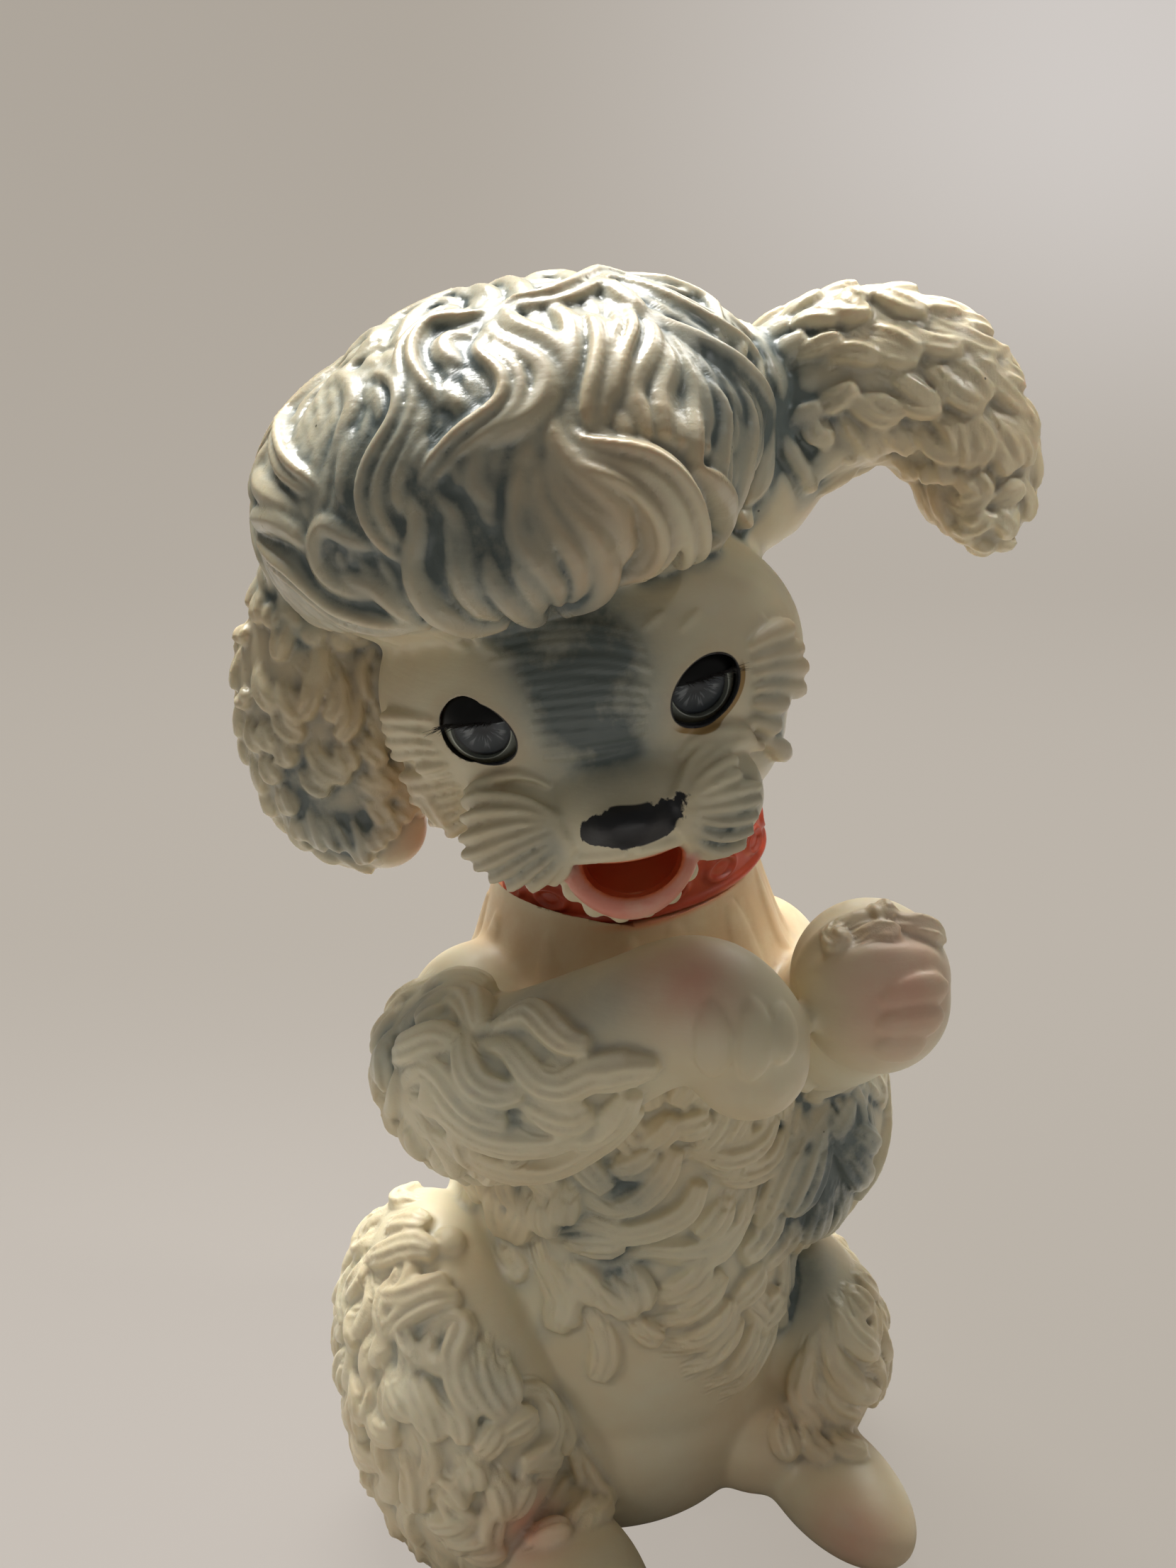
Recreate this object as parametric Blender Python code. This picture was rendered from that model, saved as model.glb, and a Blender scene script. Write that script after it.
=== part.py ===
"""Squeak toy: a soft vinyl poodle that sits up and begs, with sleep eyes and a collar.

The dog faces -Y and stands on the floor at Z = 0, with X towards its own left.
Body and head are two hollow vinyl shells. The head plugs into the neck and turns on
it, each weighted eyeball swings on its own pin, and a reed squeaker sits in the base.
The shells are ellipsoids, tapered limbs and swept locks of hair, melted into one skin
and then cut. Sizes are in metres, and the forms of the two shells in millimetres.
"""
import math

import bmesh
import bpy
import numpy as np
from mathutils import Euler, Matrix, Vector
from mathutils.bvhtree import BVHTree

MM = 0.001
DEG = math.pi / 180

# Shells
WALL = 0.0024
HEAD_FACETS = 3650
BODY_FACETS = 3650
RUN_GAP = 0.0003
ROUND_FACETS = 28
BEYOND = 0.1

# How finely the skins are melted, and how often they are softened
BASE_VOXEL = 0.0016
BASE_ROUNDS = 6
SKIN_VOXEL = 0.0010
SKIN_ROUNDS = 2
CAVITY_VOXEL = 0.0023
CAVITY_ROUNDS = 4
CAVITY_FACETS = 420

# Neck, where the head plugs in and turns
NECK_SEAM = Vector((0.000, -0.004, 0.146))
NECK_LEAN = 12 * DEG
HEAD_TURN = 24 * DEG
NECK_RADIUS = 0.0225
NECK_BORE_RADIUS = 0.0150
NECK_LIP = 0.0030
FLANGE_THICKNESS = 0.0020
FLANGE_REACH = 0.0020
PLUG_WALL = 0.0024
HEAD_DROP = 0.0090
CHAMBER_DEPTH = 0.028
WAY_UP = 0.03

# Collar
COLLAR_WIDTH = 0.0085
COLLAR_THICKNESS = 0.0030
COLLAR_DROP = 0.0010
COLLAR_STUDS = 14
STUD_LENGTH = 0.0060
STUD_HEIGHT = 0.0044
STUD_RISE = 0.0008
COLLAR_ROOM = 0.0020

# Sleep eyes
EYE_SPACING = 0.0324
EYE_SHIFT = -0.0023
EYE_FORWARD = 0.0356
EYE_HEIGHT = 0.0473
EYE_SPLAY = 16 * DEG
BALL_RADIUS = 0.0078
OPENING_WIDTH = 0.0136
OPENING_HEIGHT = 0.0100
OPENING_TILT = 26 * DEG
IRIS_RADIUS = 0.0049
IRIS_THICKNESS = 0.0005
LENS_EDGE = 0.0010
LID_THICKNESS = 0.0004
LID_EDGE = 12 * DEG
LID_BACK = 112 * DEG
LID_HALF_SPAN = 0.0066
LASH_SPAN = 0.0060
LASH_LENGTH = 0.0018
LASH_THICKNESS = 0.0004
LASH_RAKE = 48 * DEG
PIN_RADIUS = 0.0009
CUP_WALL = 0.0010
CUP_FRONT = 0.0020
CUP_BACK = 0.0040
BALL_CLEARANCE = 0.0004
STEM_RADIUS = 0.0010
STEM_LENGTH = 0.0052
STEM_ROOT = 0.0028
STEM_ANGLE = 50 * DEG
WEIGHT_RADIUS = 0.0026
WEIGHT_LENGTH = 0.0076

# Squeaker in the base
SQUEAKER_POSITION = Vector((0.0, 0.017, 0.0))
SQUEAKER_RADIUS = 0.0100
SQUEAKER_DEPTH = 0.0110
SQUEAKER_WALL = 0.0012
SQUEAKER_FLANGE = 0.0016
FLANGE_WIDTH = 0.0020
SQUEAKER_RECESS = 0.0012
BOSS_WALL = 0.0022
BOSS_HEIGHT = 0.0040
CAP_THICKNESS = 0.0014
AIR_HOLE_RADIUS = 0.0014
REED_LENGTH = 0.0120
REED_WIDTH = 0.0034
REED_THICKNESS = 0.0004
SLOT_LENGTH = 0.0084
SLOT_WIDTH = 0.0022
SQUEAKER_FACETS = 24
PIN_FACETS = 10
EYE_FACETS = 18


def smooth_path(rows, steps):
    """Rows of a smooth curve through the given rows, which can hold radii beside places."""
    rows = np.array(rows, float)
    ends = np.vstack((2 * rows[0] - rows[1], rows, 2 * rows[-1] - rows[-2]))
    path = []
    for a, b, c, d in zip(ends, ends[1:], ends[2:], ends[3:]):
        for t in np.arange(steps) / steps:
            path.append(0.5 * (2 * b + (c - a) * t + (2 * a - 5 * b + 4 * c - d) * t ** 2
                               + (3 * b - a - 3 * c + d) * t ** 3))
    path.append(rows[-1])
    return np.array(path)


def add_ball(bm, centre, radii, turn=(0, 0, 0), detail=3):
    """An ellipsoid, in millimetres and degrees."""
    place = Matrix.LocRotScale(Vector(centre) * MM, Euler([angle * DEG for angle in turn]),
                               Vector(radii) * MM)
    bmesh.ops.create_icosphere(bm, subdivisions=detail, radius=1, matrix=place)


def add_tube(bm, centres, ups, widths, heights, sides):
    """A closed tube through the centres, wide across and high along the ups."""
    rings = []
    last = len(centres) - 1
    for i, centre in enumerate(centres):
        along = (centres[min(i + 1, last)] - centres[max(i - 1, 0)]).normalized()
        across = along.cross(ups[i]).normalized()
        up = across.cross(along)
        ring = []
        for k in range(sides):
            angle = 2 * math.pi * k / sides
            offset = across * math.cos(angle) * widths[i] + up * math.sin(angle) * heights[i]
            ring.append(bm.verts.new(centre + offset))
        rings.append(ring)
    for near, far in zip(rings, rings[1:]):
        for k in range(sides):
            bm.faces.new((near[k], near[k - 1], far[k - 1], far[k]))
    start = bm.verts.new(centres[0] - (centres[1] - centres[0]).normalized() * heights[0] * 0.6)
    end = bm.verts.new(centres[-1] + (centres[-1] - centres[-2]).normalized() * heights[-1] * 0.6)
    for k in range(sides):
        bm.faces.new((rings[0][k - 1], rings[0][k], start))
        bm.faces.new((rings[-1][k], rings[-1][k - 1], end))


def add_limb(bm, stations, flatness=1.0, up=(0, 1, 0), sides=16):
    """A tapered limb through stations of (x, y, z, radius) in millimetres."""
    path = smooth_path(stations, 5) * MM
    centres = [Vector(row[:3]) for row in path]
    radii = [row[3] for row in path]
    add_tube(bm, centres, [Vector(up)] * len(centres), radii, [r * flatness for r in radii], sides)
    for row in (path[0], path[-1]):
        size = Vector((row[3], row[3], row[3])) / MM
        add_ball(bm, Vector(row[:3]) / MM, size * min(1, flatness + 0.1))


def mesh_object(name, bm):
    """A new object that holds the bmesh, which is freed."""
    mesh = bpy.data.meshes.new(name)
    bmesh.ops.recalc_face_normals(bm, faces=bm.faces)
    bm.to_mesh(mesh)
    bm.free()
    obj = bpy.data.objects.new(name, mesh)
    bpy.context.collection.objects.link(obj)
    return obj


def bake(obj):
    """Make the shape that the modifiers give the object's own mesh."""
    bpy.context.view_layer.update()
    seen = obj.evaluated_get(bpy.context.evaluated_depsgraph_get())
    mesh = bpy.data.meshes.new_from_object(seen)
    obj.modifiers.clear()
    old = obj.data
    obj.data = mesh
    bpy.data.meshes.remove(old)
    mesh.name = obj.name


def melt(obj, voxel, rounds):
    """Join all that the object holds into one skin, and soften its creases."""
    remesh = obj.modifiers.new("skin", "REMESH")
    remesh.mode = "VOXEL"
    remesh.voxel_size = voxel
    if rounds:
        soften = obj.modifiers.new("soften", "SMOOTH")
        soften.factor = 0.5
        soften.iterations = rounds
    bake(obj)


def thin_out(obj, facets):
    """Bring the mesh down to about so many triangles."""
    have = sum(len(face.vertices) - 2 for face in obj.data.polygons)
    fewer = obj.modifiers.new("fewer", "DECIMATE")
    fewer.ratio = min(1, facets / have)
    fewer.use_collapse_triangulate = True
    bake(obj)


def combine(obj, other, operation):
    """Join the other object to this one, or cut it out, and remove it."""
    change = obj.modifiers.new(operation.lower(), "BOOLEAN")
    change.operation = operation
    change.solver = "EXACT"
    change.object = other
    bake(obj)
    bpy.data.objects.remove(other)


def cylinder(name, radius, low, high, frame, segments=ROUND_FACETS):
    """A cylinder along the frame's Z axis."""
    bm = bmesh.new()
    place = frame @ Matrix.Translation((0, 0, (low + high) / 2))
    bmesh.ops.create_cone(bm, cap_ends=True, segments=segments, radius1=radius, radius2=radius,
                          depth=high - low, matrix=place)
    return mesh_object(name, bm)


def turned(name, profile, frame, segments=ROUND_FACETS):
    """A ring or a solid turned about the frame's Z axis from (radius, height) pairs."""
    bm = bmesh.new()
    rings = []
    for radius, height in profile:
        if radius == 0:
            rings.append([bm.verts.new(frame @ Vector((0, 0, height)))] * segments)
            continue
        angles = [2 * math.pi * k / segments for k in range(segments)]
        rings.append([bm.verts.new(frame @ Vector((radius * math.cos(a), radius * math.sin(a), height)))
                      for a in angles])
    pairs = list(zip(rings, rings[1:]))
    if profile[0][0] and profile[-1][0]:
        pairs.append((rings[-1], rings[0]))
    for near, far in pairs:
        for k in range(segments):
            corners = list(dict.fromkeys((near[k - 1], near[k], far[k], far[k - 1])))
            if len(corners) > 2:
                bm.faces.new(corners)
    return mesh_object(name, bm)


def prism(name, outline, low, high, frame):
    """A straight prism along the frame's Z axis with the given outline of (x, y) pairs."""
    bm = bmesh.new()
    base = [bm.verts.new(frame @ Vector((x, y, low))) for x, y in outline]
    top = [bm.verts.new(frame @ Vector((x, y, high))) for x, y in outline]
    bm.faces.new(base)
    bm.faces.new(top)
    for k in range(len(outline)):
        bm.faces.new((base[k - 1], base[k], top[k], top[k - 1]))
    return mesh_object(name, bm)


def sphere(name, radius, frame, segments=16, rings=8):
    bm = bmesh.new()
    bmesh.ops.create_uvsphere(bm, u_segments=segments, v_segments=rings, radius=radius, matrix=frame)
    return mesh_object(name, bm)


def block(name, low, high, frame):
    """A box between two corners in the frame."""
    bm = bmesh.new()
    low, high = Vector(low), Vector(high)
    size = high - low
    place = frame @ Matrix.Translation((low + high) / 2) @ Matrix.Diagonal(size).to_4x4()
    bmesh.ops.create_cube(bm, size=1, matrix=place)
    return mesh_object(name, bm)


# Frames

NECK_FRAME = Matrix.Translation(NECK_SEAM) @ Matrix.Rotation(-NECK_LEAN, 4, "Y")
HEAD_FRAME = NECK_FRAME @ Matrix.Rotation(-HEAD_TURN, 4, "Z") @ Matrix.Translation((0, 0, -HEAD_DROP))
AT_SEAM = Matrix.Translation((0, 0, HEAD_DROP))
TO_FRONT = Matrix.Rotation(math.pi / 2, 4, "X")
TO_SIDE = Matrix.Rotation(math.pi / 2, 4, "Y")

# Radii that follow from the sizes

PLUG_RADIUS = NECK_BORE_RADIUS - RUN_GAP
FLANGE_RADIUS = NECK_BORE_RADIUS + FLANGE_REACH
PLUG_BORE = PLUG_RADIUS - PLUG_WALL
COLLAR_INNER = NECK_RADIUS + RUN_GAP
COLLAR_OUTER = COLLAR_INNER + COLLAR_THICKNESS
COLLAR_TOP = -COLLAR_DROP
COLLAR_BOTTOM = COLLAR_TOP - COLLAR_WIDTH
LID_INNER = BALL_RADIUS + RUN_GAP
LID_OUTER = LID_INNER + LID_THICKNESS
SOCKET_RADIUS = LID_OUTER + BALL_CLEARANCE
CUP_OUTER = SOCKET_RADIUS + CUP_WALL
POCKET_RADIUS = CUP_OUTER + RUN_GAP
LENS_BASE = math.sqrt(BALL_RADIUS ** 2 - IRIS_RADIUS ** 2) - LENS_EDGE
IRIS_FRONT = LENS_BASE - RUN_GAP
IRIS_SEAT = IRIS_FRONT - IRIS_THICKNESS - RUN_GAP
WEIGHT_DISTANCE = BALL_RADIUS + STEM_LENGTH
WEIGHT_REACH = WEIGHT_DISTANCE + WEIGHT_RADIUS
SQUEAKER_RIM = SQUEAKER_RADIUS + FLANGE_WIDTH
FLANGE_TOP = SQUEAKER_RECESS + SQUEAKER_FLANGE
SQUEAKER_TOP = SQUEAKER_RECESS + SQUEAKER_DEPTH
CUP_BORE = SQUEAKER_RADIUS - RUN_GAP - SQUEAKER_WALL


def eye_frame(side):
    """The frame of an eyeball: X along its pin and -Y out through its opening."""
    place = Matrix.Translation((EYE_SHIFT + side * EYE_SPACING / 2, -EYE_FORWARD, EYE_HEIGHT))
    return place @ Matrix.Rotation(side * EYE_SPLAY, 4, "Z")


# Forms of the head, in the head's frame: centre, half sizes, turn

HAIR_DOME = ((-8, -5, 79.5), (43, 42, 28), (0, -8, 0))
HEAD_CORE = {
    "skull": ((0, -6, 44), (34, 36, 35), (0, 0, 0)),
    "brow": ((-1, -18, 46), (37, 30, 26), (0, 0, 0)),
    "cheek_right": ((-19, -21, 36), (17, 17, 18), (0, 0, 0)),
    "cheek_left": ((14, -22, 36), (17, 18, 18), (0, 0, 0)),
    "hair_dome": HAIR_DOME,
    "muzzle": ((0, -41, 31), (13, 17, 10), (0, 0, 0)),
    "neck": ((0, 0, 14), (25, 25, 16), (0, 0, 0)),
}
HEAD_TRIM = {
    "fringe": ((-6, -25, 74), (33, 25, 13), (0, -9, 0)),
    "pouf": ((8, -35, 80), (15, 13, 13), (0, 0, 0)),
    "fluff_right": ((-15, -42, 29), (11.5, 8.6, 9.6), (0, 20, 25)),
    "fluff_left": ((13, -42, 29), (10.5, 8.6, 9.6), (0, -20, -25)),
    "jaw": ((-1, -37, 18.5), (9.5, 13.5, 7), (0, 0, 0)),
    "nose": ((0, -55.5, 33), (6.0, 3.8, 3.4), (0, 0, 0)),
}
DROOPY_EAR = ((-36, 2, 72, 10), (-45, 0, 58, 15), (-49, -3, 42, 17), (-48, -6, 28, 15), (-44, -8, 20, 10))
RAISED_EAR = ((30, 4, 70, 17), (42, 4, 78, 15.5), (55, 3, 82, 15.5), (66, 1, 78, 14), (72, -1, 67, 12),
              (73, -2, 56, 9))
MOUTH = (((-0.3, -48, 23.2), (8.0, 9.5, 5.2)), ((-0.3, -43, 21.5), (7.5, 9.5, 5.0)))
LIP_RADIUS = 2.0
LOWER_LIP = ((-9.8, -45, 24.5), (-9, -49, 21), (-5.5, -52, 18.2), (-1, -53.2, 17.2), (3.6, -52, 18.2),
             (7.6, -49, 21), (9.2, -45, 24.5))

# Waved locks down the back of the dome of hair, and the fullness of the drawn ones

DOME_REACH = (46, 45, 31)
BACK_WAVES = 19
BACK_FROM = 82
BACK_TO = 268
BACK_HALF_WIDTH = 4.6
BACK_HEIGHT = 3.4
BACK_SWAY = 7
CROWN_RISE = 1.25
LOCK_LEAN = 0.30

# Curls: length, half width and height in millimetres. A patch of them has the centre and
# half sizes of an ellipsoid, the way it faces, their number and the curl.

EAR_LOBE = (10, 3.2, 1.3)
CURL = (11, 3.4, 1.6)
TAIL_CURL = (8, 3.0, 1.5)
CURL_PATCHES = (
    ((-42, -4, 34), (22, 28, 36), (-1, -0.1, 0.1), 90, CURL),
    ((39, -6, 28), (19, 30, 27), (1, 0.1, 0.1), 70, CURL),
    ((-36, -16, 102), (18, 21, 19), (-0.9, -0.1, -0.3), 50, CURL),
    ((29, -16, 101), (15, 18, 16), (0.8, -0.3, -0.4), 44, CURL),
    ((0, 38, 36), (14, 13, 16), (0, 1, 0), 44, TAIL_CURL),
)

# Fans of ridges on the muzzle and the cheeks: roots, half widths and heights

FAN_START = 0.12
FLUFF_ROOT = (4, -54, 30)
FLUFF_RIDGE = (1.7, 1.7)
CHEEK_ROOT = (14, -42, 38)
CHEEK_RIDGE = (2.5, 1.8)

FLUFF_TIPS = {
    -1: ((-20, -44, 39), (-24.5, -42.5, 37.5), (-27, -41.5, 34), (-28, -41.5, 30), (-27.5, -42, 26),
         (-25, -43.5, 22), (-21, -46, 19.5), (-16.5, -49, 18.5), (-12, -51, 19.5)),
    1: ((18, -43.5, 40.5), (22.5, -42, 39), (25, -41, 36), (26.5, -41, 32), (26.5, -41.5, 28),
        (24.5, -43, 24), (21, -45.5, 20.5), (16.5, -48.5, 18.5), (12, -51, 19.5)),
}
CHEEK_TIPS = {
    -1: ((-38, -22, 55), (-39.5, -20, 50), (-40, -18.5, 45), (-39.5, -18, 40), (-38, -18, 35),
         (-35.5, -19, 30), (-32, -22, 25)),
    1: ((35, -20, 57), (37, -18.5, 50), (37.5, -18, 43), (36.5, -18, 36), (33.5, -20, 29), (29, -23, 23)),
}

# Forms of the body, in the world: centre, half sizes, turn

TORSO = {
    "chest": ((2, -4, 89), (38, 33, 42), (0, 0, 0)),
    "chest_side": ((24, -7, 84), (28, 28, 27), (0, 0, 0)),
    "belly": ((0, 0, 46), (36.5, 36, 54), (0, 0, 0)),
    "seat": ((0, -1, 20), (38, 33, 32), (0, 0, 0)),
}
BODY_CORE = {
    **TORSO,
    "thigh_right": ((-40, -6, 34), (20, 28, 38), (-20, 0, 0)),
    "thigh_left": ((37, -8, 24), (18, 30, 25), (-12, 0, 0)),
}
BODY_TRIM = {
    "tail": ((0, 38, 36), (14, 13, 16), (0, 0, 0)),
    "foot_right": ((-29, -39, 8), (13, 24, 10), (0, 0, 0)),
    "foot_left": ((30, -40, 7), (12, 24, 10), (0, 0, 0)),
}
NECK_CONE = ((2, -4, 104, 33), (1, -4, 120, 29), (0, -4, 136, 25))
ARM_RIGHT = ((-30, -4, 110, 15), (-37, -13, 105, 17), (-34, -28, 108, 16), (-22, -44, 121, 12),
             (-11, -53, 127, 11.5), (-5, -57, 120, 10), (-4, -58, 111, 8))
ARM_LEFT = ((28, -6, 110, 15), (29, -14, 105, 15), (29, -30, 108, 14), (26, -46, 120, 13.5),
            (21, -55, 129, 14), (20, -58, 126, 13))


# Locks of fur round the chest: height of a row in millimetres, then its first and last
# place in degrees round from the front towards the dog's left.

CHEST_ROWS = ((118, -150, 190), (108, -160, 180), (98, -150, 190), (88, -160, 180), (78, -85, 95),
              (68, -60, 80), (58, -34, 62), (50, -16, 46), (43, -2, 28))
CHEST_TIP = 11
CHEST_REACH = (40, 36)
CHEST_SPACING = 13
CHEST_LENGTH = 15
CHEST_FILL = (3.9, 1.5)


# The view from the toy's right front that its hair and fur are drawn over: an azimuth and a
# height, its distance and the point it looks at in millimetres, and its middle and focal
# length in points. A sheet is a part of that view: its left and top edge in points, and how
# much larger it is drawn.

VIEW_AZIMUTH = -27 * DEG
VIEW_HEIGHT = 18 * DEG
VIEW_DISTANCE = 320
VIEW_TARGET = Vector((-6, 0, 152))
VIEW_MIDDLE = (829.5, 1106)
VIEW_FOCAL = 2372
CROWN_SHEET = (300, 360, 1.845)
ARMS_SHEET = (480, 1220, 1.7043)
BELLY_SHEET = (480, 1480, 1.8667)
DROOPY_SHEET = (280, 700, 2.7027)
RAISED_SHEET = (1040, 360, 3.0152)
STROKE_JUMP = 13
LANDING_JUMP = 5

# Strokes along the ridges of the moulded locks, in points of their sheets. The crown's each
# start with a half width in millimetres.

CROWN_STROKES = (
    (1.6, (430, 190), (455, 165), (485, 160), (497, 178)),
    (2.6, (328, 290), (330, 240), (370, 212), (420, 216), (446, 240), (425, 265), (380, 288)),
    (2.6, (450, 265), (480, 205), (530, 150), (590, 122), (650, 118), (700, 140)),
    (2.4, (500, 250), (540, 190), (590, 158), (650, 150)),
    (2.6, (690, 122), (730, 96), (780, 102), (820, 130), (832, 158)),
    (2.4, (815, 112), (850, 80), (900, 72), (940, 95), (955, 122)),
    (2.4, (935, 88), (980, 60), (1030, 50), (1062, 66), (1000, 88)),
    (2.2, (1065, 50), (1110, 56), (1135, 76)),
    (3.2, (300, 310), (255, 350), (218, 430), (215, 500), (240, 560), (290, 602), (312, 650)),
    (3.0, (170, 440), (122, 490), (106, 560), (116, 620), (150, 668)),
    (3.0, (200, 440), (150, 490), (140, 545), (160, 600), (205, 640), (262, 668)),
    (3.0, (112, 640), (130, 684), (165, 692), (215, 702), (262, 740), (300, 790)),
    (3.2, (130, 712), (180, 762), (240, 802), (300, 852), (355, 895), (420, 925), (500, 940), (570, 946)),
    (2.8, (480, 782), (440, 738), (390, 736), (342, 702), (312, 690), (290, 742), (300, 800), (350, 850),
     (420, 880), (480, 892)),
    (2.6, (330, 795), (390, 832), (450, 852), (500, 902), (560, 945)),
    (3.0, (300, 345), (312, 400), (342, 440), (332, 500), (315, 560), (322, 630), (348, 690), (392, 730)),
    (2.4, (330, 330), (372, 358), (386, 400), (374, 442), (352, 482), (346, 540), (334, 600)),
    (2.4, (392, 450), (380, 500), (372, 560), (366, 620), (380, 680)),
    (3.2, (405, 330), (452, 330), (500, 360), (516, 402), (504, 460), (470, 512), (440, 562), (424, 622),
     (432, 690), (470, 742), (522, 792), (560, 832)),
    (2.2, (430, 352), (460, 392), (470, 442), (452, 482)),
    (2.6, (540, 362), (562, 402), (560, 442), (540, 502), (510, 552), (490, 602), (500, 662), (540, 704)),
    (3.2, (742, 150), (700, 190), (640, 200), (590, 212), (556, 242), (536, 292), (546, 342), (580, 382),
     (602, 422), (590, 470)),
    (2.6, (690, 232), (640, 230), (608, 254), (606, 290), (642, 312), (668, 324)),
    (2.4, (640, 340), (610, 370), (640, 400), (680, 420)),
    (3.2, (712, 225), (700, 280), (758, 330), (776, 385), (745, 432), (680, 472), (612, 530), (560, 592),
     (525, 640)),
    (3.0, (732, 202), (762, 252), (822, 282), (870, 322), (880, 372), (842, 432), (792, 462), (722, 492),
     (682, 532), (666, 582), (690, 612)),
    (3.0, (752, 165), (790, 222), (860, 252), (908, 292), (922, 350), (904, 392)),
    (3.0, (872, 152), (932, 202), (944, 262), (936, 332), (906, 386)),
    (3.4, (962, 172), (990, 212), (1002, 272), (992, 332), (976, 402), (984, 462), (1012, 492)),
    (3.2, (1042, 152), (1072, 192), (1076, 242), (1052, 292), (1042, 342), (1030, 400), (1040, 450)),
    (3.0, (1112, 182), (1130, 250), (1100, 312), (1070, 362), (1082, 412), (1112, 452), (1122, 482)),
    (2.8, (1152, 232), (1180, 292), (1170, 342), (1150, 392), (1166, 442), (1182, 482)),
    (2.6, (1192, 252), (1212, 312), (1232, 372), (1220, 432), (1232, 502), (1250, 560)),
    (3.0, (1132, 172), (1202, 212), (1272, 252), (1332, 292), (1382, 342), (1410, 402), (1420, 472),
     (1415, 542), (1395, 602), (1388, 640)),
    (2.8, (1242, 332), (1282, 372), (1300, 422), (1290, 482), (1290, 542), (1302, 602)),
    (2.8, (1332, 332), (1370, 402), (1370, 482), (1350, 562), (1332, 642), (1290, 702)),
    (2.8, (1390, 652), (1350, 702), (1290, 742), (1220, 782)),
    (2.4, (1420, 420), (1428, 500), (1424, 580), (1400, 640)),
    (3.0, (882, 405), (870, 452), (890, 512), (942, 562), (1002, 602), (1042, 642), (1050, 702),
     (1030, 762), (990, 802)),
    (3.4, (902, 432), (932, 482), (992, 512), (1062, 522), (1132, 542), (1192, 592), (1222, 652),
     (1230, 712), (1202, 772), (1152, 812)),
    (3.2, (892, 452), (922, 522), (982, 562), (1052, 582), (1112, 622), (1150, 682), (1150, 742),
     (1112, 792), (1062, 822), (1022, 840)),
    (2.8, (880, 482), (902, 562), (952, 622), (1012, 662), (1062, 712), (1070, 762), (1040, 802)),
    (3.0, (862, 502), (870, 582), (902, 652), (952, 702), (992, 742), (1010, 792), (1000, 842),
     (962, 882), (902, 915)),
    (2.8, (850, 522), (850, 602), (870, 672), (912, 732), (952, 782), (960, 832), (930, 882)),
    (3.0, (802, 540), (790, 602), (785, 682), (792, 742), (832, 792), (880, 842), (890, 892)),
    (2.6, (830, 562), (830, 642), (852, 722), (882, 782), (912, 832)),
    (2.8, (1242, 562), (1290, 602), (1310, 662), (1290, 722), (1242, 772)),
    (2.8, (742, 742), (726, 792), (740, 842), (782, 882), (822, 912), (862, 928)),
    (2.6, (762, 762), (802, 822), (832, 872), (842, 912)),
    (3.0, (520, 592), (540, 642), (560, 702), (546, 772), (552, 842), (582, 902), (642, 932), (702, 946),
     (762, 940)),
    (2.8, (602, 642), (622, 702), (642, 762), (652, 832), (682, 892), (742, 930)),
    (2.6, (570, 606), (602, 626), (642, 662), (662, 722), (682, 792), (702, 862), (742, 902)),
    (2.4, (672, 622), (702, 662), (742, 702), (752, 742)),
    (2.6, (762, 470), (722, 502), (692, 542), (682, 592), (712, 622), (742, 662), (772, 702)),
    (2.4, (652, 492), (640, 542), (642, 592), (662, 632)),
    (2.6, (592, 480), (560, 540), (545, 590)),
    (3.4, (1010, 88), (1082, 86), (1152, 102), (1212, 132), (1262, 172), (1292, 222), (1302, 252)),
    (3.2, (1182, 82), (1252, 76), (1312, 96), (1362, 142), (1390, 192), (1402, 252), (1398, 302)),
    (2.8, (1222, 102), (1282, 122), (1322, 172), (1332, 232), (1342, 282)),
    (2.6, (1132, 112), (1162, 162), (1202, 202), (1262, 240)),
    (3.0, (962, 112), (1022, 112), (1062, 142), (1102, 172), (1116, 202)),
    (3.2, (1180, 96), (1100, 82), (1020, 92), (962, 118), (902, 148), (832, 158), (772, 156), (746, 182)),
    (2.6, (1240, 300), (1250, 360), (1262, 430), (1262, 500)),
    (2.6, (650, 118), (700, 126), (742, 150)),
)
ARM_STROKES = (
    ((150, 400), (200, 350), (280, 320), (330, 350), (340, 400)),
    ((250, 405), (300, 420), (310, 480), (340, 530), (400, 550), (440, 540)),
    ((130, 470), (180, 440), (240, 420), (290, 430)),
    ((350, 400), (420, 370), (470, 360), (510, 390), (560, 430), (600, 430)),
    ((330, 430), (400, 440), (440, 480), (480, 520), (540, 530), (620, 490), (700, 460)),
    ((150, 520), (200, 490), (250, 510), (290, 560), (340, 600), (400, 620)),
    ((170, 570), (230, 580), (290, 620), (350, 650), (430, 660), (520, 650), (600, 620)),
    ((190, 640), (260, 660), (330, 700), (420, 725), (510, 715), (590, 670), (660, 620), (700, 580)),
    ((430, 570), (500, 590), (550, 600), (600, 580)),
    ((440, 600), (520, 640), (600, 640), (660, 590), (700, 540)),
    ((500, 470), (560, 500), (640, 500), (700, 480), (760, 480)),
    ((120, 560), (130, 640), (170, 740), (230, 800)),
    ((200, 300), (240, 285), (300, 290), (360, 310)),
    ((125, 400), (120, 460), (125, 530)),
)
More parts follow.
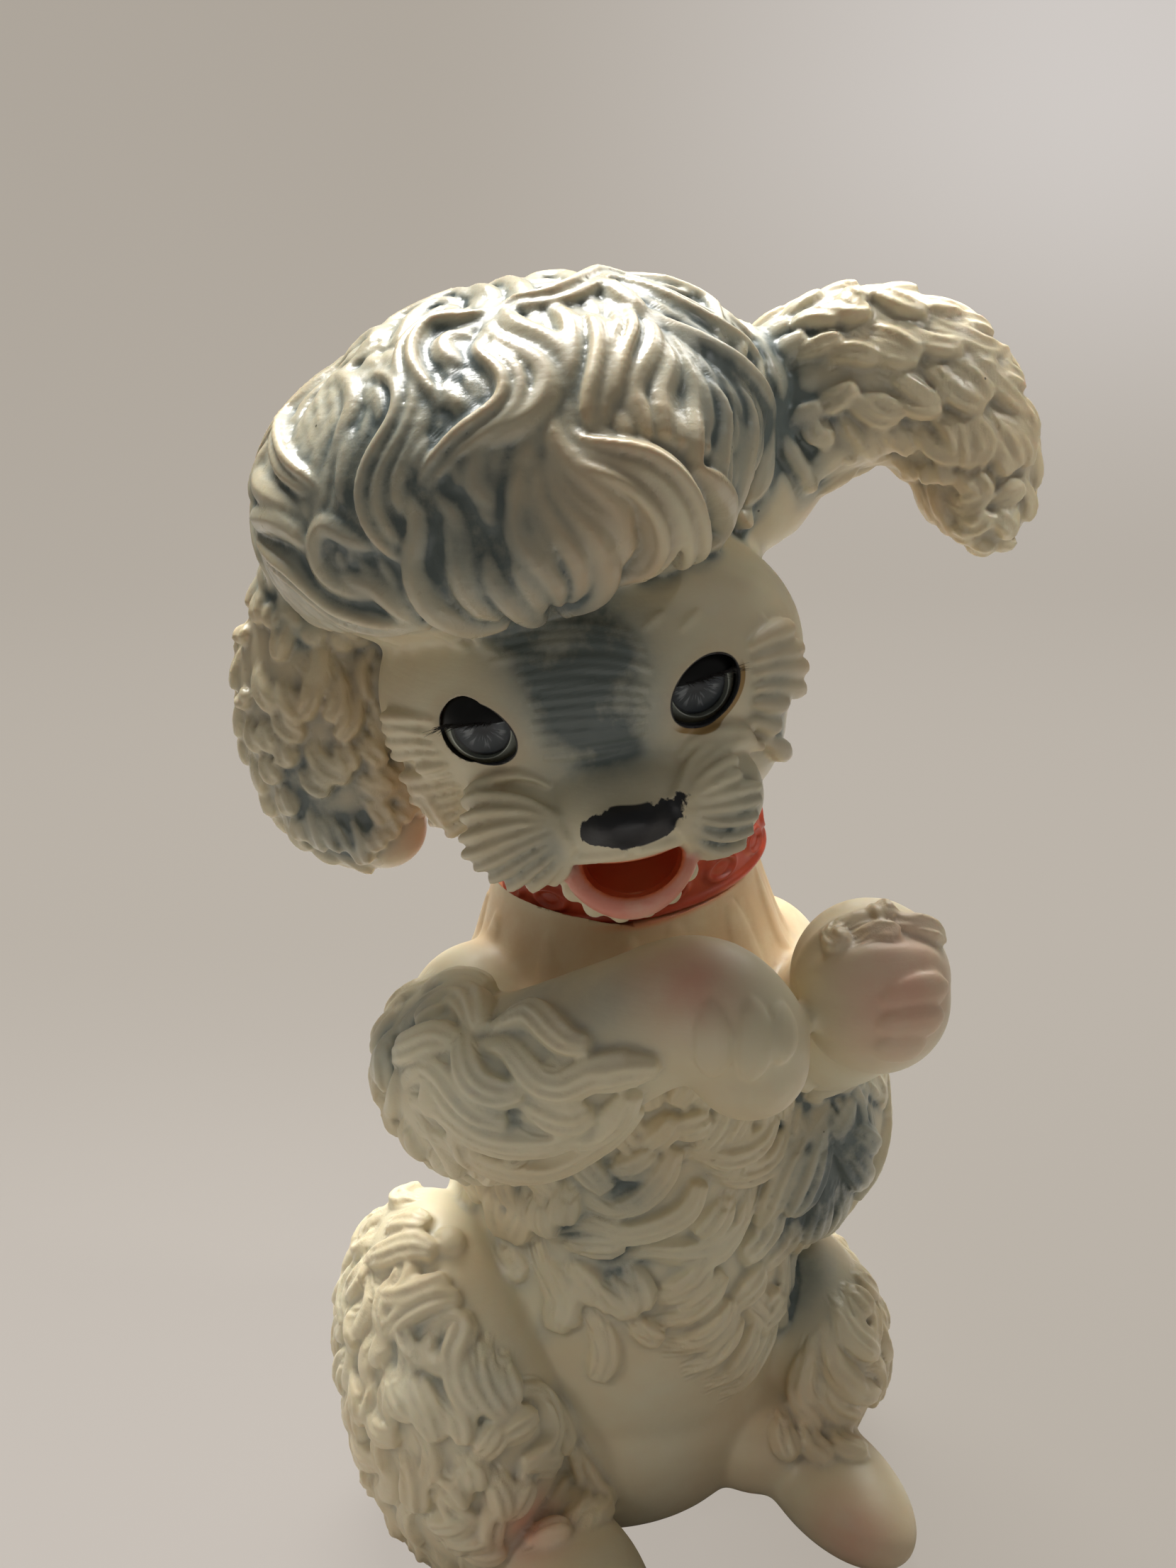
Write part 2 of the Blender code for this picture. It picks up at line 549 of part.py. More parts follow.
CHEST_STROKES = (
    ((600, 810), (650, 830), (720, 800), (770, 740), (800, 680)),
    ((530, 880), (600, 860), (680, 880), (760, 860), (830, 820), (860, 760)),
    ((660, 960), (740, 920), (820, 920), (890, 900), (940, 850)),
    ((540, 920), (600, 905), (680, 900)),
    ((780, 640), (840, 620), (880, 600)),
    ((800, 700), (860, 680), (930, 690), (1000, 650), (1030, 600)),
    ((880, 720), (960, 740), (1030, 700), (1060, 640)),
    ((450, 780), (440, 840), (420, 890)),
    ((500, 760), (490, 840), (510, 880)),
    ((560, 760), (540, 800), (540, 850)),
    ((390, 750), (390, 820), (400, 890)),
    ((310, 760), (300, 850), (320, 900)),
    ((1150, 570), (1120, 640), (1080, 700), (1040, 780), (1010, 850)),
    ((1160, 600), (1150, 680), (1120, 760), (1080, 830)),
    ((1180, 640), (1220, 700), (1250, 760), (1240, 820), (1200, 880)),
    ((1200, 620), (1270, 680), (1290, 760), (1270, 850), (1230, 910)),
    ((1260, 560), (1310, 640), (1320, 720), (1290, 800), (1250, 880)),
    ((1290, 530), (1335, 620), (1330, 700)),
    ((940, 780), (900, 840), (860, 880)),
    ((1000, 760), (960, 840), (920, 900), (860, 950)),
    ((1060, 800), (1010, 880), (960, 940)),
    ((1100, 840), (1060, 900), (1010, 960)),
    ((700, 700), (760, 650), (800, 600)),
    ((640, 740), (700, 720), (750, 680)),
    ((250, 780), (270, 850), (300, 900)),
    ((1180, 760), (1150, 830), (1120, 890)),
)
LOWER_STROKES = (
    ((800, 650), (870, 640), (930, 600), (960, 540)),
    ((830, 720), (900, 700), (960, 650), (1000, 590)),
    ((850, 780), (930, 770), (990, 720), (1020, 660)),
    ((900, 850), (960, 820), (1010, 760), (1040, 700)),
    ((960, 890), (1010, 860), (1050, 800), (1080, 720)),
    ((1000, 910), (1050, 880), (1090, 800), (1130, 700)),
    ((1100, 700), (1140, 640), (1200, 580), (1260, 520)),
    ((1150, 720), (1200, 680), (1250, 620), (1300, 560)),
    ((640, 600), (690, 640), (720, 680)),
    ((580, 570), (640, 600), (680, 660)),
    ((430, 500), (450, 560), (490, 590)),
    ((740, 560), (780, 620), (790, 680)),
    ((700, 600), (740, 640), (760, 700)),
    ((880, 620), (940, 560), (980, 500)),
    ((1010, 700), (1060, 640), (1100, 580)),
    ((1060, 770), (1110, 700), (1150, 640)),
    ((760, 700), (800, 740), (840, 760)),
)
THIGH_STROKES = (
    ((210, 750), (290, 710), (330, 720), (300, 800), (310, 860)),
    ((330, 740), (310, 820), (330, 900), (370, 950)),
    ((390, 750), (370, 830), (390, 900), (430, 960)),
    ((430, 790), (420, 860), (450, 930)),
    ((270, 900), (320, 960), (330, 1030)),
    ((200, 800), (200, 880), (240, 960), (260, 1020)),
    ((130, 820), (150, 900), (200, 960)),
    ((450, 900), (520, 900), (550, 970), (540, 1040), (480, 1090)),
    ((400, 1050), (440, 1000), (500, 960)),
    ((560, 920), (590, 1000), (580, 1060)),
    ((600, 1030), (640, 1100), (670, 1160), (700, 1200)),
    ((470, 1150), (500, 1090), (560, 1080)),
    ((520, 1230), (570, 1180), (600, 1120)),
    ((440, 1250), (460, 1180), (490, 1130)),
    ((590, 1260), (630, 1200), (620, 1130)),
    ((240, 1140), (290, 1130), (330, 1190)),
    ((220, 1250), (280, 1250), (340, 1230)),
    ((250, 1280), (330, 1290), (400, 1270)),
    ((80, 640), (150, 660), (230, 640), (280, 610)),
    ((60, 560), (130, 540), (200, 520), (250, 540)),
    ((120, 470), (180, 460), (230, 470)),
    ((100, 780), (140, 740), (180, 700), (260, 660), (310, 660)),
    ((30, 830), (60, 900), (70, 980)),
    ((100, 900), (100, 980), (160, 1020)),
    ((30, 960), (60, 1040), (110, 1080)),
    ((70, 1080), (100, 1140), (110, 1220)),
    ((160, 1060), (200, 1120), (210, 1200)),
    ((350, 1090), (390, 1040), (420, 980)),
    ((300, 1080), (340, 1090), (350, 1150)),
    ((380, 1100), (420, 1150), (430, 1220)),
    ((640, 1260), (680, 1210), (670, 1140)),
    ((150, 1180), (160, 1260), (180, 1320)),
    ((300, 1300), (360, 1320), (430, 1310)),
    ((480, 1290), (540, 1280), (600, 1270)),
    ((110, 1260), (130, 1310), (170, 1350)),
)
THIGH_LEFT_STROKES = (
    ((1250, 760), (1220, 850), (1220, 930), (1250, 1000)),
    ((1300, 640), (1340, 740), (1400, 800), (1440, 830)),
    ((1280, 720), (1300, 820), (1370, 900), (1435, 930)),
    ((1240, 850), (1290, 930), (1350, 960), (1430, 960)),
    ((1230, 930), (1270, 990), (1340, 1020), (1420, 1010)),
    ((1170, 950), (1160, 1020), (1190, 1070)),
    ((1210, 950), (1230, 1030), (1290, 1080)),
    ((1300, 1000), (1330, 1050), (1380, 1070)),
    ((1390, 1000), (1420, 1040), (1430, 1060)),
    ((1350, 560), (1380, 600), (1425, 680), (1440, 760)),
    ((1320, 620), (1380, 700), (1430, 770)),
    ((1260, 800), (1320, 880), (1400, 900)),
)
PAW_STROKES = (
    ((1160, 90), (1220, 80), (1280, 100), (1310, 130)),
    ((1200, 130), (1180, 170), (1210, 200)),
    ((1260, 70), (1330, 80), (1380, 110), (1410, 140)),
    ((1300, 120), (1350, 140), (1400, 150), (1440, 180)),
    ((1230, 180), (1290, 160), (1340, 170)),
    ((1400, 110), (1440, 150), (1460, 190)),
)
DROOPY_STROKES = (
    ((230, 330), (200, 400), (190, 480), (180, 560)),
    ((190, 340), (165, 420), (150, 520), (140, 560)),
    ((260, 320), (250, 400), (245, 480)),
    ((310, 380), (300, 440), (290, 500)),
    ((370, 390), (360, 440), (330, 520), (310, 620)),
    ((160, 600), (150, 660), (170, 740), (200, 790)),
    ((225, 620), (230, 680), (260, 760), (300, 810)),
    ((320, 680), (320, 740), (360, 800), (400, 850)),
    ((390, 620), (440, 680), (430, 780), (400, 840)),
    ((290, 780), (310, 840), (350, 890), (400, 910)),
    ((500, 640), (540, 700), (540, 780), (500, 850)),
    ((570, 700), (590, 780), (580, 860), (540, 920)),
    ((250, 840), (260, 900), (300, 960)),
    ((320, 900), (330, 960), (360, 1020)),
    ((420, 920), (440, 980), (500, 1040), (570, 1070)),
    ((520, 930), (560, 980), (580, 1040)),
    ((400, 1030), (430, 1080), (500, 1110)),
    ((600, 1070), (660, 1100), (740, 1110)),
    ((110, 380), (110, 450), (125, 500)),
    ((100, 520), (105, 600), (130, 680)),
    ((140, 720), (150, 790), (180, 840)),
    ((190, 840), (210, 900), (250, 960)),
    ((250, 960), (270, 1020), (310, 1080)),
    ((310, 1090), (330, 1140), (370, 1200)),
    ((370, 1210), (390, 1260), (410, 1290)),
    ((410, 1180), (440, 1250), (480, 1330)),
    ((460, 1300), (490, 1370), (540, 1410)),
    ((540, 1330), (580, 1400), (640, 1440)),
    ((600, 1300), (650, 1380), (700, 1440)),
    ((640, 1250), (700, 1330), (760, 1420)),
    ((680, 1210), (750, 1290), (820, 1380)),
    ((720, 1160), (800, 1230), (870, 1330)),
    ((760, 1120), (850, 1190), (920, 1290)),
    ((820, 1090), (900, 1160), (950, 1240)),
    ((560, 1220), (600, 1290), (620, 1360)),
    ((480, 1200), (520, 1280), (560, 1330)),
    ((640, 1130), (690, 1190), (720, 1240)),
    ((700, 1080), (760, 1110), (800, 1150)),
    ((640, 1000), (690, 1050), (740, 1090)),
    ((600, 900), (650, 960), (700, 1010)),
    ((640, 780), (680, 860), (720, 940)),
)
RAISED_STROKES = (
    ((180, 330), (260, 290), (340, 270), (430, 280)),
    ((330, 220), (400, 230), (470, 260), (560, 250)),
    ((430, 160), (480, 180), (520, 220)),
    ((440, 150), (520, 130), (600, 170), (690, 220), (790, 250)),
    ((580, 120), (660, 130), (760, 200), (850, 240), (930, 260)),
    ((690, 115), (790, 130), (880, 200), (960, 270), (1040, 310)),
    ((790, 120), (880, 150), (970, 210), (1050, 260)),
    ((900, 150), (980, 210), (1060, 270), (1130, 330)),
    ((480, 320), (540, 370), (620, 420), (700, 440), (760, 440)),
    ((560, 300), (640, 330), (710, 380), (770, 420)),
    ((680, 280), (750, 340), (830, 390), (940, 400)),
    ((760, 260), (860, 310), (950, 350), (1030, 400), (1100, 410)),
    ((860, 250), (960, 290), (1060, 340), (1140, 380)),
    ((220, 440), (300, 410), (370, 380), (440, 360)),
    ((360, 460), (420, 420), (500, 410), (590, 440)),
    ((430, 560), (500, 620), (590, 680), (680, 680)),
    ((480, 600), (560, 620), (640, 640), (710, 660)),
    ((640, 580), (720, 620), (800, 650), (860, 640)),
    ((620, 480), (680, 520), (760, 580), (850, 640)),
    ((790, 430), (850, 500), (940, 600), (1040, 640)),
    ((860, 450), (950, 480), (1020, 560), (1050, 620)),
    ((820, 430), (920, 430), (1020, 480), (1090, 550), (1160, 620), (1220, 700)),
    ((960, 410), (1030, 450), (1080, 480)),
    ((1070, 430), (1130, 430), (1190, 480), (1220, 520)),
    ((1060, 440), (1120, 500), (1190, 560), (1240, 600)),
    ((1120, 560), (1180, 620), (1230, 700), (1240, 800)),
    ((250, 640), (290, 700), (350, 760), (390, 790)),
    ((270, 680), (300, 740), (340, 780)),
    ((430, 660), (450, 720), (510, 790), (560, 850)),
    ((440, 800), (500, 840), (560, 880), (650, 900)),
    ((540, 680), (590, 740), (620, 820), (650, 860)),
    ((620, 700), (680, 760), (740, 830)),
    ((740, 700), (780, 760), (850, 830), (940, 860)),
    ((800, 680), (880, 700), (930, 770), (940, 850)),
    ((900, 640), (970, 680), (1040, 740), (1060, 800), (1030, 880)),
    ((940, 660), (960, 760), (990, 860), (970, 890)),
    ((1060, 660), (1110, 760), (1150, 840), (1170, 900)),
    ((1100, 650), (1170, 720), (1220, 800), (1220, 890)),
    ((1100, 780), (1110, 850), (1150, 920)),
    ((780, 880), (820, 920), (830, 950)),
    ((860, 860), (880, 920), (900, 960)),
    ((920, 900), (960, 950), (1000, 1000)),
    ((1000, 900), (1030, 960), (1060, 1010)),
    ((900, 1020), (930, 1060), (1000, 1050), (1060, 1000)),
    ((910, 1090), (960, 1130), (1020, 1150), (1060, 1100)),
    ((900, 1120), (940, 1170), (1000, 1180)),
    ((1060, 1060), (1100, 1040), (1160, 1010), (1200, 980)),
    ((1080, 1080), (1120, 1120), (1160, 1160)),
    ((1170, 1040), (1160, 1120), (1130, 1190)),
    ((1220, 950), (1230, 1050), (1210, 1120)),
    ((1240, 920), (1265, 1000), (1250, 1090)),
    ((960, 1200), (1010, 1230), (1080, 1230)),
    ((1090, 1220), (1130, 1225), (1165, 1200)),
    ((700, 880), (740, 900), (760, 930)),
)


# Half width and height of the other locks

EAR_LOCK = (2.8, 2.0)
CHEST_LOCK = (3.9, 2.7)
LOWER_LOCK = (3.5, 2.3)
ARM_LOCK = (4.0, 3.2)
THIGH_LOCK = (3.6, 2.8)
PAW_LOCK = (2.6, 1.4)


def grown(table, grow):
    """The forms of a table with their half sizes changed by so much, in millimetres."""
    return [(centre, [size + grow for size in sizes], turn) for centre, sizes, turn in table.values()]


def melted_forms(name, forms, limbs, voxel, rounds):
    """One smooth skin over ellipsoids and limbs."""
    bm = bmesh.new()
    for centre, sizes, turn in forms:
        add_ball(bm, centre, sizes, turn)
    for stations, flatness in limbs:
        add_limb(bm, stations, flatness)
    obj = mesh_object(name, bm)
    melt(obj, voxel, rounds)
    return obj


def skin_tree(obj):
    """The object's surface, for finding its nearest point."""
    bm = bmesh.new()
    bm.from_mesh(obj.data)
    tree = BVHTree.FromBMesh(bm)
    bm.free()
    return tree


# Swept locks of hair

LOCK_TAPER = (0.30, 0.75, 0.95, 1.0, 1.0, 0.85, 0.35)
LOBE_TAPER = (0.25, 0.62, 0.90, 1.0, 0.97, 0.60)
FAN_TAPER = (0.30, 0.50, 0.72, 0.90, 1.0, 0.80)


def taper_at(taper, share):
    return float(np.interp(share, np.linspace(0, 1, len(taper)), taper))


def add_lock(bm, tree, path, half_width, height, taper, lift=(0, 0), lean=0.0, sides=7):
    """A lock of hair that lies on the skin along the path, in millimetres, as far as the
    skin goes on. Its ends are lifted by so much, and its lean raises one of its edges."""
    spots, ups = [], []
    for centre in path:
        spot, normal, _, _ = tree.find_nearest(Vector(centre) * MM)
        if spots and (spot - spots[-1]).length > LANDING_JUMP * MM:
            break
        spots.append(spot)
        ups.append(normal)
    last = len(spots) - 1
    if last < 2:
        return
    centres, leaning, widths, heights = [], [], [], []
    for i, spot in enumerate(spots):
        size = taper_at(taper, i / last)
        raised = lift[0] + (lift[1] - lift[0]) * i / last
        along = spots[min(i + 1, last)] - spots[max(i - 1, 0)]
        centres.append(spot + ups[i] * (raised + 0.05 * height) * MM)
        leaning.append(ups[i] + along.cross(ups[i]).normalized() * lean)
        widths.append(half_width * MM * size)
        heights.append(height * MM * (0.25 + 0.75 * size))
    add_tube(bm, centres, leaning, widths, heights, sides)


def sight_line(sheet, point, frame):
    """The view's eye and its line of sight through a point of a sheet, in the frame."""
    left, top, scale = sheet
    across = (left + point[0] / scale - VIEW_MIDDLE[0]) / VIEW_FOCAL
    down = (top + point[1] / scale - VIEW_MIDDLE[1]) / VIEW_FOCAL
    back = Vector((math.sin(VIEW_AZIMUTH) * math.cos(VIEW_HEIGHT),
                   -math.cos(VIEW_AZIMUTH) * math.cos(VIEW_HEIGHT), math.sin(VIEW_HEIGHT)))
    right = Vector((math.cos(VIEW_AZIMUTH), math.sin(VIEW_AZIMUTH), 0))
    eye = (VIEW_TARGET + back * VIEW_DISTANCE) * MM
    inward = frame.inverted()
    return inward @ eye, inward.to_3x3() @ (right * across - back.cross(right) * down - back)


def drawn_path(tree, sheet, stroke, frame, middle=None):
    """The places in millimetres where a drawn stroke falls on the skin. Points that miss it
    are left out or, where a middle is given, land on the side of the skin nearest to them."""
    path = []
    for point in stroke:
        eye, sight = sight_line(sheet, point, frame)
        place = tree.ray_cast(eye, sight)[0]
        if place is None and middle is not None:
            passing = eye + sight * (Vector(middle) * MM - eye).dot(sight) / sight.length_squared
            place = tree.find_nearest(passing)[0]
        if place is None or path and (place / MM - path[-1]).length > STROKE_JUMP:
            continue
        path.append(place / MM)
    return path


def dome_point(around, down):
    """A place just over the dome of hair from its two angles in degrees."""
    centre, _, turn = HAIR_DOME
    unit = (math.sin(around * DEG) * math.sin(down * DEG),
            -math.cos(around * DEG) * math.sin(down * DEG), math.cos(down * DEG))
    place = Vector([a * b for a, b in zip(unit, DOME_REACH)])
    place.rotate(Euler([angle * DEG for angle in turn]))
    return Vector(centre) + place


def add_hair(bm, tree):
    """The waved locks of the crown and the fringe, and waved ones down the back."""
    rows = []
    for k in range(BACK_WAVES):
        around = BACK_FROM + (BACK_TO - BACK_FROM) * k / (BACK_WAVES - 1)
        angles = [(around + BACK_SWAY * math.sin(1.9 * step + 1.3 * k), 22 + 14 * step) for step in range(7)]
        rows.append((BACK_HALF_WIDTH, BACK_HEIGHT, [dome_point(*row) for row in angles]))
    for half_width, *stroke in CROWN_STROKES:
        path = drawn_path(tree, CROWN_SHEET, stroke, HEAD_FRAME, HAIR_DOME[0])
        if len(path) > 1:
            rows.append((half_width, half_width * CROWN_RISE, path))
    for k, (half_width, height, path) in enumerate(rows):
        lean = LOCK_LEAN if k % 2 else -LOCK_LEAN
        add_lock(bm, tree, smooth_path(path, 3), half_width, height, LOCK_TAPER, lean=lean)


def add_drawn(bm, tree, sheet, strokes, lock, frame=Matrix()):
    """Locks of one size along drawn strokes."""
    for stroke in strokes:
        path = drawn_path(tree, sheet, stroke, frame)
        if len(path) > 1:
            add_lock(bm, tree, smooth_path(path, 3), *lock, LOBE_TAPER, (-0.7, 0.5))


def add_lobes(bm, tree, stations, rings, per_turn, flatness):
    """Rows of overlapping leaf-shaped lobes round a limb, pointing to its tip."""
    length, half_width, height = EAR_LOBE
    path = smooth_path(stations, 6)
    last = len(path) - 1
    for ring in range(rings):
        here = int((ring + 0.3) / rings * last)
        row = path[here]
        along = Vector(path[min(here + 1, last)][:3] - path[max(here - 1, 0)][:3]).normalized()
        side = along.cross(Vector((0, 1, 0))).normalized()
        for k in range(per_turn):
            angle = 2 * math.pi * (k + 0.5 * (ring % 2)) / per_turn
            out = side * math.cos(angle) + Vector((0, 1, 0)) * math.sin(angle) * flatness
            start = Vector(row[:3]) + out * row[3]
            centres = [start + along * (length * (t / 5 - 0.3)) for t in range(6)]
            add_lock(bm, tree, centres, half_width, height, LOBE_TAPER, (-0.8, 0.5))


def add_curls(bm, tree, centre, sizes, facing, count, curl):
    """Short comma-shaped curls spread over the part of an ellipsoid that faces one way."""
    length, half_width, height = curl
    centre, facing = Vector(centre), Vector(facing).normalized()
    for k in range(count):
        rise = 1 - 2 * (k + 0.5) / count
        angle = k * math.pi * (3 - math.sqrt(5))
        flat = math.sqrt(1 - rise * rise)
        unit = Vector((flat * math.cos(angle), flat * math.sin(angle), rise))
        if unit.dot(facing) < 0.05:
            continue
        start = centre + Vector([a * b for a, b in zip(unit, sizes)])
        down = Vector((0.35 * math.sin(k * 1.7), 0.35 * math.cos(k * 2.3), -1)).normalized()
        bend = unit.cross(down) * (0.6 if k % 2 else -0.6)
        centres = [start + down * (length * (t - 0.5)) + bend * (length * (t - 0.5) ** 2)
                   for t in np.linspace(0, 1, 6)]
        add_lock(bm, tree, centres, half_width, height, LOBE_TAPER, (-0.8, 0.4))


def add_chest_fur(bm, tree):
    """Rows of flat overlapping locks round the chest, drawn in to a point on the belly."""
    for row, (height, first, last) in enumerate(CHEST_ROWS):
        count = round((last - first) / CHEST_SPACING)
        for k in range(count + 1):
            around = first + (last - first) * (k + 0.5 * (row % 2)) / (count + 1)
            centres = []
            for t in np.linspace(0, 1, 6):
                angle = (around + (CHEST_TIP - around) * 0.12 * t + 4 * math.sin(3.2 * t + k)) * DEG
                centres.append((CHEST_REACH[0] * math.sin(angle), -CHEST_REACH[1] * math.cos(angle),
                                height - CHEST_LENGTH * t))
            add_lock(bm, tree, centres, *CHEST_FILL, LOBE_TAPER, (-0.8, 0.3))


def add_fan(bm, tree, root, tips, ridge):
    """Ridges that fan out over the skin from one root to a row of tips."""
    for tip in tips:
        centres = [Vector(root).lerp(Vector(tip), t) for t in np.linspace(FAN_START, 1, 12)]
        add_lock(bm, tree, centres, *ridge, FAN_TAPER, (-0.3, 0.5))


# The two vinyl shells

def make_head_shell():
    """The head: skull, hair, muzzle and ears as one hollow moulding with a neck plug."""
    limbs = ((DROOPY_EAR, 0.75), (RAISED_EAR, 0.85))
    forms = grown(HEAD_CORE, 0) + grown(HEAD_TRIM, 0)
    base = melted_forms("head_base", forms, limbs, BASE_VOXEL, BASE_ROUNDS)
    tree = skin_tree(base)
    bm = bmesh.new()
    bm.from_mesh(base.data)
    bpy.data.objects.remove(base)
    add_hair(bm, tree)
    add_drawn(bm, tree, DROOPY_SHEET, DROOPY_STROKES, EAR_LOCK, HEAD_FRAME)
    add_drawn(bm, tree, RAISED_SHEET, RAISED_STROKES, EAR_LOCK, HEAD_FRAME)
    add_lobes(bm, tree, DROOPY_EAR, 7, 10, 0.75)
    add_lobes(bm, tree, RAISED_EAR[1:], 7, 9, 0.85)
    for side in (-1, 1):
        add_fan(bm, tree, (side * FLUFF_ROOT[0], *FLUFF_ROOT[1:]), FLUFF_TIPS[side], FLUFF_RIDGE)
        add_fan(bm, tree, (side * CHEEK_ROOT[0], *CHEEK_ROOT[1:]), CHEEK_TIPS[side], CHEEK_RIDGE)
    lip = [Vector(row) for row in smooth_path(LOWER_LIP, 3) * MM]
    radii = [LIP_RADIUS * MM] * len(lip)
    add_tube(bm, lip, [Vector((0, 0, 1))] * len(lip), radii, radii, 8)
    shell = mesh_object("head_shell", bm)
    melt(shell, SKIN_VOXEL, SKIN_ROUNDS)
    thin_out(shell, HEAD_FACETS)

    below = cylinder("below", NECK_RADIUS + COLLAR_THICKNESS, -BEYOND, RUN_GAP, AT_SEAM)
    combine(shell, below, "DIFFERENCE")
    combine(shell, turned("plug", plug_profile(), AT_SEAM, ROUND_FACETS), "UNION")
    cavity = melted_forms("cavity", grown(HEAD_CORE, -WALL / MM), (), CAVITY_VOXEL, CAVITY_ROUNDS)
    thin_out(cavity, CAVITY_FACETS)
    clip = block("clip", (-BEYOND, -BEYOND, -BEYOND), (BEYOND, BEYOND, WALL), AT_SEAM)
    combine(cavity, clip, "DIFFERENCE")
    combine(shell, cavity, "DIFFERENCE")
    bore_low = -NECK_LIP - 4 * FLANGE_THICKNESS
    combine(shell, cylinder("bore", PLUG_BORE, bore_low, 3 * WALL, AT_SEAM, ROUND_FACETS), "DIFFERENCE")
    for side in (-1, 1):
        frame = eye_frame(side)
        combine(shell, turned("socket", socket_profile(), frame @ TO_FRONT, 20), "DIFFERENCE")
        combine(shell, weight_room(frame), "DIFFERENCE")
        combine(shell, almond(frame, side), "DIFFERENCE")
    for centre, sizes in MOUTH:
        bm = bmesh.new()
        add_ball(bm, centre, sizes, detail=2)
        combine(shell, mesh_object("mouth", bm), "DIFFERENCE")
    shell.matrix_world = HEAD_FRAME
    return shell


def plug_profile():
    """The neck plug of the head: a stem through the neck's lip with a flange under it."""
    flange_top = -NECK_LIP - RUN_GAP
    flange_low = flange_top - FLANGE_THICKNESS
    return ((0, WALL), (PLUG_RADIUS, WALL), (PLUG_RADIUS, flange_top), (FLANGE_RADIUS, flange_top),
            (FLANGE_RADIUS, flange_low + FLANGE_THICKNESS / 2), (PLUG_RADIUS, flange_low), (0, flange_low))


def arc(radius, start, end, count):
    """Profile pairs on an arc about the origin between two heights, start and end."""
    a, b = math.asin(start / radius), math.asin(end / radius)
    return [(radius * math.cos(a + (b - a) * k / count), radius * math.sin(a + (b - a) * k / count))
            for k in range(count + 1)]


def socket_profile():
    """The room for an eye behind the face: the ball's socket in front and the cup's behind."""
    step = CUP_FRONT + RUN_GAP
    cup_side = arc(POCKET_RADIUS, -POCKET_RADIUS * 0.9, step, 5)
    ball_side = arc(SOCKET_RADIUS, step, SOCKET_RADIUS * 0.98, 4)
    return [(0, -POCKET_RADIUS)] + cup_side + ball_side + [(0, SOCKET_RADIUS)]


def weight_room(frame):
    """The space behind an eye that its counterweight swings through."""
    half = WEIGHT_LENGTH / 2 + BALL_CLEARANCE
    room = cylinder("room", WEIGHT_REACH + BALL_CLEARANCE, -half, half, frame @ TO_SIDE, 32)
    reach = 2 * WEIGHT_REACH
    for low, high in (((-reach, -reach, -reach), (reach, 0, reach)),
                      ((-reach, -reach, WEIGHT_RADIUS + BALL_CLEARANCE), (reach, reach, reach))):
        combine(room, block("outside", low, high, frame), "DIFFERENCE")
    return room


def almond(frame, side, count=24):
    """A prism with the pointed oval outline of the eye opening, out through the face."""
    turn = Matrix.Rotation(-side * OPENING_TILT, 4, "Y")
    outline = []
    for k in range(count):
        angle = 2 * math.pi * k / count
        rise = math.copysign(abs(math.sin(angle)) ** 1.15, math.sin(angle))
        outline.append((OPENING_WIDTH / 2 * math.cos(angle), OPENING_HEIGHT / 2 * rise))
    return prism("almond", outline, CUP_FRONT, 3 * SOCKET_RADIUS, frame @ turn @ TO_FRONT)


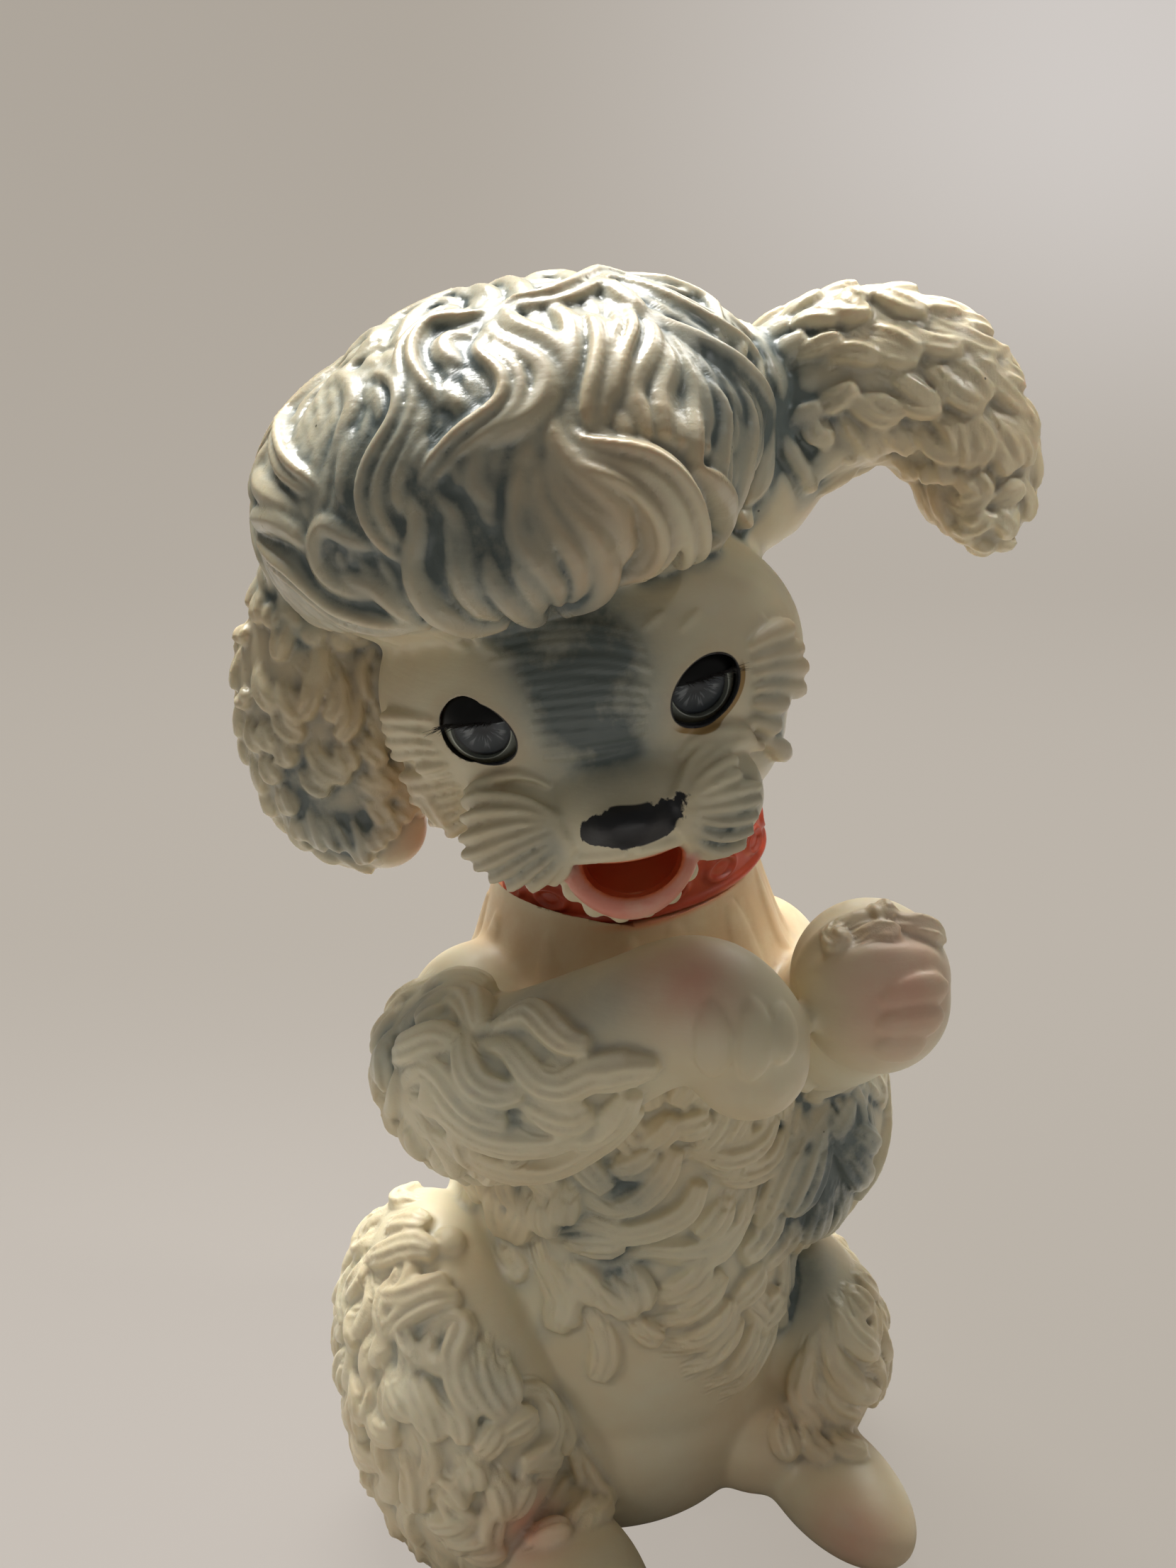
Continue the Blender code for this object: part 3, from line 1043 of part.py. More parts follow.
def make_body_shell():
    """The body: torso, thighs, feet, arms and tail as one hollow moulding."""
    torso = melted_forms("torso", grown(TORSO, 0), ((NECK_CONE, 1.0),), BASE_VOXEL, BASE_ROUNDS)
    torso_tree = skin_tree(torso)
    bpy.data.objects.remove(torso)
    limbs = ((ARM_RIGHT, 1.0), (ARM_LEFT, 1.0), (NECK_CONE, 1.0))
    forms = grown(BODY_CORE, 0) + grown(BODY_TRIM, 0)
    base = melted_forms("body_base", forms, limbs, BASE_VOXEL, BASE_ROUNDS)
    tree = skin_tree(base)
    bm = bmesh.new()
    bm.from_mesh(base.data)
    bpy.data.objects.remove(base)
    add_chest_fur(bm, torso_tree)
    add_drawn(bm, torso_tree, ARMS_SHEET, CHEST_STROKES, CHEST_LOCK)
    add_drawn(bm, torso_tree, BELLY_SHEET, LOWER_STROKES, LOWER_LOCK)
    add_drawn(bm, tree, ARMS_SHEET, ARM_STROKES, ARM_LOCK)
    add_drawn(bm, tree, BELLY_SHEET, THIGH_STROKES, THIGH_LOCK)
    add_drawn(bm, tree, BELLY_SHEET, THIGH_LEFT_STROKES, THIGH_LOCK)
    add_drawn(bm, tree, ARMS_SHEET, PAW_STROKES, PAW_LOCK)
    for patch in CURL_PATCHES:
        add_curls(bm, tree, *patch)
    shell = mesh_object("body_shell", bm)
    melt(shell, SKIN_VOXEL, SKIN_ROUNDS)
    thin_out(shell, BODY_FACETS)

    floor = block("floor", (-BEYOND, -BEYOND, -BEYOND), (BEYOND, BEYOND, 0), Matrix())
    combine(shell, floor, "DIFFERENCE")
    clear = COLLAR_OUTER + STUD_RISE + COLLAR_ROOM
    low = COLLAR_BOTTOM - RUN_GAP
    seat = ((NECK_RADIUS, low), (clear, low), (clear + COLLAR_WIDTH / 2, WAY_UP), (NECK_RADIUS, WAY_UP))
    combine(shell, turned("collar_seat", seat, NECK_FRAME), "DIFFERENCE")
    combine(shell, cylinder("above", clear, 0, WAY_UP, NECK_FRAME), "DIFFERENCE")
    cavity = melted_forms("cavity", grown(BODY_CORE, -WALL / MM), (), CAVITY_VOXEL, CAVITY_ROUNDS)
    thin_out(cavity, CAVITY_FACETS)
    clip = block("clip", (-BEYOND, -BEYOND, -BEYOND), (BEYOND, BEYOND, WALL), Matrix())
    combine(cavity, clip, "DIFFERENCE")
    combine(shell, cavity, "DIFFERENCE")
    chamber = NECK_RADIUS - WALL
    chamber_low = -NECK_LIP - CHAMBER_DEPTH
    combine(shell, cylinder("chamber", chamber, chamber_low, -NECK_LIP, NECK_FRAME), "DIFFERENCE")
    bore = cylinder("neck_bore", NECK_BORE_RADIUS, -2 * NECK_LIP, WAY_UP, NECK_FRAME)
    combine(shell, bore, "DIFFERENCE")

    base_place = Matrix.Translation(SQUEAKER_POSITION)
    boss_top = FLANGE_TOP + BOSS_HEIGHT
    boss = cylinder("boss", SQUEAKER_RIM + BOSS_WALL, WALL / 2, boss_top, base_place, SQUEAKER_FACETS)
    combine(shell, boss, "UNION")
    seat = ((0, -WALL), (SQUEAKER_RIM, -WALL), (SQUEAKER_RIM, FLANGE_TOP + RUN_GAP),
            (SQUEAKER_RADIUS, FLANGE_TOP + RUN_GAP), (SQUEAKER_RADIUS, 2 * SQUEAKER_TOP),
            (0, 2 * SQUEAKER_TOP))
    combine(shell, turned("squeaker_seat", seat, base_place, SQUEAKER_FACETS), "DIFFERENCE")
    return shell


# Collar

def make_collar():
    """A vinyl ring round the neck with a raised lower rim and a row of oval studs."""
    edge = COLLAR_THICKNESS / 4
    rim = COLLAR_BOTTOM + COLLAR_WIDTH / 5
    face = COLLAR_OUTER - edge
    profile = ((COLLAR_INNER, COLLAR_BOTTOM), (COLLAR_OUTER - edge, COLLAR_BOTTOM),
               (COLLAR_OUTER, COLLAR_BOTTOM + edge), (COLLAR_OUTER, rim), (face, rim + edge),
               (face, COLLAR_TOP - edge), (face - edge, COLLAR_TOP), (COLLAR_INNER, COLLAR_TOP))
    ring = turned("collar", profile, Matrix())
    bm = bmesh.new()
    middle = (rim + edge + COLLAR_TOP) / 2
    for k in range(COLLAR_STUDS):
        angle = 2 * math.pi * k / COLLAR_STUDS
        spin = Matrix.Rotation(angle, 4, "Z")
        place = spin @ Matrix.Translation((face - edge, 0, middle))
        size = Matrix.Diagonal((STUD_RISE + edge, STUD_LENGTH / 2, STUD_HEIGHT / 2, 1))
        bmesh.ops.create_uvsphere(bm, u_segments=8, v_segments=4, radius=1, matrix=place @ size)
    combine(ring, mesh_object("studs", bm), "UNION")
    ring.matrix_world = NECK_FRAME
    return ring


# Sleep eyes, built in the eye's frame round the middle of the ball

def make_eyeball(name):
    """The ball with a pocket for the iris and lens, the pin's bore and the stem's hole."""
    ball = sphere(name, BALL_RADIUS, TO_SIDE)
    pocket = cylinder("pocket", IRIS_RADIUS + RUN_GAP, IRIS_SEAT, 2 * BALL_RADIUS, TO_FRONT, EYE_FACETS)
    combine(ball, pocket, "DIFFERENCE")
    bore = cylinder("bore", PIN_RADIUS + RUN_GAP, -2 * BALL_RADIUS, 2 * BALL_RADIUS, TO_SIDE, PIN_FACETS)
    combine(ball, bore, "DIFFERENCE")
    hole = cylinder("hole", STEM_RADIUS + RUN_GAP, BALL_RADIUS - STEM_ROOT - RUN_GAP,
                    2 * BALL_RADIUS, STEM_FRAME, 8)
    combine(ball, hole, "DIFFERENCE")
    return ball


STEM_FRAME = Matrix.Rotation(-math.pi / 2 - STEM_ANGLE, 4, "X")


def make_iris(name):
    return cylinder(name, IRIS_RADIUS, IRIS_FRONT - IRIS_THICKNESS, IRIS_FRONT, TO_FRONT, EYE_FACETS)


def make_lens(name):
    """The clear dome over the iris, flush with the ball."""
    edge = math.sqrt(BALL_RADIUS ** 2 - IRIS_RADIUS ** 2)
    dome = arc(BALL_RADIUS, edge, BALL_RADIUS * 0.99, 3)
    profile = [(0, LENS_BASE), (IRIS_RADIUS, LENS_BASE)] + dome + [(0, BALL_RADIUS)]
    return turned(name, profile, TO_FRONT, EYE_FACETS)


def make_eyelid(name, columns=8, rows=5):
    """A thin hood over the top of the ball, from its front edge to behind its crown."""
    bm = bmesh.new()
    widest = math.asin(LID_HALF_SPAN / LID_OUTER)
    skins = []
    for radius in (LID_INNER, LID_OUTER):
        grid = []
        for row in range(rows + 1):
            lift = LID_EDGE + (LID_BACK - LID_EDGE) * row / rows
            line = []
            for column in range(columns + 1):
                across = -widest + 2 * widest * column / columns
                line.append(bm.verts.new((radius * math.sin(across),
                                          -radius * math.cos(across) * math.cos(lift),
                                          radius * math.cos(across) * math.sin(lift))))
            grid.append(line)
        skins.append(grid)
        for row in range(rows):
            for column in range(columns):
                bm.faces.new((grid[row][column], grid[row][column + 1],
                              grid[row + 1][column + 1], grid[row + 1][column]))
    inner, outer = skins
    edges = [[grid[0] for grid in skins], [grid[-1] for grid in skins],
             [[line[0] for line in grid] for grid in skins], [[line[-1] for line in grid] for grid in skins]]
    for near, far in edges:
        for k in range(len(near) - 1):
            bm.faces.new((near[k], near[k + 1], far[k + 1], far[k]))
    return mesh_object(name, bm)


def make_lashes(name, teeth=7):
    """A comb of lashes that stands on the eyelid's front edge and rakes upwards."""
    low = LID_EDGE + 2 * DEG
    root = LID_OUTER + RUN_GAP + LASH_THICKNESS / 2
    outline = [(-LASH_SPAN / 2, 0), (LASH_SPAN / 2, 0)]
    for k in range(teeth, -1, -1):
        outline.append((LASH_SPAN * (k / teeth - 0.5), LASH_LENGTH))
        if k:
            outline.append((LASH_SPAN * ((k - 0.5) / teeth - 0.5), LASH_LENGTH * 0.55))
    at_edge = Matrix.Rotation(-low, 4, "X") @ Matrix.Translation((0, -root, 0))
    rake = Matrix.Rotation(math.pi - LASH_RAKE, 4, "X")
    return prism(name, outline, -LASH_THICKNESS / 2, LASH_THICKNESS / 2, at_edge @ rake)


def make_pin(name):
    return cylinder(name, PIN_RADIUS, -CUP_OUTER, CUP_OUTER, TO_SIDE, PIN_FACETS)


def make_weight(name):
    """The counterweight: a cross bar on a stem that stands in the back of the ball."""
    bar = cylinder(name, WEIGHT_RADIUS, -WEIGHT_LENGTH / 2, WEIGHT_LENGTH / 2,
                   STEM_FRAME @ Matrix.Translation((0, 0, WEIGHT_DISTANCE)) @ TO_SIDE, 12)
    stem = cylinder("stem", STEM_RADIUS, BALL_RADIUS - STEM_ROOT, WEIGHT_DISTANCE, STEM_FRAME, 8)
    combine(bar, stem, "UNION")
    return bar


def make_eye_cup(name):
    """The open-backed cup that is glued behind the face and carries the pin's ends."""
    outer = arc(CUP_OUTER, -CUP_BACK, CUP_FRONT, 2)
    inner = arc(SOCKET_RADIUS, -CUP_BACK, CUP_FRONT, 2)
    cup = turned(name, outer + inner[::-1], TO_FRONT, 20)
    bearing = cylinder("bearing", PIN_RADIUS + RUN_GAP, -2 * CUP_OUTER, 2 * CUP_OUTER, TO_SIDE, PIN_FACETS)
    combine(cup, bearing, "DIFFERENCE")
    return cup


def make_eye(side, head):
    """All the pieces of one sleep eye, on the head."""
    word = "left" if side > 0 else "right"
    makers = (make_eye_cup, make_eyeball, make_iris, make_lens, make_eyelid, make_lashes, make_pin,
              make_weight)
    names = ("eye_cup", "eyeball", "iris", "lens", "eyelid", "lashes", "eye_pin", "counterweight")
    for name, maker in zip(names, makers):
        piece = maker(f"{name}_{word}")
        piece.parent = head
        piece.matrix_local = eye_frame(side)


# Squeaker

def make_squeaker():
    """A cup pressed into the base, a brass reed over its slot, and a cap with an air hole."""
    place = Matrix.Translation(SQUEAKER_POSITION)
    low = SQUEAKER_RECESS
    rim = SQUEAKER_RIM - RUN_GAP
    outer = SQUEAKER_RADIUS - RUN_GAP
    roof = SQUEAKER_TOP - SQUEAKER_WALL
    profile = ((CUP_BORE, low), (rim, low), (rim, FLANGE_TOP), (outer, FLANGE_TOP),
               (outer, SQUEAKER_TOP), (0, SQUEAKER_TOP), (0, roof), (CUP_BORE, roof))
    cup = turned("squeaker_body", profile, place, SQUEAKER_FACETS)
    half_slot = Vector((SLOT_LENGTH / 2, SLOT_WIDTH / 2, 0))
    slot = block("slot", Vector((0, 0, roof - SQUEAKER_WALL)) - half_slot,
                 Vector((0, 0, 2 * SQUEAKER_TOP)) + half_slot, place)
    combine(cup, slot, "DIFFERENCE")

    reed = block("squeaker_reed", (0, -REED_WIDTH / 2, 0), (REED_LENGTH, REED_WIDTH / 2, REED_THICKNESS),
                 Matrix())
    reed.location = SQUEAKER_POSITION + Vector((-REED_LENGTH / 2, 0, SQUEAKER_TOP + RUN_GAP))

    cap_profile = ((AIR_HOLE_RADIUS, low), (CUP_BORE - RUN_GAP, low),
                   (CUP_BORE - RUN_GAP, low + CAP_THICKNESS), (AIR_HOLE_RADIUS, low + CAP_THICKNESS))
    turned("squeaker_cap", cap_profile, place, SQUEAKER_FACETS)


# Finishes of the pieces: colour, roughness, metallic value, clearness

FINISHES = {
    "body_shell": ((0.80, 0.70, 0.54), 0.55, 0.0, 0.0),
    "head_shell": ((0.76, 0.71, 0.60), 0.50, 0.0, 0.0),
    "collar": ((0.62, 0.055, 0.035), 0.38, 0.0, 0.0),
    "eye_cup": ((0.40, 0.41, 0.36), 0.50, 0.0, 0.0),
    "eyeball": ((0.42, 0.46, 0.38), 0.25, 0.0, 0.0),
    "iris": ((0.050, 0.070, 0.090), 0.30, 0.0, 0.0),
    "lens": ((0.92, 0.94, 0.95), 0.05, 0.0, 0.9),
    "eyelid": ((0.012, 0.011, 0.011), 0.40, 0.0, 0.0),
    "lashes": ((0.014, 0.012, 0.011), 0.65, 0.0, 0.0),
    "eye_pin": ((0.56, 0.56, 0.55), 0.30, 1.0, 0.0),
    "counterweight": ((0.22, 0.22, 0.23), 0.55, 1.0, 0.0),
    "squeaker_body": ((0.78, 0.78, 0.79), 0.35, 1.0, 0.0),
    "squeaker_reed": ((0.62, 0.44, 0.18), 0.30, 1.0, 0.0),
    "squeaker_cap": ((0.78, 0.78, 0.79), 0.35, 1.0, 0.0),
}
SHARP_ANGLE = 40 * DEG


def dress(obj):
    """Give the object its own material and smooth shading between its sharp edges."""
    stem = obj.name.removesuffix("_left").removesuffix("_right")
    colour, roughness, metallic, clearness = FINISHES[stem]
    material = bpy.data.materials.new(obj.name)
    material.use_nodes = True
    shader = material.node_tree.nodes["Principled BSDF"]
    shader.inputs["Base Color"].default_value = (*colour, 1)
    shader.inputs["Roughness"].default_value = roughness
    shader.inputs["Metallic"].default_value = metallic
    shader.inputs["Transmission Weight"].default_value = clearness
    obj.data.materials.clear()
    obj.data.materials.append(material)
    obj.data.shade_smooth()
    obj.data.set_sharp_from_angle(angle=SHARP_ANGLE)


def main():
    for obj in list(bpy.data.objects):
        bpy.data.objects.remove(obj)
    make_body_shell()
    head = make_head_shell()
    make_collar()
    for side in (-1, 1):
        make_eye(side, head)
    make_squeaker()
    for obj in bpy.data.objects:
        dress(obj)


main()
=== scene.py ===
"""The look of the begging poodle over its solids: moulded fur, airbrushed paint with some painted shade, eyes
and light.

The two skins are built in millimetres, the head's in its own frame and the body's in the
world, from ellipsoids, limbs and ridged locks that are melted together and then painted.
"""

import math

import bmesh
import bpy
import numpy as np
from mathutils import Euler, Matrix, Vector
from mathutils.bvhtree import BVHTree
from mathutils.kdtree import KDTree


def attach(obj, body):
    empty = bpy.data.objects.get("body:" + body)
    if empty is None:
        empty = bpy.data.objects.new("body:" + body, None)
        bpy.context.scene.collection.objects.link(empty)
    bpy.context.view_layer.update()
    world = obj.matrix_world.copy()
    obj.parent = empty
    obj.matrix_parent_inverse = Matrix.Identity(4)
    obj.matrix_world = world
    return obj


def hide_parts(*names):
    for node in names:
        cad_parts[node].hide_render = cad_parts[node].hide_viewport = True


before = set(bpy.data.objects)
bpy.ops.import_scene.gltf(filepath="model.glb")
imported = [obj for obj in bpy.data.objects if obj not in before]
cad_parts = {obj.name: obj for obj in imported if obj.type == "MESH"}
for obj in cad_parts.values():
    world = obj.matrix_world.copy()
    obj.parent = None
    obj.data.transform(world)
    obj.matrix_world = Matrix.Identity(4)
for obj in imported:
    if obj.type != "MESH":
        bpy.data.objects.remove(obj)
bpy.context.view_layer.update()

MM = 0.001
DEG = math.pi / 180
VOXEL = 0.50
rng = np.random.default_rng(7)

# Places and sizes of the solids, in millimetres

NECK_SEAM = Vector((0, -4, 146))
NECK_LEAN = 12 * DEG
HEAD_TURN = 24 * DEG
HEAD_DROP = 9.0
EYE_SPACING, EYE_SHIFT, EYE_FORWARD, EYE_HEIGHT = 32.4, -2.3, 35.6, 47.3
EYE_SPLAY = 16 * DEG
OPENING_WIDTH, OPENING_HEIGHT, OPENING_TILT = 13.6, 10.0, 26 * DEG
BALL_RADIUS, LID_INNER, LID_OUTER, SOCKET_RADIUS = 7.8, 8.1, 8.5, 8.9
IRIS_RADIUS = 4.9
COLLAR_INNER, COLLAR_OUTER, COLLAR_TOP, COLLAR_BOTTOM = 22.8, 25.8, -1.0, -9.5

NECK_FRAME = Matrix.Translation(NECK_SEAM) @ Matrix.Rotation(-NECK_LEAN, 4, "Y")
HEAD_FRAME = NECK_FRAME @ Matrix.Rotation(-HEAD_TURN, 4, "Z") @ Matrix.Translation((0, 0, -HEAD_DROP))
TO_FRONT = Matrix.Rotation(math.pi / 2, 4, "X")
TO_METRES = Matrix.Scale(MM, 4)


def eye_frame(side):
    """The frame of an eyeball in the head's frame: X along its pin and -Y out of the face."""
    place = Matrix.Translation((EYE_SHIFT + side * EYE_SPACING / 2, -EYE_FORWARD, EYE_HEIGHT))
    return place @ Matrix.Rotation(side * EYE_SPLAY, 4, "Z")


# Small tools on rows of places

def unit(rows):
    return rows / np.maximum(np.linalg.norm(rows, axis=-1, keepdims=True), 1e-9)


def soften(rows, rounds=2):
    """The rows with each one drawn towards its neighbours, and the ends kept."""
    rows = np.array(rows, float)
    for _ in range(rounds):
        rows[1:-1] = 0.5 * rows[1:-1] + 0.25 * (rows[:-2] + rows[2:])
    return rows


def smooth_path(rows, steps):
    """Rows of a smooth curve through the given rows, which can hold radii beside places."""
    rows = np.array(rows, float)
    ends = np.vstack((2 * rows[0] - rows[1], rows, 2 * rows[-1] - rows[-2]))
    path = []
    for a, b, c, d in zip(ends, ends[1:], ends[2:], ends[3:]):
        for t in np.arange(steps) / steps:
            path.append(0.5 * (2 * b + (c - a) * t + (2 * a - 5 * b + 4 * c - d) * t ** 2
                               + (3 * b - a - 3 * c + d) * t ** 3))
    path.append(rows[-1])
    return np.array(path)


def even_path(rows, spacing):
    """The path with its places about evenly spaced, at least six of them."""
    rows = np.array(rows, float)
    along = np.concatenate(([0], np.cumsum(np.linalg.norm(np.diff(rows[:, :3], axis=0), axis=1))))
    count = max(6, int(along[-1] / spacing) + 1)
    at = np.linspace(0, along[-1], count)
    return np.column_stack([np.interp(at, along, column) for column in rows.T])


def fade(values, start, end):
    """0 before start and 1 past end, with a smooth rise between them."""
    t = np.clip((values - start) / (end - start), 0, 1)
    return t * t * (3 - 2 * t)


def blob(places, centre, sizes):
    """A soft spot: 1 in the middle of an ellipsoid and 0 well outside it."""
    away = (places - np.array(centre)) / np.array(sizes)
    return np.exp(-(away ** 2).sum(1))


# Clay: closed forms gathered in one mesh

class Clay:
    def __init__(self):
        self.places = []
        self.faces = []
        self.count = 0

    def add(self, places, faces):
        self.places.append(np.asarray(places, float))
        start = self.count
        self.faces.extend([tuple(corner + start for corner in face) for face in faces])
        self.count += len(places)

    def ball(self, centre, sizes, turn=(0, 0, 0)):
        """An ellipsoid, turned by degrees."""
        turned = np.array(Euler([angle * DEG for angle in turn]).to_matrix())
        self.add((BALL_PLACES * np.array(sizes)) @ turned.T + np.array(centre), BALL_FACES)

    def tube(self, centres, ups, widths, heights, sides=8):
        """A closed tube through the centres, wide across and high along the ups."""
        centres = np.asarray(centres, float)
        along = unit(np.gradient(centres, axis=0))
        across = unit(np.cross(along, ups))
        ups = np.cross(across, along)
        angles = np.arange(sides) * 2 * math.pi / sides
        wide = np.asarray(widths)[:, None] * np.cos(angles)
        high = np.asarray(heights)[:, None] * np.sin(angles)
        rings = centres[:, None] + across[:, None] * wide[..., None] + ups[:, None] * high[..., None]
        start = centres[0] - along[0] * heights[0] * 0.6
        end = centres[-1] + along[-1] * heights[-1] * 0.6
        self.add(np.vstack((rings.reshape(-1, 3), start, end)), tube_faces(len(centres), sides))

    def limb(self, stations, flatness=1.0):
        """A tapered limb through stations of (x, y, z, radius)."""
        path = smooth_path(stations, 6)
        self.tube(path[:, :3], np.tile((0, 1, 0), (len(path), 1)), path[:, 3], path[:, 3] * flatness, 24)
        for row in (path[0], path[-1]):
            self.ball(row[:3], np.full(3, row[3] * min(1, flatness + 0.1)))

    def object(self, name):
        mesh = bpy.data.meshes.new(name)
        mesh.from_pydata(np.vstack(self.places).tolist(), [], self.faces)
        return linked(name, mesh)


def linked(name, mesh):
    obj = bpy.data.objects.new(name, mesh)
    bpy.context.scene.collection.objects.link(obj)
    return obj


def from_bmesh(bm, name):
    """An object with the faces of the bmesh, turned outwards."""
    bmesh.ops.recalc_face_normals(bm, faces=bm.faces)
    mesh = bpy.data.meshes.new(name)
    bm.to_mesh(mesh)
    bm.free()
    return linked(name, mesh)


def ball_arrays():
    """Places and faces of a unit ball."""
    bm = bmesh.new()
    bmesh.ops.create_icosphere(bm, subdivisions=4, radius=1)
    places = np.array([vert.co[:] for vert in bm.verts])
    faces = [tuple(vert.index for vert in face.verts) for face in bm.faces]
    bm.free()
    return places, faces


def tube_faces(count, sides, known={}):
    """The faces of a closed tube of so many rings, with a point at each end."""
    if (count, sides) not in known:
        faces = []
        for i in range(count - 1):
            near, far = i * sides, (i + 1) * sides
            for k in range(sides):
                j = (k - 1) % sides
                faces.append((near + k, near + j, far + j, far + k))
        start, last = count * sides, (count - 1) * sides
        for k in range(sides):
            j = (k - 1) % sides
            faces.append((j, k, start))
            faces.append((last + k, last + j, start + 1))
        known[count, sides] = faces
    return known[count, sides]


BALL_PLACES, BALL_FACES = ball_arrays()


def bake(obj):
    """Make the shape that the modifiers give the object's own mesh."""
    bpy.context.view_layer.update()
    seen = obj.evaluated_get(bpy.context.evaluated_depsgraph_get())
    mesh = bpy.data.meshes.new_from_object(seen)
    obj.modifiers.clear()
    old = obj.data
    obj.data = mesh
    bpy.data.meshes.remove(old)


def melt(obj, voxel, rounds):
    """Join all that the object holds into one skin, and soften its creases."""
    remesh = obj.modifiers.new("skin", "REMESH")
    remesh.mode = "VOXEL"
    remesh.voxel_size = voxel
    smooth = obj.modifiers.new("soften", "SMOOTH")
    smooth.factor = 0.5
    smooth.iterations = rounds
    bake(obj)


def combine(obj, other, operation):
    """Join the other object to this one, or cut it out, and remove it."""
    change = obj.modifiers.new(operation.lower(), "BOOLEAN")
    change.operation = operation
    change.solver = "MANIFOLD"
    change.object = other
    bake(obj)
    bpy.data.objects.remove(other)


def turned(name, profile, place, segments=96):
    """A ring or a solid turned about the place's Z axis from (radius, height) pairs."""
    bm = bmesh.new()
    rings = []
    for radius, height in profile:
        if radius == 0:
            rings.append([bm.verts.new(place @ Vector((0, 0, height)))] * segments)
            continue
        angles = [2 * math.pi * k / segments for k in range(segments)]
        rings.append([bm.verts.new(place @ Vector((radius * math.cos(a), radius * math.sin(a), height)))
                      for a in angles])
    pairs = list(zip(rings, rings[1:]))
    if profile[0][0] and profile[-1][0]:
        pairs.append((rings[-1], rings[0]))
    for near, far in pairs:
        for k in range(segments):
            corners = list(dict.fromkeys((near[k - 1], near[k], far[k], far[k - 1])))
            if len(corners) > 2:
                bm.faces.new(corners)
    return from_bmesh(bm, name)


def cylinder(name, radius, low, high, place, segments=96):
    """A round bar about the place's Z axis between two heights."""
    return turned(name, ((0, low), (radius, low), (radius, high), (0, high)), place, segments)


class Skin:
    """A base form that locks are laid on."""

    def __init__(self, name, forms, limbs, voxel=1.1, rounds=10):
        clay = Clay()
        for centre, sizes, turn in forms:
            clay.ball(centre, sizes, turn)
        for stations, flatness in limbs:
            clay.limb(stations, flatness)
        self.object = clay.object(name)
        melt(self.object, voxel, rounds)
        bm = bmesh.new()
        bm.from_mesh(self.object.data)
        self.tree = BVHTree.FromBMesh(bm)
        bm.free()

    def land(self, path):
        """The nearest places on the skin and the normals there."""
        spots, ups = [], []
        for row in path:
            spot, normal, _, _ = self.tree.find_nearest(Vector(row[:3]))
            spots.append(spot)
            ups.append(normal)
        return np.array(spots), np.array(ups)

    def clay(self):
        """The base as clay for more forms, with its object removed."""
        clay = Clay()
        mesh = self.object.data
        clay.add([vert.co[:] for vert in mesh.vertices], [tuple(face.vertices) for face in mesh.polygons])
        bpy.data.objects.remove(self.object)
        return clay


# Locks of fur: a rounded core with ridges along it

LOCK_TAPER = (0.30, 0.75, 0.95, 1.0, 1.0, 0.85, 0.35)
LEAF_TAPER = (0.25, 0.62, 0.90, 1.0, 0.97, 0.60)
FAN_TAPER = (0.30, 0.50, 0.72, 0.90, 1.0, 0.80)
LANDING_JUMP = 5
lock_places = {}


def lay_lock(clay, skin, path, half, rise, ridges=2, taper=LOCK_TAPER, lift=(0, 0), kind="hair",
             spacing=1.6, lean=0.0):
    """A lock that lies on the skin along the path, as far as the skin goes on. Its ends are
    lifted by so much, and its lean raises one of its edges."""
    path = even_path(path, spacing)
    spots, ups = skin.land(path)
    jumps = np.linalg.norm(np.diff(spots, axis=0), axis=1) > LANDING_JUMP
    if jumps.any():
        spots, ups = spots[:jumps.argmax() + 1], ups[:jumps.argmax() + 1]
    if len(spots) < 4:
        return
    spots = soften(spots)
    ups = unit(soften(ups, 4))
    share = np.linspace(0, 1, len(spots))
    size = np.interp(share, np.linspace(0, 1, len(taper)), taper)
    across = unit(np.cross(np.gradient(spots, axis=0), ups))
    lock_places.setdefault(kind, []).append(spots)
    spots = spots + ups * np.interp(share, (0, 1), lift)[:, None]
    ups = unit(ups + across * lean)
    across = unit(np.cross(np.gradient(spots, axis=0), ups))
    core = rise * (0.25 + 0.75 * size)
    clay.tube(spots + ups * (0.05 * rise), ups, half * size, core * (0.80 if ridges > 1 else 1.0), 10)
    if ridges < 2:
        return
    for j in range(ridges):
        across_at = ((j + 0.5) / ridges * 2 - 1) * 0.84
        radius = half / ridges * 0.74 * rng.uniform(0.88, 1.1)
        top = rise * math.sqrt(1 - across_at ** 2) * size * rng.uniform(0.96, 1.04)
        centres = (spots + across * (across_at * half * size)[:, None]
                   + ups * (top - 0.45 * radius)[:, None])
        thick = radius * (0.35 + 0.65 * size)
        clay.tube(centres, ups, thick, thick, 7)


def view_back():
    """The way from the view's target to its eye, in the world."""
    return Vector((math.sin(VIEW_AZIMUTH) * math.cos(VIEW_HEIGHT),
                   -math.cos(VIEW_AZIMUTH) * math.cos(VIEW_HEIGHT), math.sin(VIEW_HEIGHT)))


def sight_line(sheet, point, frame_here):
    """The view's eye and its line of sight through a point of a sheet, in the frame."""
    left, top, scale = sheet
    across = (left + point[0] / scale - VIEW_MIDDLE[0]) / VIEW_FOCAL
    down = (top + point[1] / scale - VIEW_MIDDLE[1]) / VIEW_FOCAL
    back = view_back()
    right = Vector((math.cos(VIEW_AZIMUTH), math.sin(VIEW_AZIMUTH), 0))
    eye = VIEW_TARGET + back * VIEW_DISTANCE
    inward = frame_here.inverted()
    return inward @ eye, inward.to_3x3() @ (right * across - back.cross(right) * down - back)


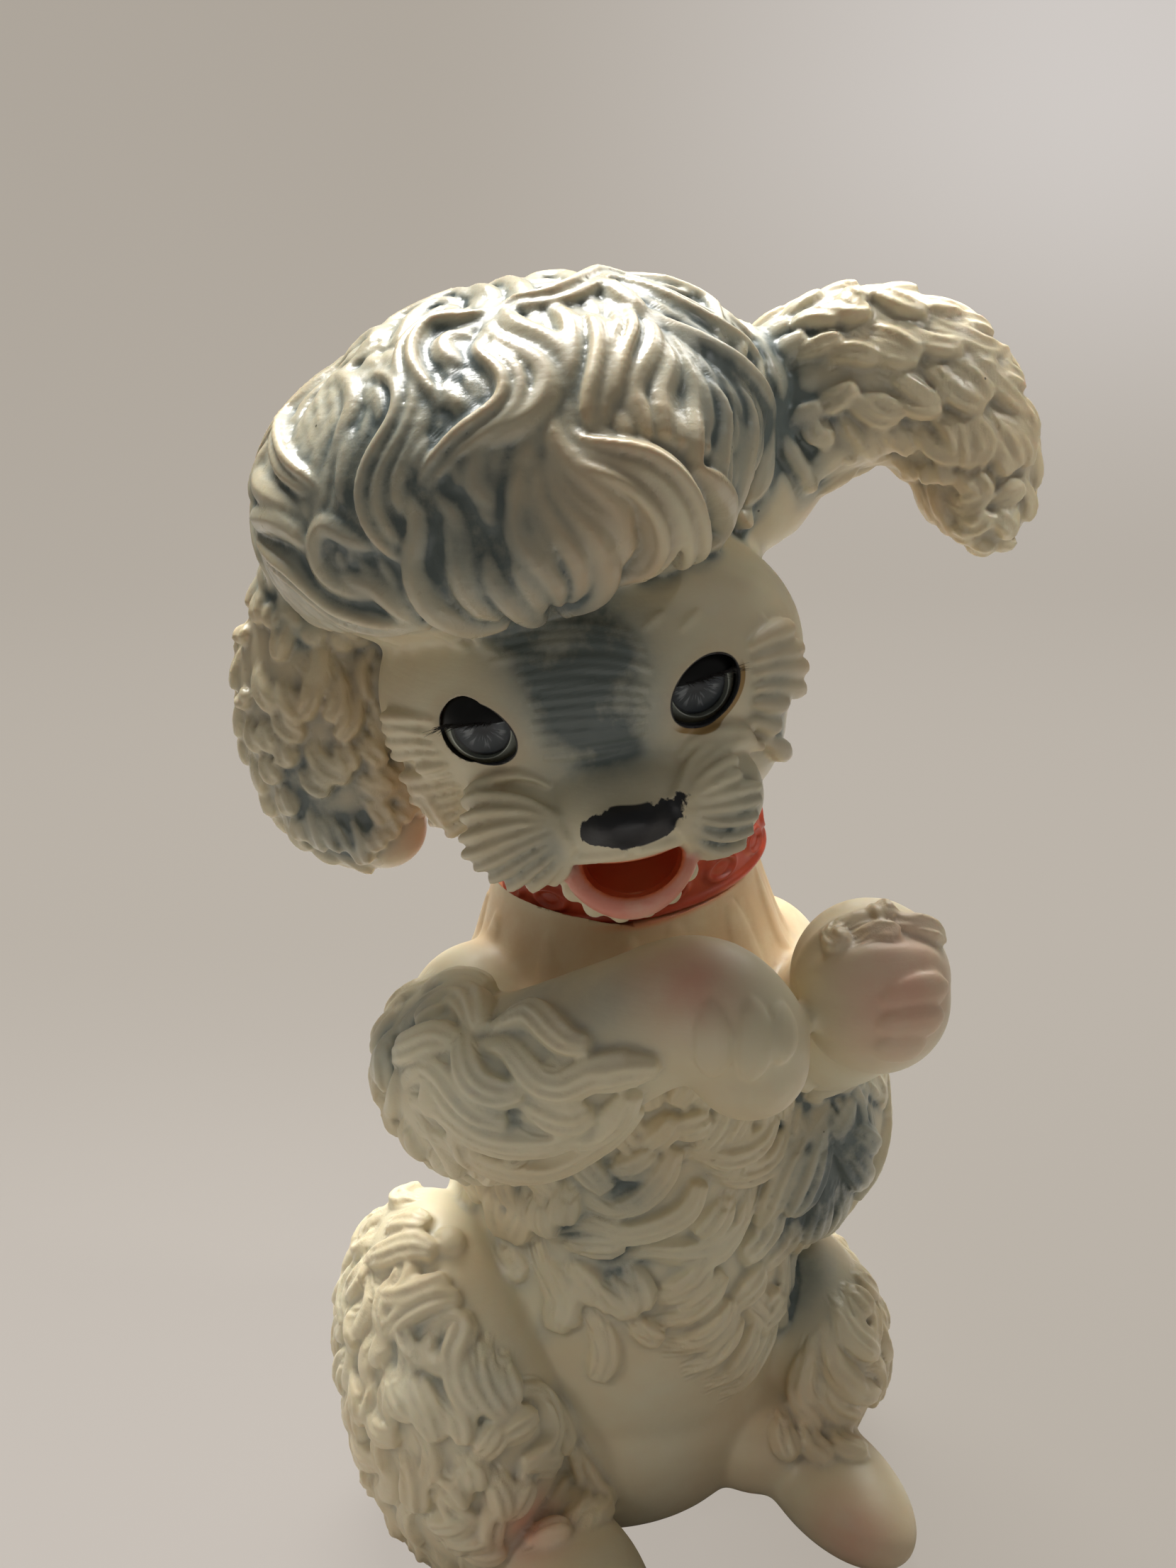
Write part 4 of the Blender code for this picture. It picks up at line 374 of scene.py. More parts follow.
def drawn_path(skin, sheet, stroke, frame_here, middle=None, wraps=False):
    """Where a drawn stroke falls on the skin. Points that miss it are left out or, where a
    middle is given or the stroke wraps round an edge, land on the side nearest to them."""
    path = []
    for point in stroke:
        eye, sight = sight_line(sheet, point, frame_here)
        place = skin.tree.ray_cast(eye, sight)[0]
        near = path[-1] if wraps and path else middle
        if place is None and near is not None:
            passing = eye + sight * (Vector(near) - eye).dot(sight) / sight.length_squared
            place = skin.tree.find_nearest(passing)[0]
        if place is None or path and (place - path[-1]).length > STROKE_JUMP:
            continue
        path.append(place)
    return path


def near_locks(kinds, spot, clear):
    """True if the spot is within so much of a lock of these kinds."""
    return any(np.min(np.linalg.norm(rows - spot, axis=1)) < clear
               for kind in kinds for rows in lock_places.get(kind, ()))


# The view that the strokes are drawn in, with its distance in millimetres and its middle in points

VIEW_AZIMUTH = -27 * DEG
VIEW_HEIGHT = 18 * DEG
VIEW_DISTANCE = 320
VIEW_TARGET = Vector((-6, 0, 152))
VIEW_MIDDLE = (829.5, 1106)
VIEW_FOCAL = 2372

# Sheets, which are parts of the view: left and top edge in points, and how much larger they are drawn

WHOLE_SHEET = (0, 0, 1)
CROWN_SHEET = (300, 360, 1.845)
FACE_SHEET = (480, 860, 2.24)
ARMS_SHEET = (480, 1220, 1.7043)
BELLY_SHEET = (480, 1480, 1.8667)
DROOPY_SHEET = (280, 700, 2.7027)
RAISED_SHEET = (1040, 360, 3.0152)

# How far apart in millimetres two points of a stroke may land

STROKE_JUMP = 13

# Strokes along the ridges of the moulded locks, in points of their sheets

# Each of the crown's starts with a half width in millimetres
CROWN_STROKES = (
    (1.6, (430, 190), (455, 165), (485, 160), (497, 178)),
    (2.6, (328, 290), (330, 240), (370, 212), (420, 216), (446, 240), (425, 265), (380, 288)),
    (2.6, (450, 265), (480, 205), (530, 150), (590, 122), (650, 118), (700, 140)),
    (2.4, (500, 250), (540, 190), (590, 158), (650, 150)),
    (2.6, (690, 122), (730, 96), (780, 102), (820, 130), (832, 158)),
    (2.4, (815, 112), (850, 80), (900, 72), (940, 95), (955, 122)),
    (2.4, (935, 88), (980, 60), (1030, 50), (1062, 66), (1000, 88)),
    (2.2, (1065, 50), (1110, 56), (1135, 76)),
    (3.2, (300, 310), (255, 350), (218, 430), (215, 500), (240, 560), (290, 602), (312, 650)),
    (3.0, (170, 440), (122, 490), (106, 560), (116, 620), (150, 668)),
    (3.0, (200, 440), (150, 490), (140, 545), (160, 600), (205, 640), (262, 668)),
    (3.0, (112, 640), (130, 684), (165, 692), (215, 702), (262, 740), (300, 790)),
    (3.2, (130, 712), (180, 762), (240, 802), (300, 852), (355, 895), (420, 925), (500, 940), (570, 946)),
    (2.8, (480, 782), (440, 738), (390, 736), (342, 702), (312, 690), (290, 742), (300, 800), (350, 850),
     (420, 880), (480, 892)),
    (2.6, (330, 795), (390, 832), (450, 852), (500, 902), (560, 945)),
    (3.0, (300, 345), (312, 400), (342, 440), (332, 500), (315, 560), (322, 630), (348, 690), (392, 730)),
    (2.4, (330, 330), (372, 358), (386, 400), (374, 442), (352, 482), (346, 540), (334, 600)),
    (2.4, (392, 450), (380, 500), (372, 560), (366, 620), (380, 680)),
    (3.2, (405, 330), (452, 330), (500, 360), (516, 402), (504, 460), (470, 512), (440, 562), (424, 622),
     (432, 690), (470, 742), (522, 792), (560, 832)),
    (2.2, (430, 352), (460, 392), (470, 442), (452, 482)),
    (2.6, (540, 362), (562, 402), (560, 442), (540, 502), (510, 552), (490, 602), (500, 662), (540, 704)),
    (3.2, (742, 150), (700, 190), (640, 200), (590, 212), (556, 242), (536, 292), (546, 342), (580, 382),
     (602, 422), (590, 470)),
    (2.6, (690, 232), (640, 230), (608, 254), (606, 290), (642, 312), (668, 324)),
    (2.4, (640, 340), (610, 370), (640, 400), (680, 420)),
    (3.2, (712, 225), (700, 280), (758, 330), (776, 385), (745, 432), (680, 472), (612, 530), (560, 592),
     (525, 640)),
    (3.0, (732, 202), (762, 252), (822, 282), (870, 322), (880, 372), (842, 432), (792, 462), (722, 492),
     (682, 532), (666, 582), (690, 612)),
    (3.0, (752, 165), (790, 222), (860, 252), (908, 292), (922, 350), (904, 392)),
    (3.0, (872, 152), (932, 202), (944, 262), (936, 332), (906, 386)),
    (3.4, (962, 172), (990, 212), (1002, 272), (992, 332), (976, 402), (984, 462), (1012, 492)),
    (3.2, (1042, 152), (1072, 192), (1076, 242), (1052, 292), (1042, 342), (1030, 400), (1040, 450)),
    (3.0, (1112, 182), (1130, 250), (1100, 312), (1070, 362), (1082, 412), (1112, 452), (1122, 482)),
    (2.8, (1152, 232), (1180, 292), (1170, 342), (1150, 392), (1166, 442), (1182, 482)),
    (2.6, (1192, 252), (1212, 312), (1232, 372), (1220, 432), (1232, 502), (1250, 560)),
    (3.0, (1132, 172), (1202, 212), (1272, 252), (1332, 292), (1382, 342), (1410, 402), (1420, 472),
     (1415, 542), (1395, 602), (1388, 640)),
    (2.8, (1242, 332), (1282, 372), (1300, 422), (1290, 482), (1290, 542), (1302, 602)),
    (2.8, (1332, 332), (1370, 402), (1370, 482), (1350, 562), (1332, 642), (1290, 702)),
    (2.8, (1390, 652), (1350, 702), (1290, 742), (1220, 782)),
    (2.4, (1420, 420), (1428, 500), (1424, 580), (1400, 640)),
    (3.0, (882, 405), (870, 452), (890, 512), (942, 562), (1002, 602), (1042, 642), (1050, 702),
     (1030, 762), (990, 802)),
    (3.4, (902, 432), (932, 482), (992, 512), (1062, 522), (1132, 542), (1192, 592), (1222, 652),
     (1230, 712), (1202, 772), (1152, 812)),
    (3.2, (892, 452), (922, 522), (982, 562), (1052, 582), (1112, 622), (1150, 682), (1150, 742),
     (1112, 792), (1062, 822), (1022, 840)),
    (2.8, (880, 482), (902, 562), (952, 622), (1012, 662), (1062, 712), (1070, 762), (1040, 802)),
    (3.0, (862, 502), (870, 582), (902, 652), (952, 702), (992, 742), (1010, 792), (1000, 842),
     (962, 882), (902, 915)),
    (2.8, (850, 522), (850, 602), (870, 672), (912, 732), (952, 782), (960, 832), (930, 882)),
    (3.0, (802, 540), (790, 602), (785, 682), (792, 742), (832, 792), (880, 842), (890, 892)),
    (2.6, (830, 562), (830, 642), (852, 722), (882, 782), (912, 832)),
    (2.8, (1242, 562), (1290, 602), (1310, 662), (1290, 722), (1242, 772)),
    (2.8, (742, 742), (726, 792), (740, 842), (782, 882), (822, 912), (862, 928)),
    (2.6, (762, 762), (802, 822), (832, 872), (842, 912)),
    (3.0, (520, 592), (540, 642), (560, 702), (546, 772), (552, 842), (582, 902), (642, 932), (702, 946),
     (762, 940)),
    (2.8, (602, 642), (622, 702), (642, 762), (652, 832), (682, 892), (742, 930)),
    (2.6, (570, 606), (602, 626), (642, 662), (662, 722), (682, 792), (702, 862), (742, 902)),
    (2.4, (672, 622), (702, 662), (742, 702), (752, 742)),
    (2.6, (762, 470), (722, 502), (692, 542), (682, 592), (712, 622), (742, 662), (772, 702)),
    (2.4, (652, 492), (640, 542), (642, 592), (662, 632)),
    (2.6, (592, 480), (560, 540), (545, 590)),
    (3.4, (1010, 88), (1082, 86), (1152, 102), (1212, 132), (1262, 172), (1292, 222), (1302, 252)),
    (3.2, (1182, 82), (1252, 76), (1312, 96), (1362, 142), (1390, 192), (1402, 252), (1398, 302)),
    (2.8, (1222, 102), (1282, 122), (1322, 172), (1332, 232), (1342, 282)),
    (2.6, (1132, 112), (1162, 162), (1202, 202), (1262, 240)),
    (3.0, (962, 112), (1022, 112), (1062, 142), (1102, 172), (1116, 202)),
    (3.2, (1180, 96), (1100, 82), (1020, 92), (962, 118), (902, 148), (832, 158), (772, 156), (746, 182)),
    (2.6, (1240, 300), (1250, 360), (1262, 430), (1262, 500)),
    (2.6, (650, 118), (700, 126), (742, 150)),
)
ARM_STROKES = (
    ((150, 400), (200, 350), (280, 320), (330, 350), (340, 400)),
    ((250, 405), (300, 420), (310, 480), (340, 530), (400, 550), (440, 540)),
    ((130, 470), (180, 440), (240, 420), (290, 430)),
    ((350, 400), (420, 370), (470, 360), (510, 390), (560, 430), (600, 430)),
    ((330, 430), (400, 440), (440, 480), (480, 520), (540, 530), (620, 490), (700, 460)),
    ((150, 520), (200, 490), (250, 510), (290, 560), (340, 600), (400, 620)),
    ((170, 570), (230, 580), (290, 620), (350, 650), (430, 660), (520, 650), (600, 620)),
    ((190, 640), (260, 660), (330, 700), (420, 725), (510, 715), (590, 670), (660, 620), (700, 580)),
    ((430, 570), (500, 590), (550, 600), (600, 580)),
    ((440, 600), (520, 640), (600, 640), (660, 590), (700, 540)),
    ((500, 470), (560, 500), (640, 500), (700, 480), (760, 480)),
    ((120, 560), (130, 640), (170, 740), (230, 800)),
    ((200, 300), (240, 285), (300, 290), (360, 310)),
    ((125, 400), (120, 460), (125, 530)),
)
CHEST_STROKES = (
    ((600, 810), (650, 830), (720, 800), (770, 740), (800, 680)),
    ((530, 880), (600, 860), (680, 880), (760, 860), (830, 820), (860, 760)),
    ((660, 960), (740, 920), (820, 920), (890, 900), (940, 850)),
    ((540, 920), (600, 905), (680, 900)),
    ((780, 640), (840, 620), (880, 600)),
    ((800, 700), (860, 680), (930, 690), (1000, 650), (1030, 600)),
    ((880, 720), (960, 740), (1030, 700), (1060, 640)),
    ((450, 780), (440, 840), (420, 890)),
    ((500, 760), (490, 840), (510, 880)),
    ((560, 760), (540, 800), (540, 850)),
    ((390, 750), (390, 820), (400, 890)),
    ((310, 760), (300, 850), (320, 900)),
    ((1150, 570), (1120, 640), (1080, 700), (1040, 780), (1010, 850)),
    ((1160, 600), (1150, 680), (1120, 760), (1080, 830)),
    ((1180, 640), (1220, 700), (1250, 760), (1240, 820), (1200, 880)),
    ((1200, 620), (1270, 680), (1290, 760), (1270, 850), (1230, 910)),
    ((1260, 560), (1310, 640), (1320, 720), (1290, 800), (1250, 880)),
    ((1290, 530), (1335, 620), (1330, 700)),
    ((940, 780), (900, 840), (860, 880)),
    ((1000, 760), (960, 840), (920, 900), (860, 950)),
    ((1060, 800), (1010, 880), (960, 940)),
    ((1100, 840), (1060, 900), (1010, 960)),
    ((700, 700), (760, 650), (800, 600)),
    ((640, 740), (700, 720), (750, 680)),
    ((250, 780), (270, 850), (300, 900)),
    ((1180, 760), (1150, 830), (1120, 890)),
)
LOWER_STROKES = (
    ((800, 650), (870, 640), (930, 600), (960, 540)),
    ((830, 720), (900, 700), (960, 650), (1000, 590)),
    ((850, 780), (930, 770), (990, 720), (1020, 660)),
    ((900, 850), (960, 820), (1010, 760), (1040, 700)),
    ((960, 890), (1010, 860), (1050, 800), (1080, 720)),
    ((1000, 910), (1050, 880), (1090, 800), (1130, 700)),
    ((1100, 700), (1140, 640), (1200, 580), (1260, 520)),
    ((1150, 720), (1200, 680), (1250, 620), (1300, 560)),
    ((640, 600), (690, 640), (720, 680)),
    ((580, 570), (640, 600), (680, 660)),
    ((430, 500), (450, 560), (490, 590)),
    ((740, 560), (780, 620), (790, 680)),
    ((700, 600), (740, 640), (760, 700)),
    ((880, 620), (940, 560), (980, 500)),
    ((1010, 700), (1060, 640), (1100, 580)),
    ((1060, 770), (1110, 700), (1150, 640)),
    ((760, 700), (800, 740), (840, 760)),
)
THIGH_STROKES = (
    ((210, 750), (290, 710), (330, 720), (300, 800), (310, 860)),
    ((330, 740), (310, 820), (330, 900), (370, 950)),
    ((390, 750), (370, 830), (390, 900), (430, 960)),
    ((430, 790), (420, 860), (450, 930)),
    ((270, 900), (320, 960), (330, 1030)),
    ((200, 800), (200, 880), (240, 960), (260, 1020)),
    ((130, 820), (150, 900), (200, 960)),
    ((450, 900), (520, 900), (550, 970), (540, 1040), (480, 1090)),
    ((400, 1050), (440, 1000), (500, 960)),
    ((560, 920), (590, 1000), (580, 1060)),
    ((600, 1030), (640, 1100), (670, 1160), (700, 1200)),
    ((470, 1150), (500, 1090), (560, 1080)),
    ((520, 1230), (570, 1180), (600, 1120)),
    ((440, 1250), (460, 1180), (490, 1130)),
    ((590, 1260), (630, 1200), (620, 1130)),
    ((240, 1140), (290, 1130), (330, 1190)),
    ((220, 1250), (280, 1250), (340, 1230)),
    ((250, 1280), (330, 1290), (400, 1270)),
    ((80, 640), (150, 660), (230, 640), (280, 610)),
    ((60, 560), (130, 540), (200, 520), (250, 540)),
    ((120, 470), (180, 460), (230, 470)),
    ((100, 780), (140, 740), (180, 700), (260, 660), (310, 660)),
    ((30, 830), (60, 900), (70, 980)),
    ((100, 900), (100, 980), (160, 1020)),
    ((30, 960), (60, 1040), (110, 1080)),
    ((70, 1080), (100, 1140), (110, 1220)),
    ((160, 1060), (200, 1120), (210, 1200)),
    ((350, 1090), (390, 1040), (420, 980)),
    ((300, 1080), (340, 1090), (350, 1150)),
    ((380, 1100), (420, 1150), (430, 1220)),
    ((640, 1260), (680, 1210), (670, 1140)),
    ((150, 1180), (160, 1260), (180, 1320)),
    ((300, 1300), (360, 1320), (430, 1310)),
    ((480, 1290), (540, 1280), (600, 1270)),
    ((110, 1260), (130, 1310), (170, 1350)),
)
THIGH_LEFT_STROKES = (
    ((1250, 760), (1220, 850), (1220, 930), (1250, 1000)),
    ((1300, 640), (1340, 740), (1400, 800), (1440, 830)),
    ((1280, 720), (1300, 820), (1370, 900), (1435, 930)),
    ((1240, 850), (1290, 930), (1350, 960), (1430, 960)),
    ((1230, 930), (1270, 990), (1340, 1020), (1420, 1010)),
    ((1170, 950), (1160, 1020), (1190, 1070)),
    ((1210, 950), (1230, 1030), (1290, 1080)),
    ((1300, 1000), (1330, 1050), (1380, 1070)),
    ((1390, 1000), (1420, 1040), (1430, 1060)),
    ((1350, 560), (1380, 600), (1425, 680), (1440, 760)),
    ((1320, 620), (1380, 700), (1430, 770)),
    ((1260, 800), (1320, 880), (1400, 900)),
)
PAW_STROKES = (
    ((1160, 90), (1220, 80), (1280, 100), (1310, 130)),
    ((1200, 130), (1180, 170), (1210, 200)),
    ((1260, 70), (1330, 80), (1380, 110), (1410, 140)),
    ((1300, 120), (1350, 140), (1400, 150), (1440, 180)),
    ((1230, 180), (1290, 160), (1340, 170)),
    ((1400, 110), (1440, 150), (1460, 190)),
)
DROOPY_STROKES = (
    ((230, 330), (200, 400), (190, 480), (180, 560)),
    ((190, 340), (165, 420), (150, 520), (140, 560)),
    ((260, 320), (250, 400), (245, 480)),
    ((310, 380), (300, 440), (290, 500)),
    ((370, 390), (360, 440), (330, 520), (310, 620)),
    ((160, 600), (150, 660), (170, 740), (200, 790)),
    ((225, 620), (230, 680), (260, 760), (300, 810)),
    ((320, 680), (320, 740), (360, 800), (400, 850)),
    ((390, 620), (440, 680), (430, 780), (400, 840)),
    ((290, 780), (310, 840), (350, 890), (400, 910)),
    ((500, 640), (540, 700), (540, 780), (500, 850)),
    ((570, 700), (590, 780), (580, 860), (540, 920)),
    ((250, 840), (260, 900), (300, 960)),
    ((320, 900), (330, 960), (360, 1020)),
    ((420, 920), (440, 980), (500, 1040), (570, 1070)),
    ((520, 930), (560, 980), (580, 1040)),
    ((400, 1030), (430, 1080), (500, 1110)),
    ((600, 1070), (660, 1100), (740, 1110)),
    ((110, 380), (110, 450), (125, 500)),
    ((100, 520), (105, 600), (130, 680)),
    ((140, 720), (150, 790), (180, 840)),
    ((190, 840), (210, 900), (250, 960)),
    ((250, 960), (270, 1020), (310, 1080)),
    ((310, 1090), (330, 1140), (370, 1200)),
    ((370, 1210), (390, 1260), (410, 1290)),
    ((410, 1180), (440, 1250), (480, 1330)),
    ((460, 1300), (490, 1370), (540, 1410)),
    ((540, 1330), (580, 1400), (640, 1440)),
    ((600, 1300), (650, 1380), (700, 1440)),
    ((640, 1250), (700, 1330), (760, 1420)),
    ((680, 1210), (750, 1290), (820, 1380)),
    ((720, 1160), (800, 1230), (870, 1330)),
    ((760, 1120), (850, 1190), (920, 1290)),
    ((820, 1090), (900, 1160), (950, 1240)),
    ((560, 1220), (600, 1290), (620, 1360)),
    ((480, 1200), (520, 1280), (560, 1330)),
    ((640, 1130), (690, 1190), (720, 1240)),
    ((700, 1080), (760, 1110), (800, 1150)),
    ((640, 1000), (690, 1050), (740, 1090)),
    ((600, 900), (650, 960), (700, 1010)),
    ((640, 780), (680, 860), (720, 940)),
)
RAISED_STROKES = (
    ((180, 330), (260, 290), (340, 270), (430, 280)),
    ((330, 220), (400, 230), (470, 260), (560, 250)),
    ((430, 160), (480, 180), (520, 220)),
    ((440, 150), (520, 130), (600, 170), (690, 220), (790, 250)),
    ((580, 120), (660, 130), (760, 200), (850, 240), (930, 260)),
    ((690, 115), (790, 130), (880, 200), (960, 270), (1040, 310)),
    ((790, 120), (880, 150), (970, 210), (1050, 260)),
    ((900, 150), (980, 210), (1060, 270), (1130, 330)),
    ((480, 320), (540, 370), (620, 420), (700, 440), (760, 440)),
    ((560, 300), (640, 330), (710, 380), (770, 420)),
    ((680, 280), (750, 340), (830, 390), (940, 400)),
    ((760, 260), (860, 310), (950, 350), (1030, 400), (1100, 410)),
    ((860, 250), (960, 290), (1060, 340), (1140, 380)),
    ((220, 440), (300, 410), (370, 380), (440, 360)),
    ((360, 460), (420, 420), (500, 410), (590, 440)),
    ((430, 560), (500, 620), (590, 680), (680, 680)),
    ((480, 600), (560, 620), (640, 640), (710, 660)),
    ((640, 580), (720, 620), (800, 650), (860, 640)),
    ((620, 480), (680, 520), (760, 580), (850, 640)),
    ((790, 430), (850, 500), (940, 600), (1040, 640)),
    ((860, 450), (950, 480), (1020, 560), (1050, 620)),
    ((820, 430), (920, 430), (1020, 480), (1090, 550), (1160, 620), (1220, 700)),
    ((960, 410), (1030, 450), (1080, 480)),
    ((1070, 430), (1130, 430), (1190, 480), (1220, 520)),
    ((1060, 440), (1120, 500), (1190, 560), (1240, 600)),
    ((1120, 560), (1180, 620), (1230, 700), (1240, 800)),
    ((250, 640), (290, 700), (350, 760), (390, 790)),
    ((270, 680), (300, 740), (340, 780)),
    ((430, 660), (450, 720), (510, 790), (560, 850)),
    ((440, 800), (500, 840), (560, 880), (650, 900)),
    ((540, 680), (590, 740), (620, 820), (650, 860)),
    ((620, 700), (680, 760), (740, 830)),
    ((740, 700), (780, 760), (850, 830), (940, 860)),
    ((800, 680), (880, 700), (930, 770), (940, 850)),
    ((900, 640), (970, 680), (1040, 740), (1060, 800), (1030, 880)),
    ((940, 660), (960, 760), (990, 860), (970, 890)),
    ((1060, 660), (1110, 760), (1150, 840), (1170, 900)),
    ((1100, 650), (1170, 720), (1220, 800), (1220, 890)),
    ((1100, 780), (1110, 850), (1150, 920)),
    ((780, 880), (820, 920), (830, 950)),
    ((860, 860), (880, 920), (900, 960)),
    ((920, 900), (960, 950), (1000, 1000)),
    ((1000, 900), (1030, 960), (1060, 1010)),
    ((900, 1020), (930, 1060), (1000, 1050), (1060, 1000)),
    ((910, 1090), (960, 1130), (1020, 1150), (1060, 1100)),
    ((900, 1120), (940, 1170), (1000, 1180)),
    ((1060, 1060), (1100, 1040), (1160, 1010), (1200, 980)),
    ((1080, 1080), (1120, 1120), (1160, 1160)),
    ((1170, 1040), (1160, 1120), (1130, 1190)),
    ((1220, 950), (1230, 1050), (1210, 1120)),
    ((1240, 920), (1265, 1000), (1250, 1090)),
    ((960, 1200), (1010, 1230), (1080, 1230)),
    ((1090, 1220), (1130, 1225), (1165, 1200)),
    ((700, 880), (740, 900), (760, 930)),
)
FLUFF_STROKES = (
    ((700, 655), (600, 612), (500, 602), (420, 625)),
    ((700, 668), (600, 645), (500, 645), (415, 668)),
    ((705, 680), (600, 674), (500, 692), (412, 720)),
    ((710, 690), (620, 698), (520, 728), (420, 762)),
    ((715, 700), (640, 718), (550, 752), (450, 796)),
    ((720, 710), (650, 742), (570, 784), (490, 828)),
    ((728, 720), (670, 762), (600, 808), (540, 852)),
    ((735, 730), (690, 780), (640, 826), (600, 856)),
    ((745, 745), (715, 790), (680, 822), (660, 842)),
    ((660, 560), (600, 520), (530, 515), (460, 545), (430, 590)),
    ((1040, 600), (1100, 500), (1180, 430), (1280, 390)),
    ((1045, 610), (1120, 520), (1210, 452), (1310, 422)),
    ((1050, 620), (1140, 542), (1240, 484), (1335, 462)),
    ((1055, 628), (1150, 567), (1250, 524), (1348, 508)),
    ((1060, 636), (1150, 597), (1250, 567), (1352, 556)),
    ((1062, 645), (1150, 627), (1250, 608), (1350, 602)),
    ((1062, 655), (1150, 656), (1250, 652), (1330, 652)),
    ((1060, 668), (1140, 690), (1230, 697), (1310, 702)),
    ((1055, 680), (1120, 716), (1200, 737), (1285, 748)),
    ((1050, 690), (1100, 736), (1160, 766), (1240, 788)),
    ((1070, 465), (1115, 405), (1190, 372), (1270, 372)),
)
CHEEK_STROKES = (
    ((1290, 120), (1340, 84), (1400, 60)),
    ((1300, 165), (1360, 138), (1428, 122)),
    ((1305, 205), (1370, 182), (1440, 178)),
    ((1305, 250), (1370, 236), (1432, 244)),
    ((1300, 295), (1370, 292), (1434, 305)),
    ((1290, 350), (1350, 355), (1412, 382)),
    ((1300, 400), (1340, 412), (1385, 448)),
)
SERRATED_STROKES = (
    ((290, 350), (220, 340), (155, 335)),
    ((290, 400), (220, 377), (160, 370)),
    ((300, 430), (230, 416), (170, 410)),
    ((320, 460), (250, 452), (188, 449)),
    ((340, 490), (260, 490), (190, 486)),
    ((350, 520), (280, 525), (215, 523)),
    ((370, 550), (300, 560), (240, 561)),
    ((385, 580), (320, 592), (245, 590)),
    ((390, 610), (330, 623), (280, 620)),
    ((395, 640), (345, 656), (300, 656)),
    ((398, 670), (365, 690), (350, 691)),
)
BRUSHED_STROKES = (
    ((480, 70), (580, 55), (700, 50), (820, 55), (920, 75)),
    ((500, 100), (600, 85), (720, 78), (840, 85), (950, 110)),
    ((520, 135), (620, 115), (740, 105), (850, 112), (960, 140)),
    ((480, 165), (560, 150), (640, 148)),
    ((560, 185), (660, 165), (780, 155), (900, 165), (980, 190)),
    ((570, 215), (680, 195), (800, 185), (900, 195)),
    ((590, 242), (700, 230), (800, 222)),
    ((640, 262), (760, 240), (880, 235), (970, 250)),
    ((600, 295), (720, 280), (840, 270), (950, 280)),
    ((620, 330), (740, 315), (860, 305), (970, 312)),
    ((610, 365), (730, 350), (850, 345), (960, 345)),
    ((620, 400), (740, 390), (860, 380), (960, 375)),
    ((640, 440), (700, 430), (790, 415), (880, 400), (960, 385)),
    ((650, 470), (760, 455), (870, 440), (930, 430)),
    ((300, 70), (350, 95), (400, 125)),
    ((190, 112), (150, 96), (120, 90)),
    ((400, 70), (440, 110), (500, 140)),
    ((960, 60), (990, 30), (1020, 10)),
    ((1080, 60), (1110, 30), (1130, 5)),
    ((1330, 20), (1350, 50), (1360, 90)),
)
JAW_STROKES = (
    ((705, 790), (720, 830), (745, 868)),
    ((730, 800), (760, 850), (795, 895)),
    ((770, 850), (805, 895), (845, 930)),
    ((1095, 765), (1095, 800), (1075, 830)),
    ((1070, 780), (1060, 830), (1030, 868)),
    ((1040, 820), (1010, 870), (975, 905)),
    ((920, 900), (890, 920), (855, 932)),
)
TOE_STROKES = (
    ((890, 330), (895, 420), (890, 500)),
    ((990, 320), (995, 420), (985, 510)),
    ((1060, 330), (1062, 400), (1055, 470)),
    ((1300, 330), (1370, 310), (1450, 290)),
    ((1290, 390), (1360, 380), (1440, 360)),
    ((1280, 440), (1340, 440), (1400, 420)),
)

# Dabs of paint in points of the whole view, each with its radius in millimetres and its strength

